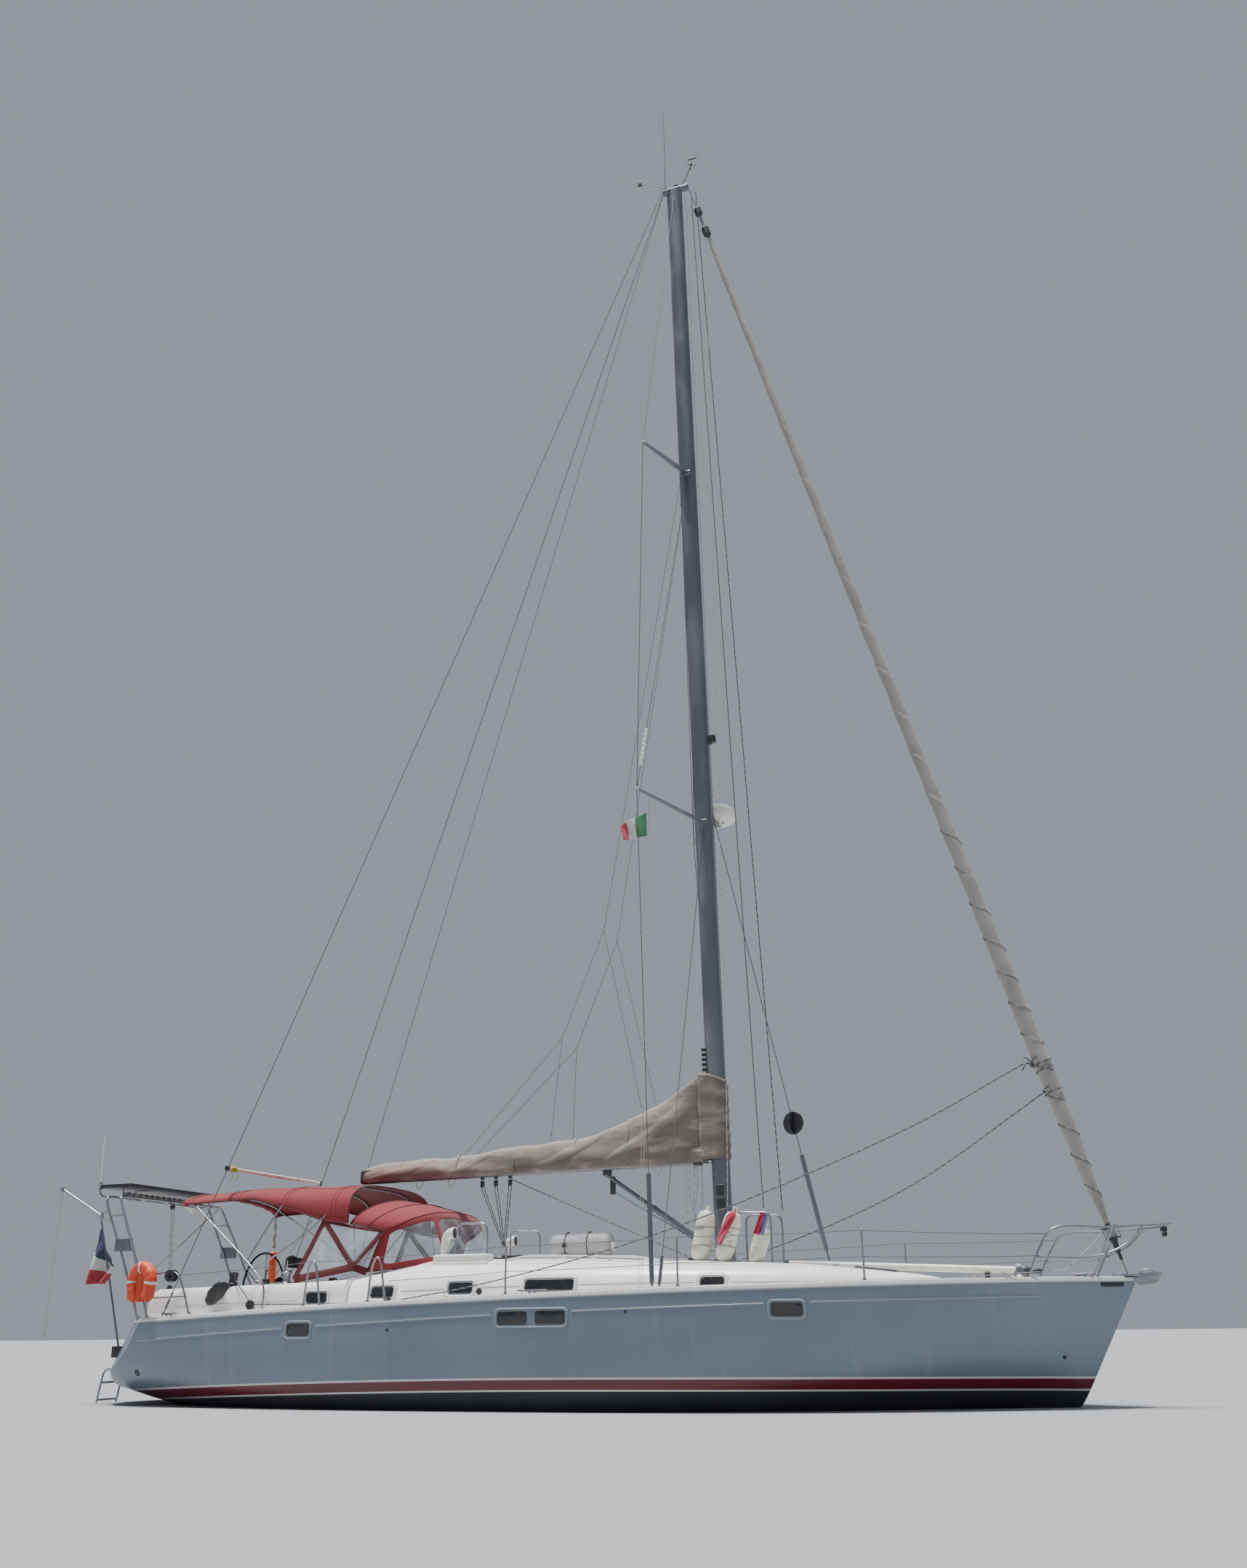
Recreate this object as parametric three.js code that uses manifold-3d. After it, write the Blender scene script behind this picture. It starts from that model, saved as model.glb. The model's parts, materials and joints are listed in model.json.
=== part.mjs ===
// Cruising sailing yacht at anchor: hull, deck, rig with furled sails, canvas, rails and deck gear.
// Millimetres. x runs forward, y to port, z up. The origin lies on the centreline, at the waterline,
// midway along the waterline.
import * as THREE from "three";
import { mergeVertices } from "three/addons/utils/BufferGeometryUtils.js";
import Module from "manifold-3d";

const wasm = await Module();
wasm.setup();

// Driving dimensions of the hull
const STEM_X = 6935;
const STEM_WATER_X = 6180;
const STERN_X = -7265;
const STERN_HEIGHT = 440;
const HALF_BEAM = 2100;
const WIDEST_X = -500;
const BODY_DEPTH = 620;
const DRAFT = 1900;
const SHEER_MID = 1270;
const SHEER_SLOPE = 0.0255;
const SHEER_SAG = 1.4e-6;
const DECK_CAMBER = 70;
const DECK_THICKNESS = 25;
const SEAT = 0.3;
const EDGE_GAP = 0.8;

// Driving dimensions of the rig
const MAST_FOOT = { x: 1899, z: 1722 };
const MAST_HEAD = { x: 1645, z: 19710 };
const MAST_CHORD = 250;
const MAST_WIDTH = 150;
const GOOSENECK_X = 1690;
const BOOM_Z = 3055;
const BOOM_END_X = -3550;
const BOOM_HEIGHT = 200;
const BOOM_WIDTH = 140;
const WIRE = 7;
const SPREADERS = [
  { level: "lower", z: 7800, reach: 1350, sweep: 590, rise: 160 },
  { level: "upper", z: 13790, reach: 1000, sweep: 440, rise: 110 },
];
const CHAINPLATE = { x: 1485, y: 1760 };

const colour = {
  gelcoat: [0xe9eaea, 0.25, 0],
  topside: [0xc9d2da, 0.25, 0],
  antifouling: [0x14161c, 0.8, 0],
  alloy: [0x5c6068, 0.45, 0.8],
  steel: [0xc8ccd0, 0.18, 1],
  maroon: [0x9c2b36, 0.9, 0],
  taupe: [0x8f857c, 0.9, 0],
  wire: [0x8d9299, 0.35, 0.9],
  black: [0x16171a, 0.5, 0],
  bronze: [0xa57b3c, 0.4, 0.9],
  orange: [0xe4552c, 0.7, 0],
  fender: [0xdcd8cc, 0.6, 0],
  panel: [0x1b2233, 0.2, 0],
  canister: [0xe1e1dc, 0.4, 0],
  acrylic: [0x2a2f35, 0.15, 0],
  rope: [0xb9bcc0, 0.9, 0],
};

const V = (x, y, z) => new THREE.Vector3(x, y, z);
const clamp = (value, low, high) => Math.min(high, Math.max(low, value));

// Closed geometry to solid, and back
function solid(geometry) {
  const bare = geometry.clone();
  for (const name of ["normal", "uv"]) {
    bare.deleteAttribute(name);
  }
  const merged = mergeVertices(bare.index ? bare.toNonIndexed() : bare, 1e-3);
  const corners = [];
  const index = merged.index.array;
  for (let i = 0; i < index.length; i += 3) {
    const [a, b, c] = [index[i], index[i + 1], index[i + 2]];
    if (a !== b && b !== c && a !== c) {
      corners.push(a, b, c);
    }
  }
  return new wasm.Manifold(new wasm.Mesh({
    numProp: 3,
    vertProperties: new Float32Array(merged.attributes.position.array),
    triVerts: new Uint32Array(corners),
  }));
}

const join = (...solids) => solids.reduce((sum, next) => sum.add(next));

function part(name, body, [hex, roughness, metalness]) {
  const mesh = body.getMesh();
  const geometry = new THREE.BufferGeometry();
  geometry.setAttribute("position", new THREE.BufferAttribute(mesh.vertProperties, 3));
  geometry.setIndex(new THREE.BufferAttribute(mesh.triVerts, 1));
  geometry.computeVertexNormals();
  const material = new THREE.MeshStandardMaterial({ color: hex, roughness, metalness });
  const node = new THREE.Mesh(geometry, material);
  node.name = name;
  return node;
}

// A skin over a list of rings with equal numbers of points, closed at each end by a fan
function loft(rings) {
  const count = rings[0].length;
  const points = rings.flat();
  const faces = [];
  for (let r = 0; r + 1 < rings.length; r += 1) {
    for (let i = 0; i < count; i += 1) {
      const a = r * count + i;
      const b = r * count + ((i + 1) % count);
      faces.push(a, b, a + count, b, b + count, a + count);
    }
  }
  for (const [start, flip] of [[0, true], [(rings.length - 1) * count, false]]) {
    const centre = V(0, 0, 0);
    for (let i = 0; i < count; i += 1) {
      centre.addScaledVector(points[start + i], 1 / count);
    }
    points.push(centre);
    const hub = points.length - 1;
    for (let i = 0; i < count; i += 1) {
      const a = start + i;
      const b = start + ((i + 1) % count);
      faces.push(...(flip ? [hub, b, a] : [hub, a, b]));
    }
  }
  const geometry = new THREE.BufferGeometry().setFromPoints(points);
  geometry.setIndex(faces);
  const body = solid(geometry);
  return body.volume() < 0 ? solid(flipped(geometry)) : body;
}

// A sheet with thickness from two grids of points, its outer and its inner face
function sheet(outer, inner) {
  const rows = outer.length;
  const wide = outer[0].length;
  const at = (face, r, i) => face * rows * wide + r * wide + i;
  const faces = [];
  const quad = (a, b, c, d) => faces.push(a, b, c, a, c, d);
  for (let r = 0; r + 1 < rows; r += 1) {
    for (let i = 0; i + 1 < wide; i += 1) {
      quad(at(0, r, i), at(0, r, i + 1), at(0, r + 1, i + 1), at(0, r + 1, i));
      quad(at(1, r, i), at(1, r + 1, i), at(1, r + 1, i + 1), at(1, r, i + 1));
    }
    quad(at(0, r, 0), at(0, r + 1, 0), at(1, r + 1, 0), at(1, r, 0));
    quad(at(0, r, wide - 1), at(1, r, wide - 1), at(1, r + 1, wide - 1), at(0, r + 1, wide - 1));
  }
  for (let i = 0; i + 1 < wide; i += 1) {
    quad(at(0, 0, i), at(1, 0, i), at(1, 0, i + 1), at(0, 0, i + 1));
    quad(at(0, rows - 1, i), at(0, rows - 1, i + 1), at(1, rows - 1, i + 1), at(1, rows - 1, i));
  }
  const geometry = new THREE.BufferGeometry().setFromPoints([...outer.flat(), ...inner.flat()]);
  geometry.setIndex(faces);
  const body = solid(geometry);
  return body.volume() < 0 ? solid(flipped(geometry)) : body;
}

function flipped(geometry) {
  const turned = geometry.clone();
  const index = Array.from(turned.index.array);
  for (let i = 0; i < index.length; i += 3) {
    [index[i], index[i + 1]] = [index[i + 1], index[i]];
  }
  turned.setIndex(index);
  return turned;
}

function box(x0, x1, y0, y1, z0, z1) {
  const geometry = new THREE.BoxGeometry(x1 - x0, y1 - y0, z1 - z0);
  geometry.translate((x0 + x1) / 2, (y0 + y1) / 2, (z0 + z1) / 2);
  return solid(geometry);
}

// A straight round bar between two points, tapering if two radii are given
function bar(from, to, radius, endRadius = radius, sides = 6) {
  const span = to.clone().sub(from);
  const geometry = new THREE.CylinderGeometry(endRadius, radius, span.length(), sides);
  geometry.translate(0, span.length() / 2, 0);
  geometry.applyQuaternion(new THREE.Quaternion().setFromUnitVectors(V(0, 1, 0), span.normalize()));
  geometry.translate(from.x, from.y, from.z);
  return solid(geometry);
}

// A round tube bent smoothly through its points
function tube(points, radius, steps = 12, sides = 6) {
  const ring = new THREE.Shape();
  ring.absarc(0, 0, radius, 0, 2 * Math.PI, false);
  const path = new THREE.CatmullRomCurve3(points, false, "centripetal");
  const settings = { extrudePath: path, steps, bevelEnabled: false, curveSegments: sides / 2 };
  return solid(new THREE.ExtrudeGeometry(ring, settings));
}

// An outline in the x-z plane, extruded across the boat between two values of y
function slab(outline, y0, y1) {
  const shape = new THREE.Shape(outline.map(([x, z]) => new THREE.Vector2(x, z)));
  const geometry = new THREE.ExtrudeGeometry(shape, { depth: y1 - y0, bevelEnabled: false });
  geometry.rotateX(Math.PI / 2);
  geometry.translate(0, y1, 0);
  return solid(geometry);
}

function ball(centre, radii, wide = 12, high = 8) {
  const geometry = new THREE.SphereGeometry(1, wide, high);
  geometry.rotateX(Math.PI / 2);
  geometry.scale(...radii);
  geometry.translate(centre.x, centre.y, centre.z);
  return solid(geometry);
}

// A turned shape about an upright axis through (x, y), from pairs of radius and height
function turned(profile, x, y, sides = 20) {
  const outline = profile.map(([radius, height]) => new THREE.Vector2(radius, height));
  const geometry = new THREE.LatheGeometry(outline, sides);
  geometry.rotateX(Math.PI / 2);
  geometry.translate(x, y, 0);
  return solid(geometry);
}

// Hull form: sheer, plan, profile and section shape, each a function of x
const sheer = (x) => SHEER_MID + SHEER_SLOPE * x - SHEER_SAG * x * x;

function deckHalf(x) {
  if (x > WIDEST_X) {
    const s = (x - WIDEST_X) / (STEM_X - WIDEST_X);
    return Math.max(14, HALF_BEAM * (1 - s ** 2.7));
  }
  return HALF_BEAM * (1 - 0.285 * ((WIDEST_X - x) / 5600) ** 2.2);
}

function keelLine(x) {
  const fore = x > 300;
  const reach = fore ? 5950 : 6490;
  const body = -BODY_DEPTH * (1 - (Math.abs(x - 300) / reach) ** (fore ? 2.6 : 2.2));
  const stem = ((x - STEM_WATER_X) / (STEM_X - STEM_WATER_X)) * (sheer(STEM_X) - 20);
  return (body + stem + Math.hypot(body - stem, 90)) / 2;
}

// Half breadth of the hull at a share of its depth, 0 at the keel line and 1 at the sheer
function bilge(x, share) {
  const fine = clamp((x - 500) / 5500, 0, 1) ** 1.3;
  const topside = 1.1 + 2.4 * (1 - fine);
  const floor = 1.05 + 1.15 * (1 - fine);
  return deckHalf(x) * (1 - (1 - share) ** topside) ** (1 / floor);
}

const camber = (x, share) => (DECK_CAMBER * deckHalf(x) / HALF_BEAM) * (1 - share * share);

const deckTop = (x, y) => sheer(x) + camber(x, y / deckHalf(x)) + DECK_THICKNESS;

const HULL_STATIONS = [
  -7400, -7000, -6500, -6000, -5300, -4500, -3500, -2400, -1200, 0,
  1200, 2300, 3300, 4200, 5000, 5600, 6000, 6250, 6500, 6700, 6850, 6925,
];
const SIDE_SHARES = [0, 0.03, 0.09, 0.18, 0.32, 0.5, 0.74, 1];
const DECK_SHARES = [0.92, 0.5, 0, -0.5, -0.92];

function hullRing(x) {
  const low = keelLine(x);
  const high = sheer(x);
  const side = SIDE_SHARES.map((share) => [bilge(x, share), low + share * (high - low)]);
  const starboard = side.map(([y, z]) => V(x, -y, z));
  const port = side.slice(1).map(([y, z]) => V(x, y, z));
  const across = DECK_SHARES.map((share) => V(x, share * deckHalf(x), high + camber(x, share)));
  return [...starboard.reverse(), ...port, ...across];
}

function deckRing(x) {
  const half = deckHalf(x);
  const shares = [1, ...DECK_SHARES, -1];
  const under = shares.map((share) => V(x, share * half, sheer(x) + EDGE_GAP));
  const over = shares.map((share) => V(x, share * half, sheer(x) + camber(x, share) + DECK_THICKNESS));
  return [...under, ...over.reverse()];
}

// The rounded, sloping stern takes away everything behind this face
function sternFace(y, z) {
  const above = Math.max(0, z - STERN_HEIGHT);
  const below = Math.max(0, STERN_HEIGHT - z);
  return STERN_X + 0.4e-3 * y * y + 0.52 * above + 0.05 * below ** 1.5;
}

function sternCutter() {
  const heights = [-300, -100, 50, 200, 320, 440, 1000, 1900];
  const sides = [-2400, -1900, -1500, -1200, -900, -600, -300, 0, 300, 600, 900, 1200, 1500, 1900, 2400];
  const rings = heights.map((z) => [
    ...sides.map((y) => V(sternFace(y, z), y, z)),
    V(-9500, 2400, z),
    V(-9500, -2400, z),
  ]);
  return loft(rings);
}

// Cockpit: footwell, helm area, passage to the stern, step and swim platform
const COCKPIT = [
  { name: "footwell", x0: -4700, x1: -2450, half: 420, floor: 790 },
  { name: "helm", x0: -5700, x1: -4600, half: 1020, floor: 790 },
  { name: "passage", x0: -6200, x1: -5600, half: 300, floor: 790 },
  { name: "step", x0: -6480, x1: -6100, half: 300, floor: 610 },
  { name: "platform", x0: -7600, x1: -6430, half: 950, floor: 430 },
];
const HELM_FLOOR = 790;
const PLATFORM = 430;

const cockpitCut = join(...COCKPIT.map(({ x0, x1, half, floor }) => box(x0, x1, -half, half, floor, 2600)));
const stern = sternCutter();
const hullForm = loft(HULL_STATIONS.map(hullRing));

// Rests a body on another, with the hair's breadth that keeps them apart
const seat = (body, base) => body.subtract(base.translate([0, 0, SEAT]));
const hang = (body, base) => body.subtract(base.translate([0, 0, -SEAT]));
const SIX_WAYS = [[1, 0, 0], [-1, 0, 0], [0, 1, 0], [0, -1, 0], [0, 0, 1], [0, 0, -1]];
const eased = (body) => join(...SIX_WAYS.map((way) => body.translate(way.map((step) => step * SEAT))));

const RUDDER = { x: -5450, stock: 35, bore: 36, top: -250, bottom: -1470, bearing: 360 };
const SHAFT = { x0: -2850, z0: -370, x1: -4330, z1: -760, radius: 16, clearance: 0.8 };

function shaftPoint(x) {
  const share = (x - SHAFT.x0) / (SHAFT.x1 - SHAFT.x0);
  return V(x, 0, SHAFT.z0 + share * (SHAFT.z1 - SHAFT.z0));
}

function hull() {
  const stockTop = V(RUDDER.x, 0, RUDDER.bearing + 20);
  const stockBore = bar(V(RUDDER.x, 0, -400), stockTop, RUDDER.bore, RUDDER.bore, 24);
  const shaftBore = bar(shaftPoint(-2790), shaftPoint(-3900), SHAFT.radius + SHAFT.clearance,
    SHAFT.radius + SHAFT.clearance, 16);
  return hullForm.subtract(stern).subtract(cockpitCut).subtract(stockBore).subtract(shaftBore);
}

// Coachroof: plan, crown height and rounded section
const HOUSE = { nose: 4740, half: 1430, bow: 3.2 };

function houseHalf(x) {
  const s = clamp((x + 1000) / (HOUSE.nose + 1060), 0, 1);
  return HOUSE.half * (1 - s ** HOUSE.bow);
}

const HOUSE_CROWN = [
  // x, height
  [-3200, 1640], [-2780, 1705], [-1850, 1822], [0, 1782], [1500, 1725], [3000, 1652],
  [3600, 1600], [4370, 1515], [4640, 1470], [4740, 1425],
];

// Straight-line reading of a table of position and value
function along(table, x) {
  const last = table.length - 1;
  for (let i = 0; i < last; i += 1) {
    const [x0, v0] = table[i];
    const [x1, v1] = table[i + 1];
    if (x <= x1 || i === last - 1) {
      return v0 + (v1 - v0) * clamp((x - x0) / (x1 - x0), 0, 1);
    }
  }
  return table[last][1];
}

const roofTop = (x) => along(HOUSE_CROWN, x);

function houseRing(x) {
  const half = houseHalf(x);
  const base = sheer(x) + 10;
  const rise = roofTop(x) - base;
  const ring = [];
  const steps = 12;
  for (let i = 0; i <= steps; i += 1) {
    const angle = (Math.PI * i) / steps;
    const y = half * Math.sign(Math.cos(angle)) * Math.abs(Math.cos(angle)) ** 0.45;
    const z = Math.max(0, Math.sin(angle)) ** 0.5;
    ring.push(V(x, y * (1 - 0.1 * z), base + rise * z));
  }
  return ring;
}

const COAMING = [
  // x, middle y, half width, top
  [-6180, 1120, 80, 1330],
  [-6120, 1130, 130, 1440],
  [-6000, 1150, 155, 1495],
  [-5400, 1215, 170, 1508],
  [-4500, 1280, 178, 1520],
  [-3600, 1300, 180, 1535],
  [-2900, 1290, 180, 1560],
];

function coaming(side) {
  const rings = COAMING.map(([x, middle, half, top]) => {
    const base = sheer(x) + 10;
    const ring = [];
    for (let i = 0; i <= 8; i += 1) {
      const angle = (Math.PI * i) / 8;
      const y = Math.sign(Math.cos(angle)) * Math.abs(Math.cos(angle)) ** 0.5;
      ring.push(V(x, side * (middle + half * y), base + (top - base) * Math.max(0, Math.sin(angle)) ** 0.5));
    }
    return ring;
  });
  return loft(rings);
}

// Lids let into the coachroof and foredeck, each hinged at its aft edge
const LIDS = [
  { name: "fore_hatch", x0: 3640, x1: 4160, half: 260, sink: 8, thick: 28 },
  { name: "saloon_hatch", x0: 900, x1: 1400, half: 250, sink: 8, thick: 28 },
  { name: "anchor_locker_lid", x0: 5900, x1: 6330, half: 210, sink: 8, thick: 22 },
];
const LID_GAP = 10;

// Height of a lid's seat, which follows the slope of the roof or deck
function lidFloor(x, sink) {
  return Math.max(deckTop(x, 0), x < HOUSE.nose ? roofTop(x) : 0) - sink;
}

function lidRecess({ x0, x1, half, sink }) {
  const [aft, fore] = [x0 - LID_GAP, x1 + LID_GAP];
  const outline = [[aft, lidFloor(aft, sink)], [fore, lidFloor(fore, sink)], [fore, 2600], [aft, 2600]];
  return slab(outline, -half - LID_GAP, half + LID_GAP);
}

const SLIDE = { x0: -2325, x1: -1790, half: 330, low: 1738, thick: 26, travel: 480 };

function deck() {
  const stations = [-3200, -3000, -2780, -2300, -1850, -1000, 0, 800, 1500, 2200, 3000, 3600, 4100, 4370,
    4640, 4740];
  const well = join(box(-3400, -2330, -1080, 1080, 1000, 2600), box(-5950, -3390, -1050, 1050, 1000, 2600));
  const raised = join(loft(stations.map(houseRing)), coaming(1), coaming(-1)).subtract(well);
  let body = join(loft(HULL_STATIONS.map(deckRing)), raised);
  for (const spec of LIDS) {
    body = body.subtract(lidRecess(spec));
  }
  const slot = box(SLIDE.x0 - 60, SLIDE.x1 + SLIDE.travel + 8, -SLIDE.half - 5, SLIDE.half + 5, SLIDE.low,
    SLIDE.low + SLIDE.thick + 6);
  const open = box(SLIDE.x0 - 60, SLIDE.x1 + 8, -SLIDE.half - 5, SLIDE.half + 5, SLIDE.low, 2600);
  const stairs = box(-2500, -1900, -280, 280, 1330, 2600);
  return body.subtract(stern).subtract(cockpitCut).subtract(slot).subtract(open).subtract(stairs);
}

const hullBody = hull();
const deckShape = deck();
const deckBody = seat(deckShape, hullForm);
const shell = join(hullBody, deckShape);

function lid({ x0, x1, half, sink, thick }) {
  const [aft, fore] = [lidFloor(x0, sink) + SEAT, lidFloor(x1, sink) + SEAT];
  return slab([[x0, aft], [x1, fore], [x1, fore + thick], [x0, aft + thick]], -half, half);
}

function companionwaySlide() {
  const { x0, x1, half, low, thick } = SLIDE;
  const grip = box(x0 + 10, x0 + 40, -120, 120, low + thick, low + thick + 30);
  return box(x0, x1, -half, half, low + SEAT, low + thick).add(grip);
}

const washboards = () => box(-2358, -2330.3, -300, 300, 1300, 1735);

const LOCKER = { x0: -3450, x1: -2560, inner: 500, outer: 960 };

function lockerLid(side) {
  const [y0, y1] = side > 0 ? [LOCKER.inner, LOCKER.outer] : [-LOCKER.outer, -LOCKER.inner];
  const raised = loft(HULL_STATIONS.map(deckRing)).translate([0, 0, DECK_THICKNESS + SEAT]);
  return seat(box(LOCKER.x0, LOCKER.x1, y0, y1, 1100, 1500).intersect(raised), shell);
}

// Underwater fittings
function foil(lead, trail, half, z) {
  const ring = [];
  const steps = 14;
  for (let i = 0; i < steps; i += 1) {
    const angle = (2 * Math.PI * i) / steps;
    const chord = (1 - Math.cos(angle)) / 2;
    const thick = Math.sqrt(chord) * (1 - chord) * 2.6 + 0.02;
    ring.push(V(lead + (trail - lead) * chord, i === 0 ? 0 : Math.sign(Math.sin(angle)) * half * thick, z));
  }
  return ring;
}

function keel() {
  const fin = loft([
    foil(1300, -900, 105, -430),
    foil(1180, -880, 100, -900),
    foil(900, -850, 95, -1720),
    foil(880, -850, 90, -1800),
  ]);
  const bulb = ball(V(-60, 0, -DRAFT + 125), [1080, 260, 125], 12, 8);
  return hang(join(fin, bulb), hullForm);
}

const STRUT_X = -4020;

function shaftStrut() {
  const arm = loft([foil(-3950, -4090, 14, -150), foil(-3950, -4090, 14, shaftPoint(STRUT_X).z)]);
  const foot = box(-4140, -3900, -50, 50, -445, -200);
  const barrel = bar(shaftPoint(STRUT_X + 80), shaftPoint(STRUT_X - 80), 34, 34, 16);
  const bore = bar(shaftPoint(STRUT_X + 150), shaftPoint(STRUT_X - 150), SHAFT.radius + SHAFT.clearance,
    SHAFT.radius + SHAFT.clearance, 16);
  return hang(join(arm, foot, barrel), hullForm).subtract(bore);
}

function propeller() {
  const shaft = bar(shaftPoint(-2900), shaftPoint(SHAFT.x1), SHAFT.radius, SHAFT.radius, 16);
  const hub = bar(shaftPoint(-4180), shaftPoint(-4340), 44, 30, 12);
  const axis = shaftPoint(SHAFT.x1).sub(shaftPoint(SHAFT.x0)).normalize();
  const middle = shaftPoint(-4250);
  const blades = [0, 1, 2].map((turn) => {
    const geometry = new THREE.SphereGeometry(1, 8, 6);
    geometry.scale(11, 62, 100);
    geometry.rotateZ(0.55);
    geometry.translate(0, 0, 125);
    geometry.rotateX((turn * 2 * Math.PI) / 3);
    geometry.applyQuaternion(new THREE.Quaternion().setFromUnitVectors(V(-1, 0, 0), axis));
    geometry.translate(middle.x, middle.y, middle.z);
    return solid(geometry);
  });
  return join(shaft, hub, ...blades);
}

function rudder() {
  const blade = loft([
    foil(-5170, -6010, 46, RUDDER.top),
    foil(-5200, -5960, 42, -700),
    foil(-5260, -5860, 34, -1250),
    foil(-5320, -5780, 24, RUDDER.bottom),
  ]);
  return blade.add(bar(V(RUDDER.x, 0, RUDDER.top - 200), V(RUDDER.x, 0, RUDDER.bearing), RUDDER.stock,
    RUDDER.stock, 24));
}

// Swim ladder, hinged on the platform's edge and hanging in the water
const LADDER = { x: -7130, z: PLATFORM + 14.6, y0: -550, y1: -120, radius: 14 };

function swimLadder() {
  const { x, z, y0, y1, radius } = LADDER;
  const legs = [y0, y1].map((y) => tube([V(x, y, z), V(-7265, y, z + 4), V(-7328, y, 400), V(-7352, y, 290),
    V(-7420, y, -100), V(-7500, y, -480)], radius, 10));
  const rungs = [270, 40, -190, -420].map((height) => {
    const back = -7352 - 0.19 * (290 - height);
    return bar(V(back, y0, height), V(back, y1, height), 13, 13, 6);
  });
  const pivot = bar(V(x, y0 - 20, z), V(x, y1 + 20, z), radius, radius, 10);
  return seat(join(pivot, ...legs, ...rungs), hullBody);
}

// Rig
function mastX(z) {
  return MAST_FOOT.x + ((MAST_HEAD.x - MAST_FOOT.x) * (z - MAST_FOOT.z)) / (MAST_HEAD.z - MAST_FOOT.z);
}

function ellipseRing(x, z, chord, width, count = 12) {
  const ring = [];
  for (let i = 0; i < count; i += 1) {
    const angle = (2 * Math.PI * i) / count;
    ring.push(V(x + (chord / 2) * Math.cos(angle), (width / 2) * Math.sin(angle), z));
  }
  return ring;
}

function mastTube(grow = 0) {
  const levels = [[MAST_FOOT.z - 20, 1], [17000, 1], [MAST_HEAD.z, 0.82]];
  return loft(levels.map(([z, size]) => ellipseRing(mastX(z), z, MAST_CHORD * size + 2 * grow,
    MAST_WIDTH * size + 2 * grow)));
}

const CRANE = { aft: -230, fore: 250, half: 45, low: -60, high: 45 };

// Whip aerial on the crane: its place aft of the mast's head, and its top above the water
const AERIAL = { aft: -178, top: 21570, radius: 5 };

function craneBox(grow = 0) {
  const { x, z } = MAST_HEAD;
  return box(x + CRANE.aft - grow, x + CRANE.fore + grow, -CRANE.half - grow, CRANE.half + grow,
    z + CRANE.low - grow, z + CRANE.high + grow);
}

// Spreader roots: blocks on the mast's sides
function spreaderRoots(grow = 0) {
  const [long, wide, high] = [60 + grow, 88 + grow, 50 + grow];
  return join(...SPREADERS.map(({ z }) => {
    const x = mastX(z);
    return box(x - long, x + long, -wide, wide, z - high, z + high);
  }));
}

const mastClearance = join(mastTube(SEAT), craneBox(SEAT), spreaderRoots(SEAT));

// Upright pins on the mast's aft face that the boom and the vang turn on
const PINS = [
  { name: "gooseneck", low: 2985, high: 3125 },
  { name: "vang_foot", low: 1862, high: 1938 },
];
const [GOOSENECK, VANG_FOOT] = PINS;
const PIN = { radius: 12, bore: 12.7, plate: 14, gap: 5 };

function mast() {
  const pieces = [mastTube(), craneBox(), spreaderRoots()];
  for (const { low, high } of PINS) {
    for (const z of [low - PIN.plate, high]) {
      pieces.push(box(GOOSENECK_X - 22, mastX(z) - 60, -30, 30, z, z + PIN.plate));
    }
    pieces.push(bar(V(GOOSENECK_X, 0, low - PIN.plate), V(GOOSENECK_X, 0, high + PIN.plate), PIN.radius,
      PIN.radius, 16));
  }
  pieces.push(bar(V(MAST_FOOT.x, 0, MAST_FOOT.z - 30), V(MAST_FOOT.x, 0, MAST_FOOT.z + 24), 150, 145, 16));
  const aerialX = MAST_HEAD.x + AERIAL.aft;
  pieces.push(bar(V(aerialX, 0, MAST_HEAD.z), V(aerialX, 0, AERIAL.top), AERIAL.radius));
  return seat(join(...pieces), shell);
}

const boomMiddle = (x) => BOOM_Z - 0.008 * (GOOSENECK_X - x);

function boomTube(grow = 0) {
  const fore = [[GOOSENECK_X - 70, 0.55], [GOOSENECK_X - 170, 1]];
  const aft = [[BOOM_END_X + 60, 1], [BOOM_END_X, 0.85]];
  return loft([...fore, ...aft].map(([x, size]) => {
    const ring = [];
    for (let i = 0; i < 12; i += 1) {
      const angle = (2 * Math.PI * i) / 12;
      ring.push(V(x, ((BOOM_WIDTH / 2) * size + grow) * Math.cos(angle),
        boomMiddle(x) + ((BOOM_HEIGHT / 2) * size + grow) * Math.sin(angle)));
    }
    return ring;
  }));
}

const VANG_HEAD = { x: 210, z: 2915 };

function boom() {
  const { low, high } = GOOSENECK;
  const barrel = bar(V(GOOSENECK_X, 0, low + PIN.gap), V(GOOSENECK_X, 0, high - PIN.gap), 26, 26, 16);
  const neck = box(GOOSENECK_X - 110, GOOSENECK_X - 14, -20, 20, low + 20, high - 20);
  const bore = bar(V(GOOSENECK_X, 0, 2900), V(GOOSENECK_X, 0, 3200), PIN.bore, PIN.bore, 16);
  const lug = box(VANG_HEAD.x - 26, VANG_HEAD.x + 26, -8, 8, VANG_HEAD.z - 24, VANG_HEAD.z + 60);
  return join(boomTube(), barrel, neck, lug).subtract(bore);
}

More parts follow.
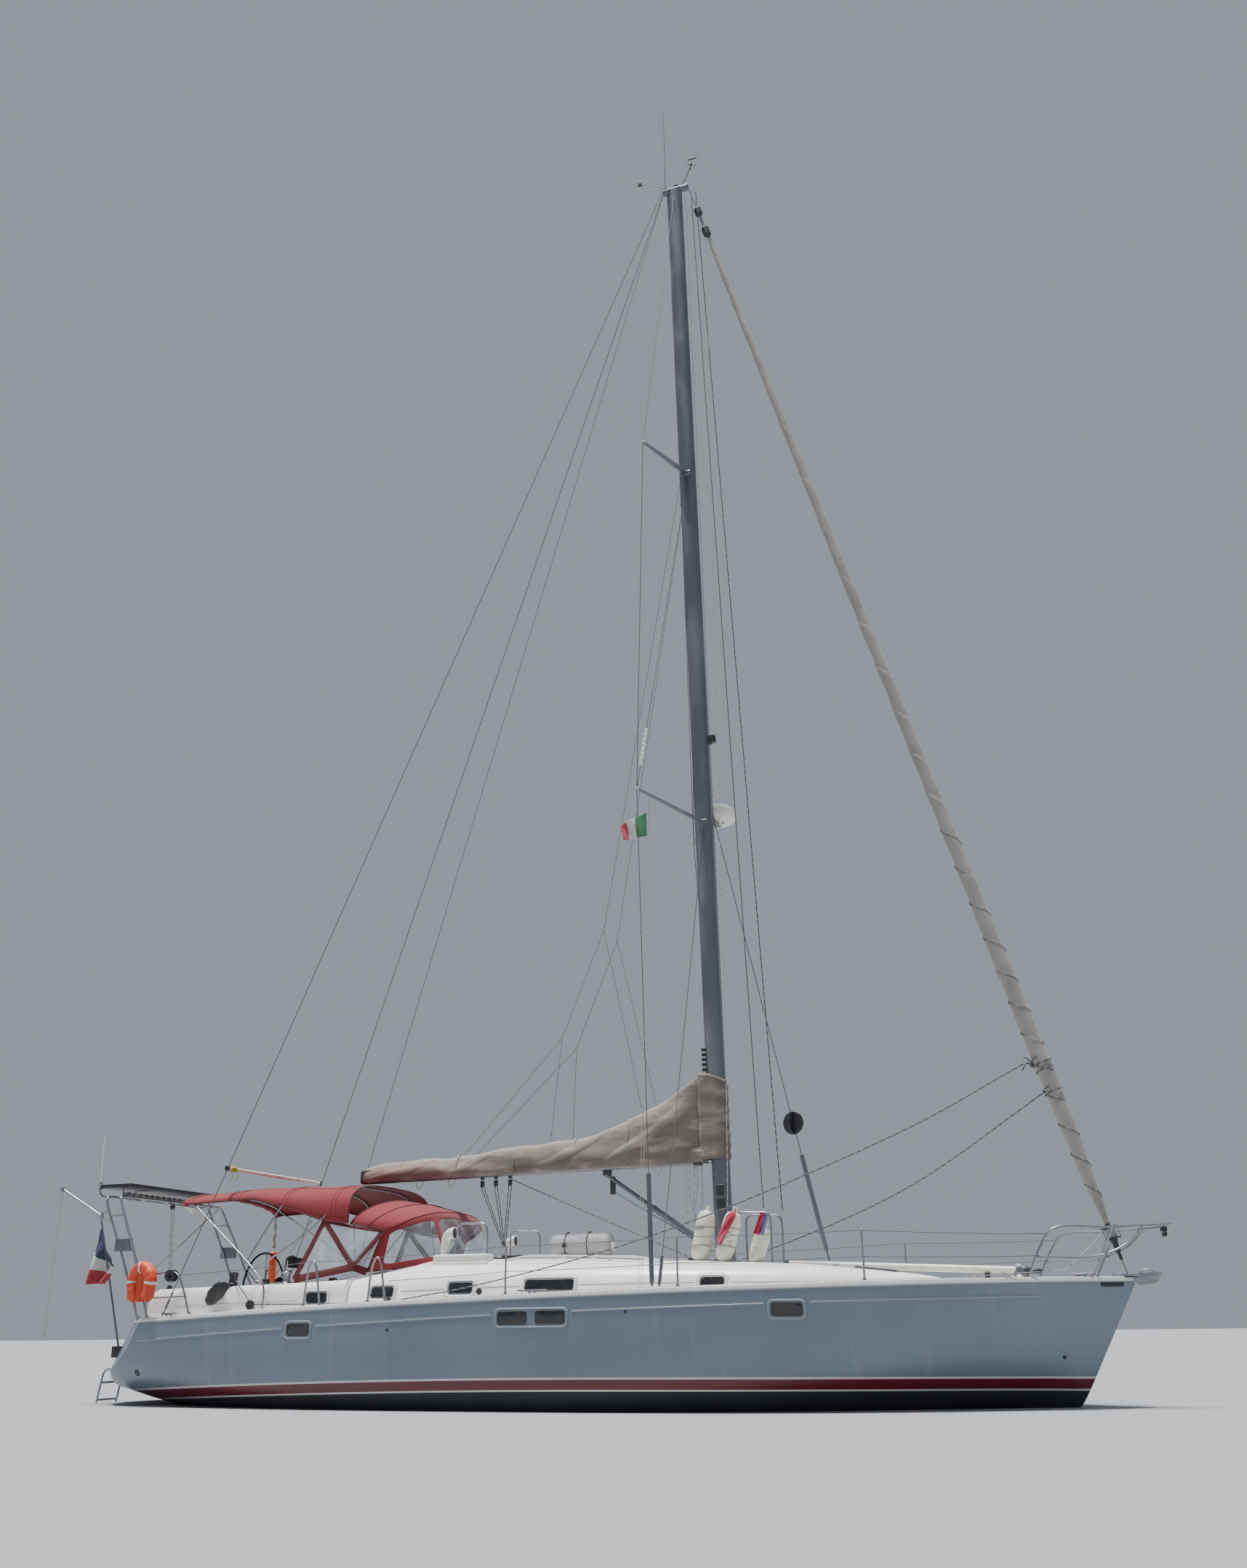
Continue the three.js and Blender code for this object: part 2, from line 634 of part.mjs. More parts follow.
function vang() {
  const head = V(VANG_HEAD.x, 0, VANG_HEAD.z);
  const middle = (VANG_FOOT.low + VANG_FOOT.high) / 2;
  const foot = V(GOOSENECK_X, 0, middle);
  const share = (t) => foot.clone().lerp(head, t);
  const eye = bar(V(GOOSENECK_X, 0, VANG_FOOT.low + PIN.gap), V(GOOSENECK_X, 0, VANG_FOOT.high - PIN.gap), 24,
    24, 16);
  const neck = box(GOOSENECK_X - 90, GOOSENECK_X - 12, -12, 12, middle - 20, middle + 20);
  const bore = bar(V(GOOSENECK_X, 0, 1800), V(GOOSENECK_X, 0, 2000), PIN.bore, PIN.bore, 16);
  const lower = bar(share(0.045), share(0.56), 32, 32, 12);
  const upper = bar(share(0.5), share(0.985), 23, 23, 12);
  const fork = box(VANG_HEAD.x - 24, VANG_HEAD.x + 44, -26, 26, VANG_HEAD.z - 40, VANG_HEAD.z + 8);
  const slot = box(VANG_HEAD.x - 26.3, VANG_HEAD.x + 90, -8.3, 8.3, VANG_HEAD.z - 24.3, VANG_HEAD.z + 70);
  return join(eye, neck, lower, upper, fork).subtract(bore).subtract(slot).subtract(boomTube(SEAT));
}

const COVER = [
  // x, height of the ridge, half width at the foot
  [1660, 4180, 14], [1600, 4150, 34], [1540, 4090, 56], [1380, 4000, 110], [960, 3745, 138], [150, 3430, 132],
  [-650, 3352, 124], [-1910, 3256, 114], [-3300, 3185, 106], [-3480, 3120, 90],
];

function sailCover() {
  const rings = COVER.map(([x, top, half]) => {
    const low = boomMiddle(x) - 88;
    const ring = [];
    for (let i = 0; i < 12; i += 1) {
      const angle = (2 * Math.PI * i) / 12;
      const z = (low + top) / 2 + ((top - low) / 2) * Math.sin(angle);
      const lean = 1 - 0.55 * clamp((z - low) / (top - low), 0, 1);
      ring.push(V(x, half * Math.sign(Math.cos(angle)) * Math.abs(Math.cos(angle)) ** 0.7 * lean, z));
    }
    return ring;
  });
  const throat = box(BOOM_END_X - 50, 1800, -46, 46, 2800, BOOM_Z);
  const neckRoom = box(GOOSENECK_X - 120, 1800, -40, 40, 2800, GOOSENECK.high + 30);
  return loft(rings).subtract(boomTube(SEAT)).subtract(throat).subtract(neckRoom);
}

function spreaderAt({ z, reach, sweep, rise }, side, t) {
  return V(mastX(z) - sweep * t, side * reach * t, z + rise * t);
}

function spreader(spec, side, grow = 0) {
  const ring = (t, chord) => {
    const points = [];
    for (let i = 0; i < 10; i += 1) {
      const angle = (2 * Math.PI * i) / 10;
      points.push(spreaderAt(spec, side, t).add(V((chord / 2 + grow) * Math.cos(angle), 0,
        (19 + grow) * Math.sin(angle))));
    }
    return points;
  };
  return loft([ring(0.02, 120), ring(0.9, 74), ring(1, 60)]).subtract(mastClearance);
}

function shrouds(side) {
  const [lower, upper] = SPREADERS;
  const base = deckTop(CHAINPLATE.x, CHAINPLATE.y);
  const foot = V(CHAINPLATE.x, side * CHAINPLATE.y, base + 90);
  const aftFoot = V(CHAINPLATE.x + 75, side * (CHAINPLATE.y - 30), base + 90);
  const lowerTip = spreaderAt(lower, side, 1.008);
  const upperTip = spreaderAt(upper, side, 1.01);
  const root = V(mastX(7700), side * 75, 7700);
  const pieces = [
    bar(foot, lowerTip, WIRE, WIRE, 6),
    bar(lowerTip, upperTip, WIRE, WIRE, 6),
    bar(upperTip, V(mastX(19560), side * 58, 19560), WIRE, WIRE, 6),
    bar(lowerTip, V(mastX(13700), side * 74, 13700), WIRE, WIRE, 6),
    bar(aftFoot, root, WIRE, WIRE, 6),
    ball(lowerTip, [26, 26, 34], 8, 6),
    ball(upperTip, [24, 24, 30], 8, 6),
    bar(foot, foot.clone().lerp(lowerTip, 0.2), 24, 24, 10),
    bar(aftFoot, aftFoot.clone().lerp(root, 0.05), 15, 15, 8),
  ];
  const [y0, y1] = [side * (CHAINPLATE.y - 60), side * (CHAINPLATE.y + 25)].sort((a, b) => a - b);
  pieces.push(box(foot.x - 40, foot.x + 115, y0, y1, base - 10, base + 100));
  const body = join(...pieces).subtract(spreader(lower, side, SEAT)).subtract(spreader(upper, side, SEAT));
  return seat(body.subtract(mastClearance), shell);
}

const STAY_FOOT = V(6860, 0, 1440);
const STAY_HEAD = V(MAST_HEAD.x + 262, 0, 19640);
const stayPoint = (z) => STAY_FOOT.clone().lerp(STAY_HEAD, (z - STAY_FOOT.z) / (STAY_HEAD.z - STAY_FOOT.z));

const FURLED = [
  // height, radius of the rolled sail
  [2040, 26], [2300, 62], [3000, 92], [4100, 108], [6500, 97], [10000, 82], [14000, 66], [17600, 46],
  [18450, 30],
];
const DRUM_TOP = 2001;
const DRUM = [
  // height of the lower face, height of the upper face, radius
  [1850, 1866, 105], [1866, 1985, 52], [1985, DRUM_TOP, 105],
];

function furledSail() {
  const rings = FURLED.map(([z, radius]) => ellipseRing(stayPoint(z).x, z, 2 * radius, 2 * radius, 10));
  const wire = bar(stayPoint(DRUM_TOP + 1 + SEAT), STAY_HEAD, 9, 9);
  const swivelHeights = [[18560, 18640], [19060, 19120]];
  const swivels = swivelHeights.map(([z0, z1]) => bar(stayPoint(z0), stayPoint(z1), 52, 46, 12));
  return join(loft(rings), wire, ...swivels).subtract(mastClearance);
}

function furlingDrum() {
  const discs = DRUM.map(([z0, z1, radius]) => bar(stayPoint(z0), stayPoint(z1 + 1), radius, radius, 20));
  const toggle = bar(stayPoint(1380), stayPoint(1850), 16, 20, 10);
  const plate = box(6800, 6900, -9, 9, 1380, 1500);
  return seat(join(...discs, toggle, plate), shell);
}

// Twin backstays, held apart by a bar above the canvas
const BACKSTAY = { headY: 30, headZ: 19690, footX: -5790, footY: 1400, barZ: 3100, barRadius: 28 };

function backstays() {
  const pieces = [];
  const ends = [];
  for (const side of [1, -1]) {
    const head = V(MAST_HEAD.x - 240, side * BACKSTAY.headY, BACKSTAY.headZ);
    const foot = V(BACKSTAY.footX, side * BACKSTAY.footY, deckTop(BACKSTAY.footX, BACKSTAY.footY) + 40);
    pieces.push(bar(foot, head, WIRE, WIRE, 6), bar(foot, foot.clone().lerp(head, 0.025), 15, 15, 8));
    pieces.push(box(foot.x - 30, foot.x + 30, foot.y - 10, foot.y + 10, foot.z - 60, foot.z + 20));
    ends.push(foot.clone().lerp(head, (BACKSTAY.barZ - foot.z) / (head.z - foot.z)));
  }
  pieces.push(bar(ends[0], ends[1], BACKSTAY.barRadius, BACKSTAY.barRadius, 10));
  return seat(join(...pieces).subtract(mastClearance), shell);
}

const BABYSTAY = { foot: V(3275, 0, 1690), head: V(mastX(7960) + 118, 0, 7960) };
const ANCHOR_BALL = { z: 3440, radius: 152 };

// Inner stay with the grey tube at its foot and the anchor ball threaded on it
function babystay() {
  const { foot, head } = BABYSTAY;
  const { z, radius } = ANCHOR_BALL;
  const at = (t) => foot.clone().lerp(head, t);
  const tang = box(foot.x - 45, foot.x + 45, -12, 12, foot.z - 80, foot.z + 30);
  const threaded = ball(at((z - foot.z) / (head.z - foot.z)), [radius, radius, radius], 12, 8);
  const pieces = [bar(foot, head, WIRE, WIRE, 6), bar(at(0.012), at(0.212), 33, 33, 10), tang, threaded];
  return seat(join(...pieces).subtract(mastClearance), shell);
}

const RADOME = { x: 1856, y: 415, low: 7935, profile: [[0, 0], [250, 0], [300, 50], [305, 125], [285, 195],
  [200, 235], [0, 247]] };

function radome() {
  const { x, y, low, profile } = RADOME;
  const dome = turned(profile.map(([radius, height]) => [radius, low + height]), x, y, 20);
  const bracket = box(x - 90, x + 60, 30, 330, low - 35, low + 5);
  return join(dome, bracket).subtract(mastClearance);
}

// Deck rails
const RAIL = { height: 590, inboard: 55, radius: 13 };
const STANCHIONS = [4000, 1870, -310];
const GATES = [
  // aft foot, forward foot, height of the arched top
  [-3220, -2960, 575],
  [-2240, -1980, 565],
];

function railFoot(x, side, inboard = RAIL.inboard) {
  const y = deckHalf(x) - inboard;
  return V(x, side * y, deckTop(x, y) - 20);
}

function lifelines(side) {
  const pieces = [];
  const posts = [];
  for (const x of STANCHIONS) {
    const foot = railFoot(x, side);
    const top = foot.clone().add(V(0, 0, RAIL.height + 20));
    pieces.push(bar(foot, top, RAIL.radius, RAIL.radius, 6));
    pieces.push(bar(foot, foot.clone().add(V(0, 0, 60)), 24, 18, 6));
    posts.push({ foot, top });
  }
  for (const [aft, fore, height] of GATES.slice().reverse()) {
    const low = railFoot(aft, side);
    const high = railFoot(fore, side);
    const lift = (point, dx, dz) => point.clone().add(V(dx, 0, dz));
    const crown = low.clone().lerp(high, 0.45).setZ(low.z + height + 20);
    const hoop = [low, lift(low, 60, height - 60), crown, lift(high, -95, height - 60), high];
    pieces.push(tube(hoop, RAIL.radius, 10));
    posts.push({ foot: low, top: crown.clone().add(V(0, 0, -4)) });
  }
  const pulpitEnd = V(6010, side * 748, 1900);
  const pushpitEnd = V(-5395, side * 1655, 1660);
  const line = [pulpitEnd, ...posts.map(({ top }) => top), pushpitEnd];
  for (let i = 0; i + 1 < line.length; i += 1) {
    const start = i === 0 ? line[0].clone().lerp(line[1], 0.012) : line[i];
    const end = i + 2 === line.length ? line[i].clone().lerp(line[i + 1], 0.985) : line[i + 1];
    pieces.push(bar(start, end, 5, 5, 4));
  }
  const half = ({ foot, top }) => foot.clone().lerp(top, 0.5);
  for (let i = 0; i < 2; i += 1) {
    pieces.push(bar(half(posts[i]), half(posts[i + 1]), 5, 5, 4));
  }
  pieces.push(bar(half(posts[2]), half(posts[3]).add(V(230, 0, 0)), 5, 5, 4));
  return seat(join(...pieces), shell);
}

function pulpit() {
  const pieces = [];
  for (const side of [1, -1]) {
    const rear = V(5760, side * 715, deckTop(5760, 700) - 20);
    const front = V(6480, side * 250, deckTop(6480, 240) - 20);
    pieces.push(tube([rear, V(5960, side * 745, 1780), V(6110, side * 742, 1953), V(6700, side * 480, 1970),
      V(7410, side * 130, 2000)], 15, 11));
    pieces.push(bar(front, V(6760, side * 452, 1968), 15, 15, 6));
    pieces.push(tube([V(5890, side * 738, 1640), V(6560, side * 400, 1655), V(6900, side * 300, 1790),
      V(7110, side * 285, 1985)], 12, 7));
    pieces.push(bar(rear, rear.clone().add(V(8, 0, 40)), 30, 26, 6));
    pieces.push(bar(front, front.clone().add(V(12, 0, 40)), 30, 26, 6));
  }
  pieces.push(bar(V(7410, -140, 2000), V(7410, 140, 2000), 15, 15, 6));
  pieces.push(bar(V(7330, -175, 1994), V(7330, 175, 1994), 9, 9, 6));
  pieces.push(box(7290, 7370, -40, 40, 1870, 1990));
  return seat(join(...pieces), shell);
}

function pushpit(side) {
  const foot = railFoot(-5150, side);
  const aftFoot = railFoot(-5980, side, 60);
  const rail = tube([foot, V(-5300, foot.y, 1500), V(-5420, side * 1650, 1680), V(-5800, side * 1560, 1690),
    V(-6210, side * 1420, 1680)], 13, 14, 6);
  const leg = bar(aftFoot, V(-6080, side * 1470, 1686), 12, 12, 6);
  const midRail = bar(V(-5235, foot.y, 1385), V(-6030, side * 1478, 1375), 9, 9, 6);
  return seat(join(rail, leg, midRail), shell);
}

function bowRoller() {
  const under = [[6640, 1426], [6950, 1434], [6962, 1335], [7180, 1362], [7240, 1455]];
  const outline = [...under, [7225, 1475], [6940, 1462], [6640, 1444]];
  const cheeks = [62, -74].map((y) => slab(outline, y, y + 12));
  const floor = box(6945, 7140, -70, 70, 1385, 1399);
  const foot = box(6600, 6790, -74, 74, 1380, 1440);
  const roller = bar(V(7185, -68, 1425), V(7185, 68, 1425), 32, 32, 12);
  const sweep = [0, 6, 12].map((ahead) => hullForm.translate([ahead, 0, 0]));
  const slot = box(6780, 6925, -26, 26, 1380, 1520);
  return seat(join(...cheeks, floor, foot, roller), shell).subtract(join(...sweep)).subtract(slot);
}

// Stern arch with the solar panel, the davit arm, the whip aerial and the ensign staff
const ARCH = { half: 1250, aftX: -7060, foreX: -6830, top: 2790 };

function sternArch() {
  const pieces = [];
  for (const side of [1, -1]) {
    const y = side * ARCH.half;
    pieces.push(tube([V(-6255, side * 1275, deckTop(-6255, 1275) - 20), V(-6640, side * 1262, 1900),
      V(-7030, y, 2680), V(ARCH.aftX, side * 1225, 2770), V(ARCH.aftX, side * 1120, ARCH.top)], 19, 9));
    pieces.push(tube([V(-6010, side * 1395, deckTop(-6010, 1395) - 20), V(-6330, side * 1330, 1800),
      V(-6780, y, 2680), V(ARCH.foreX + 6, side * 1225, 2770), V(ARCH.foreX, side * 1120, ARCH.top)], 19, 9));
    pieces.push(bar(V(-6960, side * 1252, 2520), V(-6700, side * 1256, 2520), 14, 14, 6));
    pieces.push(box(-6800, -6500, side * 1275 - 5, side * 1275 + 5, 2020, 2190));
  }
  for (const x of [ARCH.aftX, ARCH.foreX]) {
    pieces.push(bar(V(x, -1125, ARCH.top), V(x, 1125, ARCH.top), 19, 19, 6));
  }
  for (let i = 0; i < 5; i += 1) {
    const y = -1040 + i * 520;
    pieces.push(box(ARCH.aftX, ARCH.foreX, y - 20, y + 20, ARCH.top - 8, ARCH.top + 8));
  }
  for (const x of [ARCH.aftX, ARCH.foreX]) {
    for (const y of [-900, 900]) {
      pieces.push(box(x - 20, x + 20, y - 20, y + 20, ARCH.top, 2930));
    }
  }
  const pivot = V(DAVIT.x, DAVIT.y, 0);
  for (const z of [DAVIT.low - 12, DAVIT.high]) {
    pieces.push(box(pivot.x - 22, -6965, pivot.y - 20, pivot.y + 20, z, z + 12));
  }
  pieces.push(bar(V(pivot.x, pivot.y, DAVIT.low - 12), V(pivot.x, pivot.y, DAVIT.high + 12), 10, 10, 12));
  const foot = V(ARCH.aftX, -1150, ARCH.top);
  pieces.push(tube([foot, V(-7200, -1155, 2800), V(-7262, -1165, 2860), V(-7264, -1165, 2950)], 13, 8, 6));
  pieces.push(bar(V(-7264, -1165, 2940), V(-7290, -1165, 3660), 16, 12, 6));
  return seat(join(...pieces), shell);
}

const DAVIT = { x: -7095, y: -1262, low: 2470, high: 2560, tip: V(-7860, -1262, 2925) };

function davitArm() {
  const { x, y, low, high, tip } = DAVIT;
  const eye = bar(V(x, y, low + 5), V(x, y, high - 5), 21, 21, 12);
  const arm = bar(V(x - 12, y, 2520), tip, 17, 15, 8);
  const block = box(tip.x - 30, tip.x + 30, y - 20, y + 20, tip.z - 45, tip.z + 28);
  const bore = bar(V(x, y, low - 50), V(x, y, high + 50), 10.7, 10.7, 12);
  return join(eye, arm, block).subtract(bore);
}

// Lifting line that hangs from the davit's block, and the snap hook on its end
const FALL = { radius: 4, top: DAVIT.tip.z - 45, bottom: 985, steps: 80 };

function davitFall() {
  const { tip } = DAVIT;
  const points = [FALL.top - SEAT, 2200, 1600, FALL.bottom + SEAT].map((z) => V(tip.x, tip.y, z));
  return tube(points, FALL.radius, FALL.steps, 8);
}

function fallHook() {
  const { x, y } = DAVIT.tip;
  const eye = bar(V(x, y, FALL.bottom), V(x, y, FALL.bottom - 28), 9, 12, 12);
  const shank = box(x - 14, x + 14, y - 6, y + 6, FALL.bottom - 90, FALL.bottom - 26);
  return join(eye, shank);
}

const PANEL = { x0: -7230, x1: -6690, half: 1200, z: 2930, thick: 40 };

function solarPanel() {
  const { x0, x1, half, z, thick } = PANEL;
  return box(x0, x1, -half, half, z + SEAT, z + thick);
}

function ensignStaff() {
  const foot = V(-6745, -1000, 690);
  const top = V(-7330, -1000, 2530);
  const socket = box(-6860, -6700, -1024, -976, 610, 760);
  return join(bar(foot, top, 15, 12, 6), socket, ball(top, [20, 20, 20], 8, 6))
    .subtract(shell.translate([-SEAT, 0, 0]));
}

// Canvas over the cockpit
const BIMINI = { half: 1220, thick: 12 };
const BIMINI_EDGE = [[-5750, 2640], [-4600, 2680], [-3850, 2480], [-3420, 2340], [-3050, 2300]];
const BIMINI_CROWN = [[-5750, 2830], [-4800, 2900], [-3500, 2865], [-3050, 2845]];

function biminiRing(x, shrink = 0) {
  const edge = along(BIMINI_EDGE, x);
  const crown = along(BIMINI_CROWN, x) - shrink;
  const ring = [];
  for (let i = 0; i <= 12; i += 1) {
    const angle = (Math.PI * i) / 12;
    ring.push(V(x, (BIMINI.half - shrink) * Math.cos(angle), edge + (crown - edge) * Math.sin(angle)));
  }
  return ring;
}

function bimini() {
  const stations = [-5750, -5200, -4600, -4200, -3850, -3420, -3050];
  return sheet(stations.map((x) => biminiRing(x)), stations.map((x) => biminiRing(x, BIMINI.thick)));
}

const BOW_DROP = 40.7;
const BOWS = [
  // where the bow's top lies under the canvas, and the points its starboard leg passes
  { x: -5640, leg: [[-4050, 1600, 1100], [-4050, 1600, 1480], [-4180, 1570, 1640], [-5450, 1225, 2545]] },
  { x: -4080, leg: [[-4420, 1508, 1805], [-4200, 1300, 2350]] },
  { x: -3300, leg: [[-4270, 1545, 1700], [-3700, 1270, 2150]] },
];

function biminiFrame() {
  const pieces = BOWS.map(({ x, leg }) => {
    const arch = biminiRing(x, BOW_DROP).slice(1, -1).reverse();
    const starboard = leg.map(([px, y, z]) => V(px, -y, z));
    const port = leg.map(([px, y, z]) => V(px, y, z)).reverse();
    return tube([...starboard, ...arch, ...port], 12, 17);
  });
  for (const side of [1, -1]) {
    pieces.push(bar(V(-5960, side * 1515, 1690), V(-5140, side * 1228, 2540), 10, 10, 6));
  }
  return seat(join(...pieces), shell).subtract(eased(pushpit(1))).subtract(eased(pushpit(-1)));
}

// Sprayhood: an arch from each foot over the crown, for each bow of its frame and its base line
const HOOD = [
  // foot x, foot y, foot z, crown x, crown z, plan squareness
  [-3050, 1170, 2290, -2780, 2655, 1],
  [-2780, 1178, 2240, -2400, 2590, 0.9],
  [-2500, 1175, 2190, -1950, 2470, 0.75],
  [-2620, 1175, 1960, -1790, 2140, 0.72],
  [-2750, 1170, 1640, -1640, 1792, 0.7],
];
const HOOD_THICK = 12;

function hoodRing([footX, footY, footZ, crownX, crownZ, square], shrink = 0) {
  const ring = [];
  for (let i = 0; i <= 14; i += 1) {
    const angle = (Math.PI * i) / 14;
    const up = Math.max(0, Math.sin(angle));
    const y = Math.sign(Math.cos(angle)) * Math.abs(Math.cos(angle)) ** square;
    ring.push(V(footX + (crownX - shrink - footX) * up ** square, (footY - shrink) * y,
      footZ + (crownZ - shrink - footZ) * up));
  }
  return ring;
}

function sprayhood() {
  return seat(sheet(HOOD.map((row) => hoodRing(row)), HOOD.map((row) => hoodRing(row, HOOD_THICK))), shell);
}

// Steering
const WHEEL = { x: -5100, z: 1470, rim: 536, tube: 14 };

function binnacle() {
  const column = loft([
    [-4960, 120, HELM_FLOOR + SEAT], [-4960, 105, 1250], [-5000, 120, 1420], [-5000, 120, 1600],
  ].map(([aft, half, z]) => [V(aft, -half, z), V(aft, half, z), V(-4680, half, z), V(-4680, -half, z)]));
  const guardSide = [[-4700, 170, HELM_FLOOR + SEAT], [-4660, 175, 1500], [-4650, 150, 1900]];
  const guardPort = guardSide.map(([x, y, z]) => V(x, y, z));
  const guardStarboard = guardSide.map(([x, y, z]) => V(x, -y, z)).reverse();
  const guard = tube([...guardPort, V(-4650, 0, 1950), ...guardStarboard], 14, 12);
  const shelf = box(-4760, -4640, -172, 172, 1560, 1590);
  const pod = box(-4640, -4540, -150, 150, 1790, 1930);
  const compass = ball(V(-4850, 0, 1600), [85, 85, 70], 12, 8);
  const bore = bar(V(-5200, 0, WHEEL.z), V(-4900, 0, WHEEL.z), 20.8, 20.8, 16);
  return seat(join(column, guard, shelf, pod, compass), shell).subtract(bore);
}

function steeringWheel() {
  const rim = new THREE.TorusGeometry(WHEEL.rim, WHEEL.tube, 5, 20);
  rim.rotateY(Math.PI / 2);
  rim.translate(WHEEL.x, 0, WHEEL.z);
  const pieces = [solid(rim), bar(V(WHEEL.x - 35, 0, WHEEL.z), V(WHEEL.x + 30, 0, WHEEL.z), 55, 55, 16),
    bar(V(WHEEL.x, 0, WHEEL.z), V(-4910, 0, WHEEL.z), 20, 20, 16)];
  for (let i = 0; i < 6; i += 1) {
    const angle = (2 * Math.PI * i) / 6;
    pieces.push(bar(V(WHEEL.x, 0, WHEEL.z), V(WHEEL.x, WHEEL.rim * Math.sin(angle), WHEEL.z
      + WHEEL.rim * Math.cos(angle)), 9, 9, 4));
  }
  return join(...pieces);
}

// Gear on the coachroof and deck
function liferaft() {
  const half = [[158, 340], [150, 390], [110, 430], [0, 440]];
  const profile = [...half.map(([radius, x]) => [radius, -x]).reverse(), ...half];
  const outline = profile.map(([radius, height]) => new THREE.Vector2(radius, height));
  const geometry = new THREE.LatheGeometry(outline, 12);
  geometry.rotateZ(Math.PI / 2);
  geometry.translate(-110, 0, roofTop(-110) + 196);
  const chocks = [-380, 60].map((x) => box(x, x + 100, -150, 150, roofTop(x) - 30, roofTop(x) + 120));
  return seat(join(solid(geometry), ...chocks), shell);
}

const VENT = { x0: -1800, x1: -1020, y: 990, half: 125, top: 1852, cowlX: -1680 };

function ventBox(side) {
  const y = side * VENT.y;
  const body = box(VENT.x0, VENT.x1, y - VENT.half, y + VENT.half, 1560, VENT.top);
  const pipe = tube([V(VENT.cowlX, y, VENT.top - 20), V(VENT.cowlX, y, 2020), V(VENT.cowlX + 40, y, 2110),
    V(VENT.cowlX + 130, y, 2125)], 62, 8, 10);
  const guardY = y - side * 105;
  const guard = tube([V(-1580, guardY, 1830), V(-1580, guardY, 2170), V(-1520, guardY, 2245),
    V(-1180, guardY, 2245), V(-1120, guardY, 2170), V(-1115, guardY, 1830)], 12, 11);
  return seat(join(body, pipe, guard), shell);
}

function mastRail(side) {
  const y = side * 300;
  const hoop = tube([V(2120, y, 1600), V(2120, y, 2240), V(2190, y, 2300), V(2540, y, 2290), V(2605, y, 2225),
    V(2605, y, 1600)], 14, 11);
  return seat(hoop, shell);
}

function traveller() {
  const track = box(-1300, -1245, -760, 760, 1810, 1838);
  const feet = [-700, 0, 700].map((y) => box(-1300, -1245, y - 50, y + 50, 1780, 1815));
  const car = box(-1330, -1215, -70, 70, 1838, 1880);
  const block = bar(V(-1272, -25, 1925), V(-1272, 25, 1925), 52, 52, 12);
  return seat(join(track, ...feet, car, block), shell);
}

function winch(x, y, z) {
  return seat(turned([[0, -60], [75, -60], [75, 20], [52, 40], [48, 120], [66, 150], [60, 175], [0, 178]]
    .map(([radius, height]) => [radius, z + height]), x, y, 14), shell);
}

const WINCHES = [
  // node, x, y, height of the seat
  ["winch_starboard", -3900, -1295, 1520],
  ["winch_port", -3900, 1295, 1520],
];

const POLE = { aft: V(2550, 640, 1700), fore: V(5620, 430, 1540), fitting: V(5760, 422, 1533) };

function whiskerPole() {
  const pieces = [bar(POLE.aft, POLE.fore, 44, 48, 10)];
  pieces.push(bar(POLE.fore, POLE.fitting, 36, 30, 10));
  pieces.push(box(5150, 5210, 400, 500, 1380, 1530), box(2700, 2760, 585, 685, 1500, 1680));
  return seat(join(...pieces), shell);
}

const FENDERS = [
  // foot x, foot y, top x, top y, length, radius
  [1670, -450, 1810, -440, 640, 118],
  [1985, -455, 2175, -445, 640, 116],
  [2320, -110, 2480, -130, 470, 104],
];

function fender([footX, footY, topX, topY, length, radius]) {
  const profile = [[0, 0], [40, 0], [radius * 0.75, 35], [radius, 120], [radius, length - 120],
    [radius * 0.75, length - 35], [30, length], [30, length + 50], [0, length + 50]];
  const geometry = new THREE.LatheGeometry(profile.map(([r, h]) => new THREE.Vector2(r, h)), 14);
  const lean = V(topX - footX, topY - footY, length * 0.94).normalize();
  geometry.applyQuaternion(new THREE.Quaternion().setFromUnitVectors(V(0, 1, 0), lean));
  geometry.translate(footX, footY, roofTop(footX) - 2);
  return seat(solid(geometry), shell);
}

const BUOY = { x: -6050, y: -1556, z: 1590, slope: 0.3, bend: 190, radius: 66 };

function horseshoe() {
  const points = [];
  for (let i = 0; i <= 8; i += 1) {
    const angle = -0.35 + (i * (Math.PI + 0.7)) / 8;
    const x = BUOY.x + BUOY.bend * Math.cos(angle);
    points.push(V(x, BUOY.y - BUOY.slope * (x - BUOY.x), BUOY.z + BUOY.bend * Math.sin(angle)));
  }
  points.unshift(points[0].clone().add(V(-25, 0, -170)));
  points.push(points[points.length - 1].clone().add(V(25, 0, -170)));
  return tube(points, BUOY.radius, 16, 8).subtract(eased(pushpit(-1)));
}

function danbuoy() {
  const [x, y] = [-5900, 1393];
  const pole = bar(V(x, y, 1050), V(x, y, 2760), 12, 10, 6);
  const float = bar(V(x, y, 1560), V(x, y, 2110), 62, 55, 10);
  return seat(join(pole, float), shell);
}

const root = new THREE.Group();
const add = (name, body, finish) => root.add(part(name, body, finish));

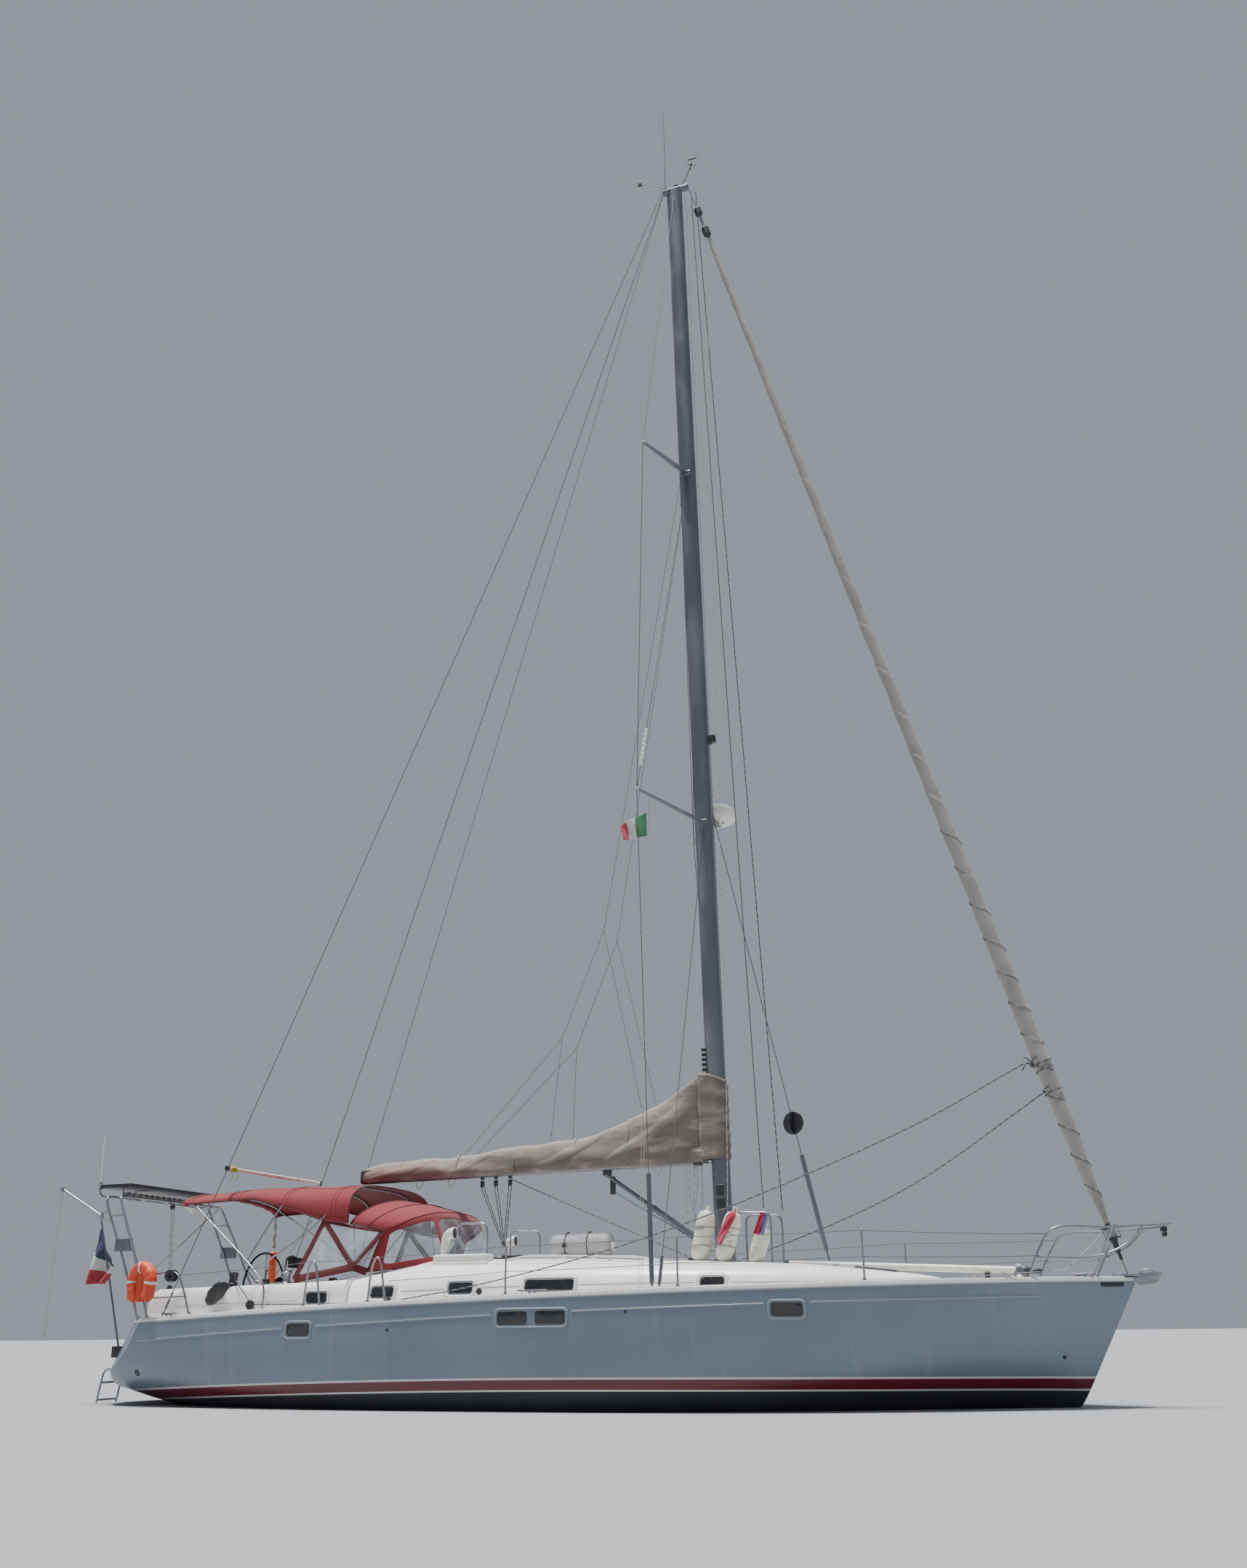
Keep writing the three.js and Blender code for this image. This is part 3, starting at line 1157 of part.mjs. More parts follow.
add("hull", hullBody, colour.topside);
add("deck", deckBody, colour.gelcoat);
add("keel", keel(), colour.antifouling);
add("shaft_strut", shaftStrut(), colour.bronze);
add("propeller", propeller(), colour.bronze);
add("rudder", rudder(), colour.antifouling);
add("swim_ladder", swimLadder(), colour.steel);
for (const spec of LIDS) {
  add(spec.name, lid(spec), colour.acrylic);
}
add("companionway_slide", companionwaySlide(), colour.acrylic);
add("washboards", washboards(), colour.acrylic);
add("mast", mast(), colour.alloy);
add("boom", boom(), colour.alloy);
add("vang", vang(), colour.alloy);
add("sail_cover", sailCover(), colour.taupe);
for (const [name, side] of [["starboard", -1], ["port", 1]]) {
  for (const spec of SPREADERS) {
    add(`${spec.level}_spreader_${name}`, spreader(spec, side), colour.alloy);
  }
  add(`shrouds_${name}`, shrouds(side), colour.wire);
  add(`lifelines_${name}`, lifelines(side), colour.steel);
  add(`pushpit_${name}`, pushpit(side), colour.steel);
  add(`locker_lid_${name}`, lockerLid(side), colour.gelcoat);
  add(`vent_box_${name}`, ventBox(side), colour.gelcoat);
  add(`mast_rail_${name}`, mastRail(side), colour.steel);
}
for (const [name, x, y, z] of WINCHES) {
  add(name, winch(x, y, z), colour.steel);
}
add("furled_sail", furledSail(), colour.taupe);
add("furling_drum", furlingDrum(), colour.black);
add("babystay", babystay(), colour.wire);
add("backstays", backstays(), colour.wire);
add("radome", radome(), colour.canister);
add("pulpit", pulpit(), colour.steel);
add("bow_roller", bowRoller(), colour.steel);
add("stern_arch", sternArch(), colour.steel);
add("solar_panel", solarPanel(), colour.panel);
add("davit_arm", davitArm(), colour.steel);
add("davit_fall", davitFall(), colour.rope);
add("fall_hook", fallHook(), colour.steel);
add("ensign_staff", ensignStaff(), colour.steel);
add("bimini", bimini(), colour.maroon);
add("bimini_frame", biminiFrame(), colour.steel);
add("sprayhood", sprayhood(), colour.maroon);
add("binnacle", binnacle(), colour.gelcoat);
add("steering_wheel", steeringWheel(), colour.black);
add("liferaft", liferaft(), colour.canister);
add("traveller", traveller(), colour.black);
add("whisker_pole", whiskerPole(), colour.canister);
FENDERS.forEach((row, index) => add(`fender_${index + 1}`, fender(row), colour.fender));
add("horseshoe_buoy", horseshoe(), colour.orange);
add("danbuoy", danbuoy(), colour.orange);

export default root;
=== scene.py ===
"""Looks of a cruising sailing yacht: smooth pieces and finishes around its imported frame.

Metres. x runs forward, y to port, z up, and the water's surface is at z = 0.
"""
import sys
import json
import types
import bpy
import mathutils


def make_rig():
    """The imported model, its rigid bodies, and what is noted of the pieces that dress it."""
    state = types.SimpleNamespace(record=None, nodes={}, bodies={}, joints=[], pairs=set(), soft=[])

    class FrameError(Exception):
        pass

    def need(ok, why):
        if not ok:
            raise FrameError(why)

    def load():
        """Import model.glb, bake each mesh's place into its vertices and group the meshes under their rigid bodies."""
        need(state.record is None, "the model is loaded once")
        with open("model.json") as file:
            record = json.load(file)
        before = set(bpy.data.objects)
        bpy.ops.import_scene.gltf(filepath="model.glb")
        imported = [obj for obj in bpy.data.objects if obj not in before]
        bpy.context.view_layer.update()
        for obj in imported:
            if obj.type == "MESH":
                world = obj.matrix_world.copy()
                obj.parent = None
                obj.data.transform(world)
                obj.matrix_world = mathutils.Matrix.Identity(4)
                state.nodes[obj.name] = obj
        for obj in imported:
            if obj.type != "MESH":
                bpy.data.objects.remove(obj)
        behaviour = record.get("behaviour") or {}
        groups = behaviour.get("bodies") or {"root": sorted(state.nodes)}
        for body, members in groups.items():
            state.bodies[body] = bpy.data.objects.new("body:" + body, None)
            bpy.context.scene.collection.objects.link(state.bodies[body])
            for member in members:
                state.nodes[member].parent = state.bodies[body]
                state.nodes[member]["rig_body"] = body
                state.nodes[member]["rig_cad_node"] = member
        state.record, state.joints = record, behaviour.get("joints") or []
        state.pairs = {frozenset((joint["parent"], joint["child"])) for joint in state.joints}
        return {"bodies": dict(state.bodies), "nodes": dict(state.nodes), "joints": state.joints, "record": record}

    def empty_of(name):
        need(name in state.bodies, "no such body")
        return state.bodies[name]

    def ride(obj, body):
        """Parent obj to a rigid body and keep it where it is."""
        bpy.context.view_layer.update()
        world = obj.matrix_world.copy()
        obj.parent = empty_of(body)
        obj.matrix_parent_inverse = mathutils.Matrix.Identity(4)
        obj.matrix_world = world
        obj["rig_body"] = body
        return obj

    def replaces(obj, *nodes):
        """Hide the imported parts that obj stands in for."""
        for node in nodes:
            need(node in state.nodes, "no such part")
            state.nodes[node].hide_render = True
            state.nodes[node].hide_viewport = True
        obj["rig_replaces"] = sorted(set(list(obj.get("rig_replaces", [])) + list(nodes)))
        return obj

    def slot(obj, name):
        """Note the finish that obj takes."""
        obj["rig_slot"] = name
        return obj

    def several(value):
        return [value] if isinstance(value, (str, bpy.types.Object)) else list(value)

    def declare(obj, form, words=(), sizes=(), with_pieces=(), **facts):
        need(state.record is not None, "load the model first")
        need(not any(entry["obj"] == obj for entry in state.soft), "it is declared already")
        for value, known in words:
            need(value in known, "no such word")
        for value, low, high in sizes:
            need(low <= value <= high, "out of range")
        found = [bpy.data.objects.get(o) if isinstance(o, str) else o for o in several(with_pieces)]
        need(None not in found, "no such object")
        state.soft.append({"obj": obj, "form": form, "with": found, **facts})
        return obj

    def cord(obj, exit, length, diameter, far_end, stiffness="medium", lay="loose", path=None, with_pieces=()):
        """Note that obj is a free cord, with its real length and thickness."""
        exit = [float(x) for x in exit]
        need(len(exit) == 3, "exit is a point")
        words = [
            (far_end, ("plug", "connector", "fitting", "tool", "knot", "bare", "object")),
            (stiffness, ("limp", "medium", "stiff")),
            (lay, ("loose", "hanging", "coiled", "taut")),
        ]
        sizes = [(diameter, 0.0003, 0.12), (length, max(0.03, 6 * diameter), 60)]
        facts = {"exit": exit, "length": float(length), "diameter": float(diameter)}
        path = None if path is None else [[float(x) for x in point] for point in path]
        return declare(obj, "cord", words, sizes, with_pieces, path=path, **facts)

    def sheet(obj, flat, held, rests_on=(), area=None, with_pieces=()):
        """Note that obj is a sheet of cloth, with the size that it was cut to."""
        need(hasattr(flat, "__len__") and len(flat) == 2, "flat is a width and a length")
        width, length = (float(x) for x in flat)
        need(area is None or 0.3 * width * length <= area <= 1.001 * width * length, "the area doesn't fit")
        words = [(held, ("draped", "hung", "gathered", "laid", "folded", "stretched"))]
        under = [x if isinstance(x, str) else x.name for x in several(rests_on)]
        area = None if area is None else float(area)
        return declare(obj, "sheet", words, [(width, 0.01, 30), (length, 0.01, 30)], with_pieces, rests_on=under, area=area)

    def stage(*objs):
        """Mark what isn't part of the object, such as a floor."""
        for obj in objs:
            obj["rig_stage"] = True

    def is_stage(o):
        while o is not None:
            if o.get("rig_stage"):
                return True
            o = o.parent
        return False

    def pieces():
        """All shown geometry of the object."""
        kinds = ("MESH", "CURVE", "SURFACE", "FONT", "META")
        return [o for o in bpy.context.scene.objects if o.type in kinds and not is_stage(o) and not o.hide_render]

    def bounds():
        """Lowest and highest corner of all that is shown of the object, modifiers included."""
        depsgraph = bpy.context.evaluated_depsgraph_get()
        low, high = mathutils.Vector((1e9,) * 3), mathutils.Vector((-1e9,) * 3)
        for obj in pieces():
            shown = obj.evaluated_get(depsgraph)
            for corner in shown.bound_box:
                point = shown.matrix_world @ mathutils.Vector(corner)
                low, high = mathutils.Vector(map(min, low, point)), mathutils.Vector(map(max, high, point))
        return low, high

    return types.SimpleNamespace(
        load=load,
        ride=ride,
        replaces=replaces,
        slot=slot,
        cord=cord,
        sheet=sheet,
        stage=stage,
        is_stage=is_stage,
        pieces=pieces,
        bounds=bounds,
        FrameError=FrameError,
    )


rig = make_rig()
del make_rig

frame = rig.load()

import functools
import json

import bpy
import numpy as np
from bpy.props import FloatProperty, FloatVectorProperty, PointerProperty
from mathutils import Matrix, Vector

bl_info = {
    "name": "Cruising yacht",
    "version": (1, 0, 0),
    "blender": (4, 5, 0),
    "location": "3D View > Sidebar > Yacht",
    "description": "Builds the smooth hull, rig, canvas and deck gear of a cruising yacht",
    "category": "Add Mesh",
}

CAD_BOX = [list(corner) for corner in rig.bounds()]
NODES = frame["nodes"]
ROOT_BODY = "yacht"
BOTH = (-1, 1)
SIDE_NAME = {-1: "starboard", 1: "port"}
# Two faces that meet at more degrees than this share a hard edge
SHARP = 32.0

# Camera of the photograph, fitted to the yacht: its place, its axes, and its focal length and the picture's
# height in pixels
VIEW_FROM = (7.324, -18.754, 0.883)
VIEW_RIGHT = (0.9392, 0.3431, -0.0101)
VIEW_UP = (0.1327, -0.3357, 0.9326)
VIEW_FORWARD = (-0.3166, 0.8772, 0.3609)
VIEW_FOCAL = 1945.05
VIEW_TALL = 2156

# Driving dimensions of the hull
STEM_X = 6.935
STERN_X = -7.265
WIDEST_X = -0.5
HALF_BEAM = 2.1
BODY_DEPTH = 0.62
DECK_THICKNESS = 0.025
DECK_CAMBER = 0.07

# Driving dimensions of the rig
MAST_FOOT = (1.899, 1.722)
MAST_HEAD = (1.645, 19.71)
MAST_CHORD = 0.25
MAST_WIDTH = 0.15
GOOSENECK_X = 1.69
BOOM_Z = 3.055
BOOM_END_X = -3.55
BOOM_HEIGHT = 0.2
BOOM_WIDTH = 0.14


def P(*numbers):
    return np.array(numbers, float)


def xyz(x, y, z):
    """Grid of points from three grids of numbers, which are broadcast to one another."""
    return np.stack(np.broadcast_arrays(x, y, z), axis=-1)


def unit(vectors):
    return vectors / np.maximum(np.linalg.norm(vectors, axis=-1, keepdims=True), 1e-12)


def ease(value, low, high):
    """Rises smoothly from 0 at low to 1 at high."""
    share = np.clip((value - low) / (high - low), 0, 1)
    return share * share * (3 - 2 * share)


def signed(value, power):
    """Power of a number's size with the number's sign, which squares off the arch of a cosine."""
    return np.sign(value) * np.abs(value) ** power


def round_angles(count):
    return np.arange(count) * 2 * np.pi / count


def spoke(angle, front, side):
    """Direction at an angle from the front towards the side."""
    return np.cos(angle) * front + np.sin(angle) * side


def patch(a, b, c, d, down, over):
    """Flat sheet between four corners: from a down to b at one side and from c down to d at the other."""
    return (a * (1 - down) + b * down) * (1 - over) + (c * (1 - down) + d * down) * over


def along(table, x, blur=0.0):
    """Reads a table of position and value; blur averages over that reach to each side, to round corners."""
    rows = np.array(table, float)
    reach = np.linspace(-blur, blur, 9)
    spread = np.asarray(x, float)[..., None] + reach
    return np.interp(spread, rows[:, 0], rows[:, 1]).mean(-1)


class Shape:
    """Points and faces: four point numbers and four uv pairs to a face, a point repeated in a triangle."""

    def __init__(self, points, faces, uv):
        self.points = points
        self.faces = faces
        self.uv = uv

    def __add__(self, other):
        return Shape(
            np.vstack([self.points, other.points]),
            np.vstack([self.faces, other.faces + len(self.points)]),
            np.vstack([self.uv, other.uv]),
        )

    def outward(self):
        """Turns the faces round if the enclosed volume comes out negative."""
        a, b, c, d = (self.points[self.faces[:, k]] for k in range(4))
        if (np.cross(b, c) * a).sum() + (np.cross(c, d) * a).sum() < 0:
            self.faces = self.faces[:, ::-1]
            self.uv = self.uv[:, ::-1]
        return self

    def moved(self, x=0.0, y=0.0, z=0.0):
        return Shape(self.points + P(x, y, z), self.faces, self.uv)

    def turned(self, axis, angle, about=(0, 0, 0)):
        """The shape turned by an angle in radians about an axis through a point."""
        turn = np.array(Matrix.Rotation(angle, 3, Vector(axis)))
        about = np.array(about, float)
        return Shape((self.points - about) @ turn.T + about, self.faces, self.uv)

    def mirrored(self):
        """The same shape on the other side of the centreline."""
        return Shape(self.points * P(1, -1, 1), self.faces[:, ::-1], self.uv[:, ::-1])


def total(shapes):
    return functools.reduce(lambda a, b: a + b, shapes)


def lattice(grid, around=True, ends=True, closed=True):
    """Skin over a grid of points, rows by columns. Around joins the last column to the first, ends adds
    a fan over each end row, and the uv pairs are distances in metres along rows and columns."""
    grid = np.asarray(grid, float)
    if ends:
        caps = [np.broadcast_to(row.mean(0), row.shape)[None] for row in (grid[0], grid[-1])]
        grid = np.concatenate([caps[0], grid, caps[1]])
    rows, columns = grid.shape[:2]
    number = np.arange(rows * columns).reshape(rows, columns)
    if around:
        number = np.concatenate([number, number[:, :1]], axis=1)
    flat = grid.reshape(-1, 3)
    placed = flat[number]
    runs = []
    for axis in (0, 1):
        step = np.linalg.norm(np.diff(placed, axis=axis), axis=2).mean(1 - axis)
        runs.append(np.concatenate([[0], np.cumsum(step)]))
    uv = np.stack(np.meshgrid(*runs, indexing="ij"), axis=-1)
    corners = [(slice(None, -1), slice(None, -1)), (slice(None, -1), slice(1, None)),
               (slice(1, None), slice(1, None)), (slice(1, None), slice(None, -1))]
    faces = np.stack([number[c] for c in corners], axis=-1).reshape(-1, 4)
    uv = np.stack([uv[c] for c in corners], axis=-2).reshape(-1, 4, 2)
    shape = Shape(flat, faces, uv)
    return shape.outward() if closed else shape


def circle(sides, radius=1.0, squeeze=1.0):
    """Ring of points on a circle, or on an ellipse when squeezed."""
    angle = round_angles(sides)
    return np.stack([radius * np.cos(angle), radius * squeeze * np.sin(angle)], axis=1)


PULLEY = [(0, -0.02), (0.035, -0.02), (0.04, 0), (0.035, 0.02), (0, 0.02)]


def rounded(width, height, corner, steps=5):
    """Ring of points round a rectangle whose corners are quarter circles."""
    corner = max(corner, 1e-4)
    angle = np.linspace(0, np.pi / 2, steps)
    quarters = []
    for k, (sx, sy) in enumerate([(1, 1), (-1, 1), (-1, -1), (1, -1)]):
        turn = angle + k * np.pi / 2
        quarters.append(np.stack([sx * (width / 2 - corner) + corner * np.cos(turn),
                                  sy * (height / 2 - corner) + corner * np.sin(turn)], axis=1))
    return np.concatenate(quarters)


def curve(points, step=0.03):
    """Smooth line through points: a cubic on each stretch whose slopes come from the neighbours, spaced by
    the square root of their distance."""
    points = np.array(points, float)
    if len(points) < 3:
        return points
    padded = np.concatenate([[2 * points[0] - points[1]], points, [2 * points[-1] - points[-2]]])
    gap = np.sqrt(np.linalg.norm(np.diff(padded, axis=0), axis=1))[:, None]
    slope = np.diff(padded, axis=0) / gap
    across = (padded[2:] - padded[:-2]) / (gap[1:] + gap[:-1])
    middle = slope[:-1] - across + slope[1:]
    out = []
    for k in range(len(points) - 1):
        count = max(2, int(np.linalg.norm(points[k + 1] - points[k]) / step) + 1)
        t = np.linspace(0, 1, count, endpoint=False)[:, None]
        h = gap[k + 1]
        out.append((1 + 2 * t) * (1 - t) ** 2 * points[k] + t * (1 - t) ** 2 * h * middle[k]
                   + t * t * (3 - 2 * t) * points[k + 1] + t * t * (t - 1) * h * middle[k + 1])
    return np.concatenate([*out, points[-1:]])


def sweep(path, section, size=1.0, up=None, ring=False):
    """A flat section carried along a path: each path point plus the section's two numbers times the side
    and lift directions there. A ring joins the path's end to its start."""
    path = np.asarray(path, float)
    if ring:
        tangent = unit(np.roll(path, -1, axis=0) - np.roll(path, 1, axis=0))
    else:
        tangent = unit(np.gradient(path, axis=0))
    if up is None:
        up = np.linalg.svd(path - path.mean(0))[2][2]
    side = unit(np.cross(tangent, np.asarray(up, float)))
    lift = np.cross(side, tangent)
    size = np.broadcast_to(size, (len(path),))[:, None, None]
    out = section[None, :, :1] * side[:, None] + section[None, :, 1:] * lift[:, None]
    grid = path[:, None] + size * out
    if ring:
        grid = np.concatenate([grid, grid[:1]])
    return lattice(grid, ends=not ring)


def tube(points, radius, sides=12, step=0.03):
    """Round bar bent smoothly through points; radius is one number or one for each point."""
    path = curve(points, step)
    if np.ndim(radius):
        knots = np.linspace(0, 1, len(points))
        radius = np.interp(np.linspace(0, 1, len(path)), knots, radius)
    return sweep(path, circle(sides), radius)


def rod(start, end, radius, end_radius=None, sides=14):
    """Straight round bar, tapering if a second radius is given."""
    sizes = P(radius, radius if end_radius is None else end_radius)
    return sweep(P(start, end), circle(sides), sizes)


def line(start, end, radius, sag=0.0, sides=6):
    """Thin wire or rope between two points, with an optional sag at its middle."""
    t = np.linspace(0, 1, 3 if sag == 0 else 17)[:, None]
    path = P(start) * (1 - t) + P(end) * t
    path[:, 2] -= (4 * sag * t * (1 - t))[:, 0]
    return sweep(path, circle(sides), radius)


def block(low, high, edge=0.01, steps=3):
    """Box with rounded edges: each octant of a small sphere stands at its corner of the box."""
    low, high = P(*low), P(*high)
    edge = min(edge, (high - low).min() / 2.001)
    core = (high - low) / 2 - edge
    tilt = np.linspace(0, np.pi / 2, steps + 1)
    rise = np.concatenate([[0], tilt, tilt + np.pi / 2, [np.pi]])
    rise_sign = np.concatenate([np.ones(steps + 2), -np.ones(steps + 2)])
    turn = np.concatenate([tilt + k * np.pi / 2 for k in range(4)])
    turn_x = np.repeat([1, -1, -1, 1], steps + 1)
    turn_y = np.repeat([1, 1, -1, -1], steps + 1)
    shown = np.ones(len(rise))
    shown[[0, -1]] = 0
    x = shown[:, None] * (turn_x * core[0]) + edge * np.sin(rise)[:, None] * np.cos(turn)
    y = shown[:, None] * (turn_y * core[1]) + edge * np.sin(rise)[:, None] * np.sin(turn)
    z = np.broadcast_to((rise_sign * core[2] + edge * np.cos(rise))[:, None], x.shape)
    return lattice(xyz(x, y, z) + (low + high) / 2, ends=False)


def turned(profile, at=(0, 0, 0), axis=(0, 0, 1), sides=32):
    """Turned shape: pairs of radius and height spun about an axis through a point."""
    profile = np.array(profile, float)
    angle = round_angles(sides)
    grid = xyz(profile[:, :1] * np.cos(angle), profile[:, :1] * np.sin(angle), profile[:, 1:])
    turn = np.array(Vector((0, 0, 1)).rotation_difference(Vector(axis)).to_matrix())
    shape = lattice(grid, ends=False)
    return Shape(shape.points @ turn.T + P(*at), shape.faces, shape.uv)


def ball(centre, radii, sides=24):
    """Ellipsoid about a point."""
    rise = np.linspace(0, np.pi, sides // 2 + 1)
    shape = turned(np.stack([np.sin(rise), np.cos(rise)], axis=1), sides=sides)
    return Shape(shape.points * P(*np.broadcast_to(radii, 3)) + P(*centre), shape.faces, shape.uv)


def fitted(surface, centre, width, height, corner, profile, filled=False):
    """A frame or pane laid on a surface: for each step of the profile, a rounded rectangle drawn in by its
    first number and stood off by its second. The surface gives a point from x, z and stand-off."""
    rings = []
    for inset, lift in profile:
        outline = rounded(width - 2 * inset, height - 2 * inset, corner - inset, 7) + P(*centre)
        rings.append(surface(outline[:, 0], outline[:, 1], lift))
    if filled:
        inner = rounded(width - 2 * profile[-1][0], height - 2 * profile[-1][0], corner - profile[-1][0], 7)
        for share in (0.66, 0.33, 0.0):
            flat = inner * share + P(*centre)
            rings.append(surface(flat[:, 0], flat[:, 1], profile[-1][1]))
        flat = np.broadcast_to(P(*centre), inner.shape)
        rings.insert(0, surface(flat[:, 0], flat[:, 1], profile[0][1]))
    else:
        rings.append(rings[0])
    return lattice(np.stack(rings), ends=False)


def put(name, shape, finish, body=None, instead=None, sharp=SHARP, thick=0.0):
    """Makes a piece of a shape, or of a list of them: merges points that meet, then dresses the mesh."""
    if isinstance(shape, list):
        shape = total(shape)
    points, index = np.unique(np.round(shape.points, 6), axis=0, return_inverse=True)
    corner = index.reshape(-1)[shape.faces]
    keep = corner != np.roll(corner, 1, axis=1)
    whole = keep.sum(1) > 2
    corner, keep, uv = corner[whole], keep[whole], shape.uv[whole]
    sizes = keep.sum(1)
    mesh = bpy.data.meshes.new(name)
    mesh.vertices.add(len(points))
    mesh.vertices.foreach_set("co", points.astype(np.float32).ravel())
    mesh.loops.add(int(sizes.sum()))
    mesh.loops.foreach_set("vertex_index", corner[keep].astype(np.int32))
    mesh.polygons.add(len(sizes))
    mesh.polygons.foreach_set("loop_start", (np.cumsum(sizes) - sizes).astype(np.int32))
    mesh.update(calc_edges=True)
    layer = mesh.uv_layers.new(name="along_across")
    layer.uv.foreach_set("vector", uv[keep].astype(np.float32).ravel())
    mesh.validate()
    return dress(name, mesh, finish, body, instead, sharp, thick)


def dress(name, mesh, finish, body=None, instead=None, sharp=SHARP, thick=0.0):
    """Puts a mesh into the scene as a piece with its finish, body and slot. A piece that is named as a CAD
    node, or is made instead of one, takes its place and rides its body."""
    node = instead or (name if name in NODES else None)
    mesh.shade_smooth()
    mesh.set_sharp_from_angle(angle=np.radians(sharp))
    piece = bpy.data.objects.new(name, mesh)
    bpy.context.scene.collection.objects.link(piece)
    mesh.materials.clear()
    mesh.materials.append(material(finish))
    if thick:
        wall = piece.modifiers.new("cloth thickness", "SOLIDIFY")
        wall.thickness = thick
        wall.offset = 0
    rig.ride(piece, body or (NODES[node]["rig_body"] if node else ROOT_BODY))
    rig.slot(piece, SLOTS[finish])
    if node:
        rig.replaces(piece, node)
    return piece


def carve(shape, steps):
    """Mesh of a closed shape after each step joins another to it or takes it away."""
    work = put("carving", shape, "gelcoat")
    tools = []
    for operation, body in steps:
        tool = put("carving tool", body, "gelcoat")
        step = work.modifiers.new("cut", "BOOLEAN")
        step.operation = operation
        step.solver = "MANIFOLD"
        step.object = tool
        tools.append(tool)
    bpy.context.view_layer.update()
    seen = work.evaluated_get(bpy.context.evaluated_depsgraph_get())
    mesh = bpy.data.meshes.new_from_object(seen)
    for piece in [work, *tools]:
        bpy.data.objects.remove(piece)
    return mesh


# Hull form: sheer, plan, profile and section shape, each a function of x
def sheer(x):
    return 1.27 + 0.0255 * x - 0.0014 * x * x


def deck_half(x):
    x = np.asarray(x, float)
    fore = HALF_BEAM * (1 - (np.maximum(x - WIDEST_X, 0) / (STEM_X - WIDEST_X)) ** 2.7)
    aft = HALF_BEAM * (1 - 0.285 * (np.maximum(WIDEST_X - x, 0) / 5.6) ** 2.2)
    return np.where(x > WIDEST_X, np.maximum(0.014, fore), aft)


def keel_line(x):
    x = np.asarray(x, float)
    fore = (np.abs(x - 0.3) / 5.95) ** 2.6
    aft = (np.abs(x - 0.3) / 6.49) ** 2.2
    body = -BODY_DEPTH * (1 - np.where(x > 0.3, fore, aft))
    stem = (x - 6.18) / (STEM_X - 6.18) * (sheer(STEM_X) - 0.02)
    return (body + stem + np.hypot(body - stem, 0.09)) / 2


def bilge(x, share):
    """Half breadth of the hull at a share of its depth, 0 at the keel line and 1 at the sheer."""
    fine = np.clip((x - 0.5) / 5.5, 0, 1) ** 1.3
    topside = 1.1 + 2.4 * (1 - fine)
    floor = 1.05 + 1.15 * (1 - fine)
    return deck_half(x) * (1 - (1 - share) ** topside) ** (1 / floor)


def hull_half(x, z):
    """Half breadth of the hull at a height."""
    low = keel_line(x)
    return bilge(x, np.clip((z - low) / (sheer(x) - low), 0, 1))


def camber(x, share):
    return DECK_CAMBER * deck_half(x) / HALF_BEAM * (1 - share * share)


def deck_top(x, y):
    return sheer(x) + camber(x, y / deck_half(x)) + DECK_THICKNESS


def stern_face(y, z):
    above = np.maximum(0, z - 0.44)
    below = np.maximum(0, 0.44 - z)
    return STERN_X + 0.4 * y * y + 0.52 * above + 1.581 * below ** 1.5


# Stations of hull and deck, closer together towards the stem
STATIONS = np.concatenate([np.linspace(-7.4, 5.6, 105), np.linspace(5.66, 6.925, 36)])[:, None]


def hull_solid():
    """Closed hull with a cambered top: each ring runs down one side, up the other and back across."""
    share = np.linspace(0, 1, 30) ** 1.7
    x = STATIONS
    low = keel_line(x)
    side_y = bilge(x, share)
    side_z = low + share * (sheer(x) - low)
    top = np.linspace(0.94, -0.94, 15)
    top_y = top * deck_half(x)
    top_z = sheer(x) + camber(x, top)
    y = np.concatenate([-side_y[:, ::-1], side_y[:, 1:], top_y], axis=1)
    z = np.concatenate([side_z[:, ::-1], side_z[:, 1:], top_z], axis=1)
    return lattice(xyz(x, y, z))


def stern_cutter():
    """Everything behind the rounded, sloping stern: its x from y squared and the height above the corner."""
    z = np.concatenate([np.linspace(-0.3, 0.44, 20), np.linspace(0.46, 1.9, 12)])[:, None]
    y = np.linspace(-2.4, 2.4, 73)
    x = stern_face(y, z)
    y = np.broadcast_to(y, x.shape)
    back = np.full((len(z), 1), -9.5)
    edge = np.full((len(z), 1), 2.4)
    grid = xyz(np.concatenate([x, back, back], axis=1), np.concatenate([y, edge, -edge], axis=1), z)
    return lattice(grid)


# Cockpit wells: footwell, helm area, passage to the stern, step and swim platform
WELLS = [
    # aft end, fore end, half width, floor, corner radius
    (-4.7, -2.45, 0.42, 0.79, 0.07),
    (-5.7, -4.6, 1.02, 0.79, 0.12),
    (-6.2, -5.6, 0.3, 0.79, 0.05),
    (-6.48, -6.1, 0.3, 0.61, 0.05),
    (-7.6, -6.43, 0.95, 0.43, 0.12),
]


def pit(x0, x1, half, floor, corner, top=2.6):
    """Upright cutter with rounded corners in plan and a small cove at its floor."""
    rings = []
    for inset, z in ((0.02, floor), (0.006, floor + 0.006), (0.0, floor + 0.02), (0.0, top)):
        outline = rounded(x1 - x0 - 2 * inset, 2 * (half - inset), corner, 6)
        rings.append(xyz(outline[:, 0] + (x0 + x1) / 2, outline[:, 1], z))
    return lattice(np.stack(rings))


def cockpit_cutters():
    return [pit(*row) for row in WELLS]


# Coachroof: plan, crown height and rounded section
HOUSE_HALF = 1.43
HOUSE_CROWN = [(-3.2, 1.64), (-2.78, 1.705), (-1.85, 1.822), (0, 1.782), (1.5, 1.725), (3.0, 1.652),
               (3.6, 1.6), (4.37, 1.515), (4.64, 1.47), (4.74, 1.425)]


def house_half(x):
    return HOUSE_HALF * (1 - np.clip((x + 1.0) / 5.8, 0, 1) ** 3.2)


def roof_top(x):
    return along(HOUSE_CROWN, x, 0.06)


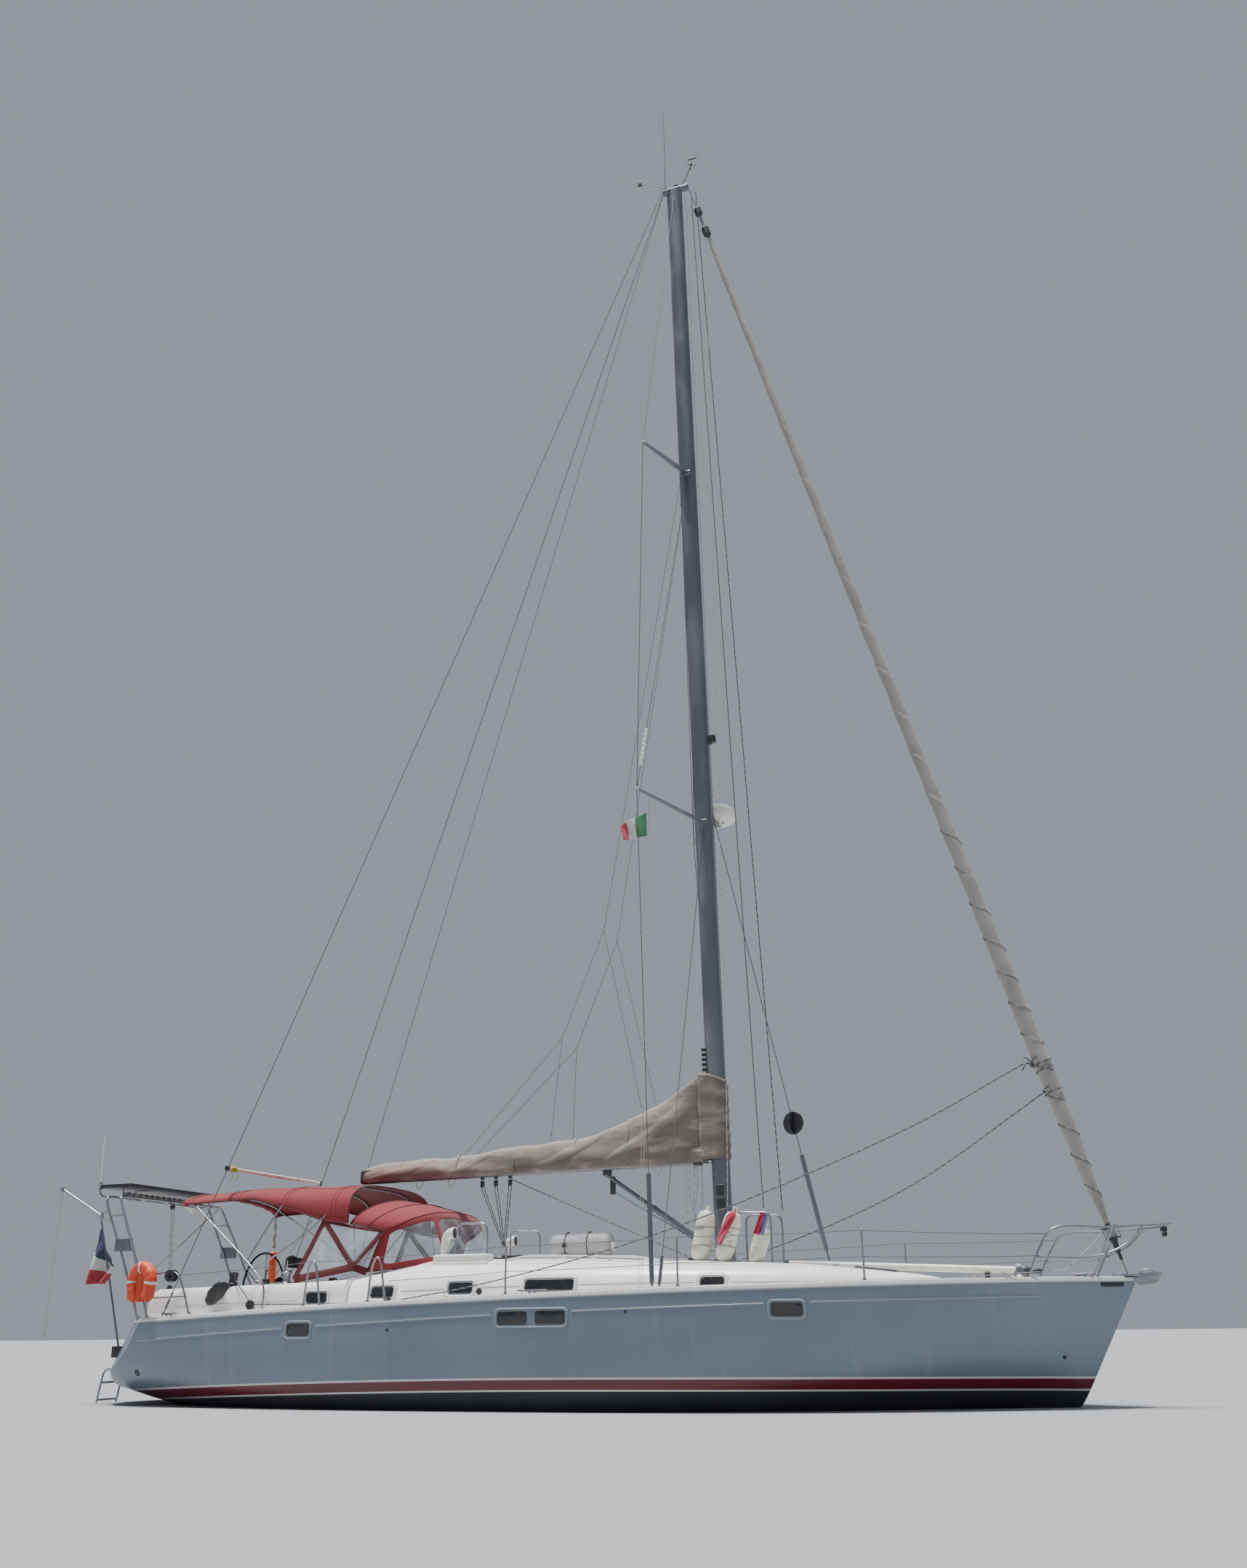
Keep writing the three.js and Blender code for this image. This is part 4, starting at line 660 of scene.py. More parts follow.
def house_side(x, z):
    """Half breadth of the coachroof at a height: the section's cosine from its sine."""
    base = sheer(x) + 0.01
    lift = np.clip((z - base) / (roof_top(x) - base), 0, 1)
    return house_half(x) * (1 - lift ** 4) ** 0.225 * (1 - 0.1 * lift)


def house_solid():
    """Superellipse sections: y from the cosine to the power 0.45, z from the sine to the power 0.5."""
    x = np.concatenate([np.linspace(-3.2, 3.6, 80), np.linspace(3.7, 4.74, 22)])[:, None]
    quarter = np.concatenate([np.arcsin(np.linspace(0, 0.9, 14) ** 2), np.linspace(1.0, np.pi / 2, 14)])
    angle = np.concatenate([quarter, np.pi - quarter[-2::-1]])
    lift = np.sin(angle).clip(0) ** 0.5
    base = sheer(x) + 0.01
    y = house_half(x) * signed(np.cos(angle), 0.45) * (1 - 0.1 * lift)
    z = base + (roof_top(x) - base) * lift
    return lattice(xyz(x, y, z))


COAMING = [
    # x, middle y, half width, top
    (-6.18, 1.12, 0.08, 1.33), (-6.12, 1.13, 0.13, 1.44), (-6.0, 1.15, 0.155, 1.495),
    (-5.4, 1.215, 0.17, 1.508), (-4.5, 1.28, 0.178, 1.52), (-3.6, 1.3, 0.18, 1.535), (-2.9, 1.29, 0.18, 1.56),
]


def coaming_row(x):
    rows = np.array(COAMING)
    return [np.interp(x, rows[:, 0], rows[:, k]) for k in (1, 2, 3)]


def coaming_side(x, z):
    """Outer half breadth of the coaming at a height."""
    middle, half, top = coaming_row(x)
    base = sheer(x) + 0.01
    lift = np.clip((z - base) / (top - base), 0, 1)
    return middle + half * np.sqrt(np.sqrt(np.maximum(0, 1 - lift ** 4)))


def coaming_solid():
    """Superellipse sections along the cockpit's edge, rounded down at the aft end."""
    x = np.concatenate([np.linspace(-6.18, -6.0, 9), np.linspace(-5.9, -2.9, 26)])[:, None]
    middle, half, top = coaming_row(x)
    angle = np.linspace(0, np.pi, 33)
    base = sheer(x) + 0.01
    y = middle + half * signed(np.cos(angle), 0.5)
    z = base + (top - base) * np.sin(angle).clip(0) ** 0.5
    return lattice(xyz(x, y, z))


def deck_solid():
    """Thin cambered plate over the hull."""
    x = STATIONS
    share = np.concatenate([[1, 0.94], np.linspace(0.8, -0.8, 17), [-0.94, -1]])
    y = share * deck_half(x)
    over = sheer(x) + camber(x, share) + DECK_THICKNESS
    under = np.broadcast_to(sheer(x) + 0.0008, y.shape)
    grid = xyz(x, np.concatenate([y, y[:, ::-1]], axis=1), np.concatenate([under, over[:, ::-1]], axis=1))
    return lattice(grid)


LIDS = {
    # node: aft end, fore end, half width, thickness
    "fore_hatch": (3.64, 4.16, 0.26, 0.028),
    "saloon_hatch": (0.9, 1.4, 0.25, 0.028),
    "anchor_locker_lid": (5.9, 6.33, 0.21, 0.022),
}
LID_SINK = 0.008
LID_GAP = 0.01


def lid_floor(x):
    """Height of a lid's seat, which follows the slope of the roof or deck."""
    roof = np.where(x < 4.74, roof_top(x), 0)
    return np.maximum(deck_top(x, 0), roof) - LID_SINK


def lid_recess(x0, x1, half):
    aft, fore = x0 - LID_GAP, x1 + LID_GAP
    wide = half + LID_GAP
    corners = [(aft, -wide), (fore, -wide), (fore, wide), (aft, wide)]
    rings = [[(x, y, lid_floor(x) + lift) for x, y in corners] for lift in (0.0, 0.9)]
    return lattice(rings)


class Wire:
    """A number that varies over a surface; arithmetic on it adds Math nodes to its material."""

    def __init__(self, finish, socket):
        self.finish = finish
        self.socket = socket

    def __add__(self, other):
        return self.finish.maths("ADD", self, other)

    def __sub__(self, other):
        return self.finish.maths("SUBTRACT", self, other)

    def __rsub__(self, other):
        return self.finish.maths("SUBTRACT", other, self)

    def __mul__(self, other):
        return self.finish.maths("MULTIPLY", self, other)

    def __truediv__(self, other):
        return self.finish.maths("DIVIDE", self, other)

    def __lt__(self, other):
        return self.finish.maths("LESS_THAN", self, other)

    def __gt__(self, other):
        return self.finish.maths("GREATER_THAN", self, other)

    __radd__ = __add__
    __rmul__ = __mul__


class Finish:
    """A material: one Principled shader, and expressions on Wires that feed it."""

    def __init__(self, name):
        self.made = bpy.data.materials.new(name)
        self.made.use_nodes = True
        self.tree = self.made.node_tree
        self.tree.nodes.clear()
        self.shader = self.tree.nodes.new("ShaderNodeBsdfPrincipled")
        output = self.tree.nodes.new("ShaderNodeOutputMaterial")
        self.tree.links.new(self.shader.outputs[0], output.inputs[0])

    def fill(self, node, values):
        for name, value in values.items():
            if isinstance(value, Wire):
                self.tree.links.new(value.socket, node.inputs[name])
            else:
                node.inputs[name].default_value = value

    def node(self, kind, settings=None, values=None, out=0):
        """Adds a node with its settings, then its values or links, and gives the Wire that leaves it."""
        node = self.tree.nodes.new(kind)
        for name, value in (settings or {}).items():
            setattr(node, name, value)
        self.fill(node, values or {})
        return Wire(self, node.outputs[out])

    def surface(self, **values):
        """Sets the shader's sockets, with underscores for the spaces in their names."""
        self.fill(self.shader, {name.replace("_", " "): value for name, value in values.items()})

    def maths(self, operation, *values):
        return self.node("ShaderNodeMath", {"operation": operation}, dict(enumerate(values)))

    def most(self, a, b):
        return self.maths("MAXIMUM", a, b)

    def least(self, a, b):
        return self.maths("MINIMUM", a, b)

    def ramp(self, value, low, high):
        """Rises smoothly from 0 at low to 1 at high."""
        settings = {"interpolation_type": "SMOOTHSTEP"}
        return self.node("ShaderNodeMapRange", settings, {"Value": value, "From Min": low, "From Max": high})

    def band(self, value, low, high, soft=0.002):
        """One between low and high, and nought outside."""
        return self.ramp(value, low - soft, low + soft) * self.ramp(value, high + soft, high - soft)

    def mix(self, share, a, b):
        """Colour that goes from a to b; a colour is three numbers or a Wire."""
        sides = [side if isinstance(side, Wire) else (*side, 1) for side in (a, b)]
        return self.node("ShaderNodeMix", {"data_type": "RGBA"}, {0: share, 6: sides[0], 7: sides[1]}, out=2)

    def place(self):
        return self.node("ShaderNodeTexCoord", out="Object")

    def along(self):
        return self.node("ShaderNodeUVMap", {"uv_map": "along_across"})

    def parts(self, vector):
        """The three numbers of a vector."""
        node = self.node("ShaderNodeSeparateXYZ", values={0: vector}).socket.node
        return [Wire(self, socket) for socket in node.outputs]

    def scaled(self, vector, x, y, z):
        return self.node("ShaderNodeMapping", values={"Vector": vector, "Scale": (x, y, z)})

    def noise(self, scale, detail=3.0, stretch=(1, 1, 1), vector=None):
        vector = self.scaled(vector or self.place(), *stretch)
        return self.node("ShaderNodeTexNoise", values={"Vector": vector, "Scale": scale, "Detail": detail})

    def wave(self, vector, scale, direction="X", turn=0.0):
        settings = {"wave_type": "BANDS", "bands_direction": direction}
        values = {"Vector": vector, "Scale": scale, "Distortion": 0.0, "Phase Offset": turn}
        return self.node("ShaderNodeTexWave", settings, values, out="Fac")

    def cells(self, scale, vector=None, feature="F1"):
        values = {"Vector": vector or self.place(), "Scale": scale}
        return self.node("ShaderNodeTexVoronoi", {"feature": feature}, values)

    def bump(self, height, depth, strength=0.6):
        return self.node("ShaderNodeBump", values={"Height": height, "Distance": depth, "Strength": strength})


SLOTS = {}
MAKERS = {}
# Turns of the weave's ridges to a metre, in radians
THREADS = 1500.0


def finish(slot=None):
    """Files a material's function under its own name, with the record's slot that it stands for."""
    def keep(maker):
        MAKERS[maker.__name__] = maker
        SLOTS[maker.__name__] = slot or maker.__name__
        return maker
    return keep


def family(maker, rows):
    """Files like materials, one for each row of a name, its slot and what the function needs."""
    for name, (slot, *values) in rows.items():
        MAKERS[name] = lambda f, values=values: maker(f, *values)
        SLOTS[name] = slot


@functools.cache
def material(name):
    made = Finish(name)
    MAKERS[name](made)
    return made.made


def colour(name):
    return tuple(getattr(bpy.context.scene.yacht_colours, name))


@finish()
def topside(f):
    """Gelcoat over antifouling: the black's upper edge falls with the square of the distance from midships,
    then come a white line, the red stripe and a second white line; chalk and rust run down from the rail."""
    x, _, z = f.parts(f.place())
    off = x - 0.93
    bow, stern = f.most(off, 0.0), f.least(off, 0.0)
    up = z - 0.228 + 0.0016 * bow * bow + 0.0033 * stern * stern
    streak = f.noise(1.0, 4.0, (5.0, 1.0, 0.5))
    cloudy = f.noise(0.9, 3.0)
    # The topside colour carries painted shade: a grey-blue paint set darker than it is, as for a side in shade
    side = f.mix(f.ramp(cloudy, 0.3, 0.75), colour("topside"), [c * 0.88 for c in colour("topside")])
    side = f.mix(f.ramp(streak, 0.58, 0.85) * 0.35, side, (0.42, 0.43, 0.40))
    scuff = f.noise(3.0, 6.0, (1.0, 1.0, 2.0))
    side = f.mix(f.ramp(scuff, 0.66, 0.74) * 0.2 * f.ramp(z, 0.9, 0.5), side, (0.28, 0.28, 0.27))
    under = f.mix(f.noise(2.2, 5.0), (0.012, 0.014, 0.019), (0.035, 0.038, 0.045))
    slime = f.ramp(f.noise(4.0, 6.0), 0.5, 0.7) * f.ramp(z, 0.06, -0.12)
    under = f.mix(slime * 0.5, under, (0.04, 0.055, 0.03))
    white = (0.62, 0.60, 0.58)
    red = f.mix(f.noise(6.0, 4.0), colour("boot_stripe"), [c * 0.7 for c in colour("boot_stripe")])
    paint = f.mix(f.ramp(up, -0.002, 0.002), under, white)
    paint = f.mix(f.ramp(up, 0.018, 0.022), paint, red)
    paint = f.mix(f.ramp(up, 0.129, 0.133), paint, white)
    paint = f.mix(f.ramp(up, 0.153, 0.157), paint, side)
    above = f.ramp(up, 0.0, 0.002)
    rough = 0.62 - 0.36 * above + 0.12 * cloudy
    dimple = f.noise(1.4, 1.0) + 0.02 * f.noise(220.0, 1.0)
    f.surface(Base_Color=paint, Roughness=rough, Coat_Weight=above * 0.35, Coat_Roughness=0.12,
              Normal=f.bump(dimple, 0.006, 0.35))


@finish()
def antifouling(f):
    """Dull black bottom paint with brush marks along the hull and thin green growth."""
    brush = f.noise(3.0, 6.0, (0.4, 2.0, 6.0))
    paint = f.mix(brush, (0.012, 0.014, 0.019), (0.04, 0.043, 0.05))
    paint = f.mix(f.ramp(f.noise(5.0, 6.0), 0.52, 0.7) * 0.5, paint, (0.045, 0.06, 0.03))
    f.surface(Base_Color=paint, Roughness=0.6 + 0.2 * brush, Normal=f.bump(brush, 0.002))


def moulding(f, tint, dirt=0.35):
    """Warm white moulded gelcoat: its clouded colour with grey dirt in patches, and the clouding."""
    cloudy = f.noise(1.3, 4.0)
    stain = f.ramp(f.noise(2.6, 6.0, (1.0, 1.0, 0.6)), 0.55, 0.8)
    paint = f.mix(f.ramp(cloudy, 0.35, 0.7), tint, [c * 0.93 for c in tint])
    paint = f.mix(stain * dirt, paint, (0.56, 0.54, 0.49))
    return paint, cloudy


@finish()
def gelcoat(f):
    """Deck moulding, a little chalky."""
    paint, cloudy = moulding(f, colour("deck"))
    f.surface(Base_Color=paint, Roughness=0.26 + 0.2 * cloudy, Coat_Weight=0.2, Coat_Roughness=0.2,
              Normal=f.bump(f.noise(160.0, 1.0), 0.0003, 0.4))


@finish("gelcoat")
def nonskid(f):
    """Moulded tread: round bumps a centimetre apart, with grey dirt between them."""
    paint, cloudy = moulding(f, [c * 0.88 for c in colour("deck")], 0.5)
    bump = f.ramp(f.cells(120.0), 0.55, 0.2)
    paint = f.mix((1 - bump) * 0.25, paint, (0.45, 0.42, 0.36))
    f.surface(Base_Color=paint, Roughness=0.55 + 0.15 * cloudy, Normal=f.bump(bump, 0.001))


@finish("gelcoat")
def cove(f):
    """Painted shadow: a dark strip for the shade in a groove, under the toe rail and round the window frames, darker
    where dirt has settled.
    """
    dirt = f.noise(2.0, 5.0, (1.0, 1.0, 4.0))
    f.surface(Base_Color=f.mix(dirt, (0.16, 0.18, 0.19), (0.26, 0.28, 0.29)), Roughness=0.4 + 0.2 * dirt)


@finish("gelcoat")
def pale_line(f):
    """Raised moulding in the topside's colour made paler: a painted highlight for the lit lower edge of the hull's
    groove line and the lit rims of the hull's window frames, its paleness patchy.
    """
    worn = f.noise(2.0, 5.0, (1.0, 1.0, 4.0))
    tone = colour("topside")
    # Painted highlight: both tones are the topside's colour lightened
    f.surface(Base_Color=f.mix(worn, [c * 0.8 + 0.15 for c in tone], [c * 0.9 + 0.07 for c in tone]),
              Roughness=0.3 + 0.2 * worn, Coat_Weight=0.3)


@finish("gelcoat")
def beige(f):
    """Sun-bleached beige stripe."""
    worn = f.noise(3.0, 5.0, (1.0, 1.0, 8.0))
    f.surface(Base_Color=f.mix(worn, (0.33, 0.29, 0.22), (0.5, 0.46, 0.38)), Roughness=0.35 + 0.2 * worn)


@finish()
def spar(f):
    """Anodised alloy darkened to a deep grey as painted shade: fine marks along the extrusion, chalky patches, also
    set dark, and darker runs under fittings.
    """
    drawn = f.noise(40.0, 2.0, (1.0, 1.0, 0.02))
    chalk = f.ramp(f.noise(1.6, 5.0, (2.0, 2.0, 0.5)), 0.45, 0.75)
    metal = f.mix(chalk * 0.5, colour("spar"), (0.19, 0.2, 0.22))
    metal = f.mix(f.ramp(f.noise(3.0, 5.0, (3.0, 3.0, 0.4)), 0.62, 0.8) * 0.5, metal, (0.09, 0.095, 0.11))
    f.surface(Base_Color=metal, Metallic=0.75 - 0.4 * chalk, Roughness=0.36 + 0.2 * chalk,
              Normal=f.bump(drawn, 0.0006, 0.5))


@finish()
def stainless(f):
    """Polished tube whose metal tones are darkened as painted shade and painted dark reflection, with cloudy salt
    marks and specks of tea-coloured stain.
    """
    salt = f.noise(9.0, 5.0)
    speck = f.ramp(f.noise(38.0, 3.0), 0.68, 0.78)
    # Painted shade and painted dark reflection: both metal tones sit well below polished steel
    metal = f.mix(f.ramp(salt, 0.4, 0.8), (0.34, 0.35, 0.37), (0.2, 0.21, 0.23))
    f.surface(Base_Color=f.mix(speck * 0.5, metal, (0.28, 0.17, 0.08)), Metallic=1 - 0.5 * speck,
              Roughness=0.26 + 0.22 * salt, Normal=f.bump(salt, 0.0005, 0.3))


@finish()
def wire(f):
    """Stranded steel wire: slanting strands along the length with painted shade in the grooves between them, grey with
    tarnish.
    """
    u, v, _ = f.parts(f.along())
    strand = f.maths("SINE", u * 900.0 + v * 2600.0)
    dull = f.noise(3.0, 4.0)
    metal = f.mix(dull, (0.1, 0.105, 0.115), (0.2, 0.205, 0.22))
    # Painted shade: darker where the strand relief dips, in the grooves between strands
    f.surface(Base_Color=f.mix(f.ramp(strand, 0.2, -0.9) * 0.6, metal, (0.03, 0.03, 0.035)), Metallic=0.5,
              Roughness=0.45 + 0.2 * dull, Normal=f.bump(strand, 0.0006))


def weave(f):
    """Plain weave on the piece's own uv: warp and weft ridges whose product makes the over and under."""
    u, v, _ = f.parts(f.along())
    return f.maths("SINE", u * THREADS) * f.maths("SINE", v * THREADS)


@finish()
def canvas_red(f):
    """Acrylic canvas bleached by the sun in drifts, with a woven surface whose hollows carry a little painted shade,
    soft wrinkles and a dusty sheen.
    """
    threads = weave(f)
    faded = f.ramp(f.noise(0.9, 4.0), 0.3, 0.75)
    red = colour("canvas")
    cloth = f.mix(faded * 0.5, red, [c * 0.9 + 0.05 for c in red])
    cloth = f.mix(f.ramp(f.noise(2.4, 6.0), 0.56, 0.75) * 0.3, cloth, [c * 0.55 for c in red])
    # Painted shade in the weave: darker where the threads dip
    cloth = f.mix(f.ramp(threads, 0.0, -1.0) * 0.12, cloth, [c * 0.4 for c in red])
    wrinkle = f.noise(3.2, 3.0, (0.8, 0.35, 1.0)) + 0.03 * threads
    f.surface(Base_Color=cloth, Roughness=0.82 + 0.1 * faded, Sheen_Weight=0.12, Sheen_Roughness=0.5,
              Normal=f.bump(wrinkle, 0.02, 0.5))


@finish("canvas_red")
def piping(f):
    """Darker bound edge and sewn straps, with a row of stitches."""
    stitch = f.ramp(f.maths("SINE", f.parts(f.along())[0] * 700.0), 0.3, 0.7)
    red = colour("canvas")
    dark = f.mix(f.noise(5.0, 4.0), [c * 0.34 for c in red], [c * 0.5 for c in red])
    f.surface(Base_Color=f.mix(stitch * 0.18, dark, [c * 0.8 for c in red]), Roughness=0.86, Sheen_Weight=0.2,
              Normal=f.bump(weave(f) * 0.3 + stitch, 0.0006))


@finish()
def canvas_taupe(f):
    """Taupe sail cover with painted sunlight on its upturned top together with sun bleaching, a painted red reflection
    of the bimini low towards the boom's end, painted highlights on its folds, creased and a little mildewed.
    """
    x, _, z = f.parts(f.place())
    threads = weave(f)
    height = z - boom_middle(x)
    crown = f.ramp(f.parts(f.node("ShaderNodeNewGeometry", out="Normal"))[2], 0.1, 0.85)
    base = f.mix(f.ramp(f.noise(1.3, 5.0), 0.3, 0.7), colour("sail_cover"),
                 [c * 0.78 for c in colour("sail_cover")])
    # Painted reflection: a maroon tint low on the aft part of the cover, for red light thrown up from the bimini
    aft = f.ramp(x, -1.1, -3.0)
    base = f.mix(aft * 0.75 * f.ramp(height, 0.22, -0.02), base, (0.235, 0.082, 0.085))
    # Painted sunlight: lighter where the cloth faces up, for its lit top, together with sun bleaching
    base = f.mix(crown * 0.65, base, (0.6, 0.51, 0.42))
    base = f.mix(f.ramp(height, -0.072, -0.082) * f.ramp(x, -2.2, 0.0), base, (0.6, 0.58, 0.54))
    base = f.mix(f.ramp(f.noise(7.0, 6.0), 0.6, 0.75) * 0.25, base, (0.1, 0.085, 0.08))
    crease = f.noise(3.4, 4.0, (0.7, 1.0, 1.6)) + 0.03 * threads
    drawn = f.noise(1.7, 5.0, (1.0, 0.6, 2.6))
    # Painted highlight on the flanks of the drawn folds
    base = f.mix(f.ramp(drawn, 0.5, 0.62) * f.ramp(drawn, 0.7, 0.6) * 0.28, base, (0.56, 0.47, 0.39))
    f.surface(Base_Color=base, Roughness=0.86, Sheen_Weight=0.2,
              Normal=f.bump(crease + drawn * 1.5, 0.05, 0.7))


@finish("canvas_taupe")
def sailcloth(f):
    """Furled sail in its sacrificial strip of faded cloth, creased where it is rolled, with painted shade in the
    creases.
    """
    fold = f.noise(2.6, 5.0, (1.0, 1.0, 0.3))
    # Painted shade: the tone follows the fold relief that the bump uses, darker in its troughs
    cloth = f.mix(fold, (0.24, 0.22, 0.2), (0.35, 0.325, 0.295))
    cloth = f.mix(f.ramp(f.noise(9.0, 5.0, (1.0, 1.0, 0.5)), 0.58, 0.75) * 0.35, cloth, (0.2, 0.18, 0.17))
    crease = fold + 0.25 * f.noise(16.0, 3.0, (1.0, 1.0, 0.4)) + 0.02 * weave(f)
    f.surface(Base_Color=cloth, Roughness=0.8, Sheen_Weight=0.15, Normal=f.bump(crease, 0.012, 0.6))


def plastic(f, dark, light, rough):
    """Moulded plastic: two near tones, fine grain and a few pale scuffs."""
    grain = f.noise(60.0, 3.0)
    scuff = f.ramp(f.noise(14.0, 6.0), 0.62, 0.72)
    tone = f.mix(f.noise(4.0, 4.0), dark, light)
    tone = f.mix(scuff * 0.25, tone, [min(1.0, c * 1.5 + 0.05) for c in light])
    f.surface(Base_Color=tone, Roughness=rough + 0.2 * scuff, Normal=f.bump(grain, 0.0005, 0.5))


family(plastic, {
    # finish: slot, two tones, roughness
    "black_plastic": ("black_plastic", (0.012, 0.012, 0.014), (0.035, 0.035, 0.038), 0.42),
    "white_plastic": ("white_plastic", (0.78, 0.76, 0.70), (0.66, 0.64, 0.58), 0.35),
    "grey_plastic": ("white_plastic", (0.42, 0.42, 0.42), (0.31, 0.31, 0.32), 0.55),
})


@finish()
def bronze(f):
    """Dull bronze with brown and green patches."""
    patch = f.noise(12.0, 5.0)
    metal = f.mix(f.ramp(patch, 0.35, 0.6), (0.36, 0.2, 0.08), (0.2, 0.13, 0.07))
    metal = f.mix(f.ramp(patch, 0.62, 0.72), metal, (0.1, 0.22, 0.17))
    f.surface(Base_Color=metal, Metallic=0.85 - 0.5 * f.ramp(patch, 0.62, 0.72), Roughness=0.35 + 0.3 * patch,
              Normal=f.bump(patch, 0.002))


@finish()
def orange_foam(f):
    """Orange lifebuoy cover: coated cloth with creases, faded along its top."""
    fade = f.ramp(f.noise(5.0, 4.0), 0.35, 0.7)
    skin = f.mix(fade, (0.6, 0.055, 0.015), (0.7, 0.1, 0.04))
    crease = f.noise(18.0, 3.0, (1.0, 1.0, 0.4))
    f.surface(Base_Color=skin, Roughness=0.5 + 0.15 * fade, Normal=f.bump(crease, 0.006))


@finish()
def fender_vinyl(f):
    """Cream vinyl with grey scuffs that run round the fender."""
    rub = f.ramp(f.noise(6.0, 6.0, (1.0, 1.0, 3.0)), 0.54, 0.7)
    skin = f.mix(f.noise(3.0, 4.0), (0.74, 0.71, 0.60), (0.64, 0.61, 0.52))
    f.surface(Base_Color=f.mix(rub * 0.7, skin, (0.2, 0.19, 0.18)), Roughness=0.38 + 0.25 * rub,
              Normal=f.bump(f.noise(30.0, 3.0), 0.0015))


@finish("panel_glass")
def solar_cells(f):
    """Dark blue cells in rows under glass, parted by thin pale lines, with silver fingers."""
    x, y, _ = f.parts(f.place())
    column = f.maths("FRACT", (x + 7.23) / 0.09)
    row = f.maths("FRACT", (y + 1.2) / 0.1)
    gap = f.most(f.maths("ABSOLUTE", column - 0.5), f.maths("ABSOLUTE", row - 0.5)) > 0.475
    finger = f.ramp(f.maths("SINE", y * 900.0), 0.8, 0.95)
    cell = f.mix(f.noise(11.0, 3.0), (0.007, 0.013, 0.04), (0.014, 0.024, 0.065))
    cell = f.mix(finger * 0.15, cell, (0.3, 0.32, 0.36))
    f.surface(Base_Color=f.mix(gap, cell, (0.30, 0.32, 0.34)), Roughness=0.16 + 0.15 * f.noise(5.0, 4.0),
              Coat_Weight=0.6, Coat_Roughness=0.04)


@finish("acrylic")
def dark_glass(f):
    """Smoked window glass with salt spray dried along its edge."""
    salt = f.ramp(f.noise(24.0, 6.0), 0.5, 0.75)
    f.surface(Base_Color=f.mix(salt * 0.35, (0.008, 0.009, 0.011), (0.08, 0.08, 0.08)),
              Roughness=0.06 + 0.25 * salt, Coat_Weight=0.5, Coat_Roughness=0.05)


@finish()
def acrylic(f):
    """Tinted hatch acrylic, crazed by the sun."""
    craze = f.ramp(f.cells(70.0, feature="DISTANCE_TO_EDGE"), 0.03, 0.0)
    f.surface(Base_Color=f.mix(craze * 0.4, (0.018, 0.02, 0.024), (0.14, 0.15, 0.16)),
              Roughness=0.1 + 0.3 * craze, Coat_Weight=0.5, Coat_Roughness=0.08)


@finish()
def clear_vinyl(f):
    """Soft clear window film with ripples and milky scratches."""
    haze = f.ramp(f.noise(5.0, 6.0), 0.4, 0.8)
    f.surface(Base_Color=f.mix(haze, (0.55, 0.66, 0.74), (0.78, 0.82, 0.84)), Alpha=0.16 + 0.2 * haze,
              Roughness=0.1 + 0.2 * haze, Coat_Weight=0.8, Coat_Roughness=0.05,
              Normal=f.bump(f.noise(5.0, 2.0), 0.03, 0.6))


def twist(f, light, dark, fleck=None):
    """Braided rope: two sets of strands cross round the line, on uv along and around it; the tone follows the braid's
    relief, with painted shade in its sunken cells.
    """
    u, v, _ = f.parts(f.along())
    one = f.maths("SINE", u * 520.0 + v * 700.0)
    two = f.maths("SINE", u * 520.0 - v * 700.0)
    braid = one * two
    # Painted shade: darker where the braid relief is low
    tone = f.mix(f.ramp(braid, -0.6, 0.6), dark, light)
    if fleck:
        tone = f.mix(f.ramp(f.maths("SINE", u * 60.0 + v * 180.0), 0.75, 0.9), tone, fleck)
    f.surface(Base_Color=tone, Roughness=0.85, Normal=f.bump(braid, 0.0012))


family(twist, {
    # finish: slot, tone of the raised strands, painted shade of the sunken strands, flecks
    "rope": ("rope", (0.62, 0.6, 0.55), (0.36, 0.35, 0.32), (0.1, 0.13, 0.3)),
    "dark_rope": ("rope", (0.085, 0.09, 0.11), (0.025, 0.027, 0.035), (0.3, 0.3, 0.3)),
    "teal_rope": ("rope", (0.08, 0.26, 0.27), (0.03, 0.13, 0.14)),
    "yellow_rope": ("rope", (0.62, 0.5, 0.04), (0.36, 0.28, 0.03)),
})
# Width of a teak plank
PLANK = 0.045


@finish()
def teak(f):
    """Silvered teak in planks: dark caulking lines lengthwise, grain and wear inside each plank."""
    seam = f.maths("ABSOLUTE", f.maths("FRACT", f.parts(f.place())[1] / PLANK) - 0.5) > 0.455
    grain = f.noise(12.0, 6.0, (1.0, 14.0, 6.0))
    wood = f.mix(grain, (0.36, 0.24, 0.14), (0.22, 0.16, 0.11))
    wood = f.mix(f.noise(1.8, 3.0) * 0.5, wood, (0.36, 0.33, 0.29))
    f.surface(Base_Color=f.mix(seam, wood, (0.014, 0.013, 0.012)), Roughness=0.6 + 0.2 * grain,
              Normal=f.bump(grain - seam, 0.0012))


def stripes(f, first, second, hoist, middle, fly, dirt, grey):
    """Three upright bands of faded bunting, which change at two distances from the hoist."""
    v = f.parts(f.along())[1]
    cloth = f.mix(v > first, hoist, middle)
    cloth = f.mix(v > second, cloth, fly)
    f.surface(Base_Color=f.mix(f.noise(8.0, 4.0) * dirt, cloth, grey), Roughness=0.8,
              Normal=f.bump(weave(f) * 0.3 + f.noise(9.0, 3.0), 0.004))


def crumpled(f, light, dark):
    """Crumpled cloth with painted light and shade on its folds: its tone follows the fold relief that its bump uses.
    """
    fold = f.noise(16.0, 4.0)
    f.surface(Base_Color=f.mix(fold, light, dark), Roughness=0.9, Sheen_Weight=0.3,
              Normal=f.bump(fold + weave(f) * 0.1, 0.01))


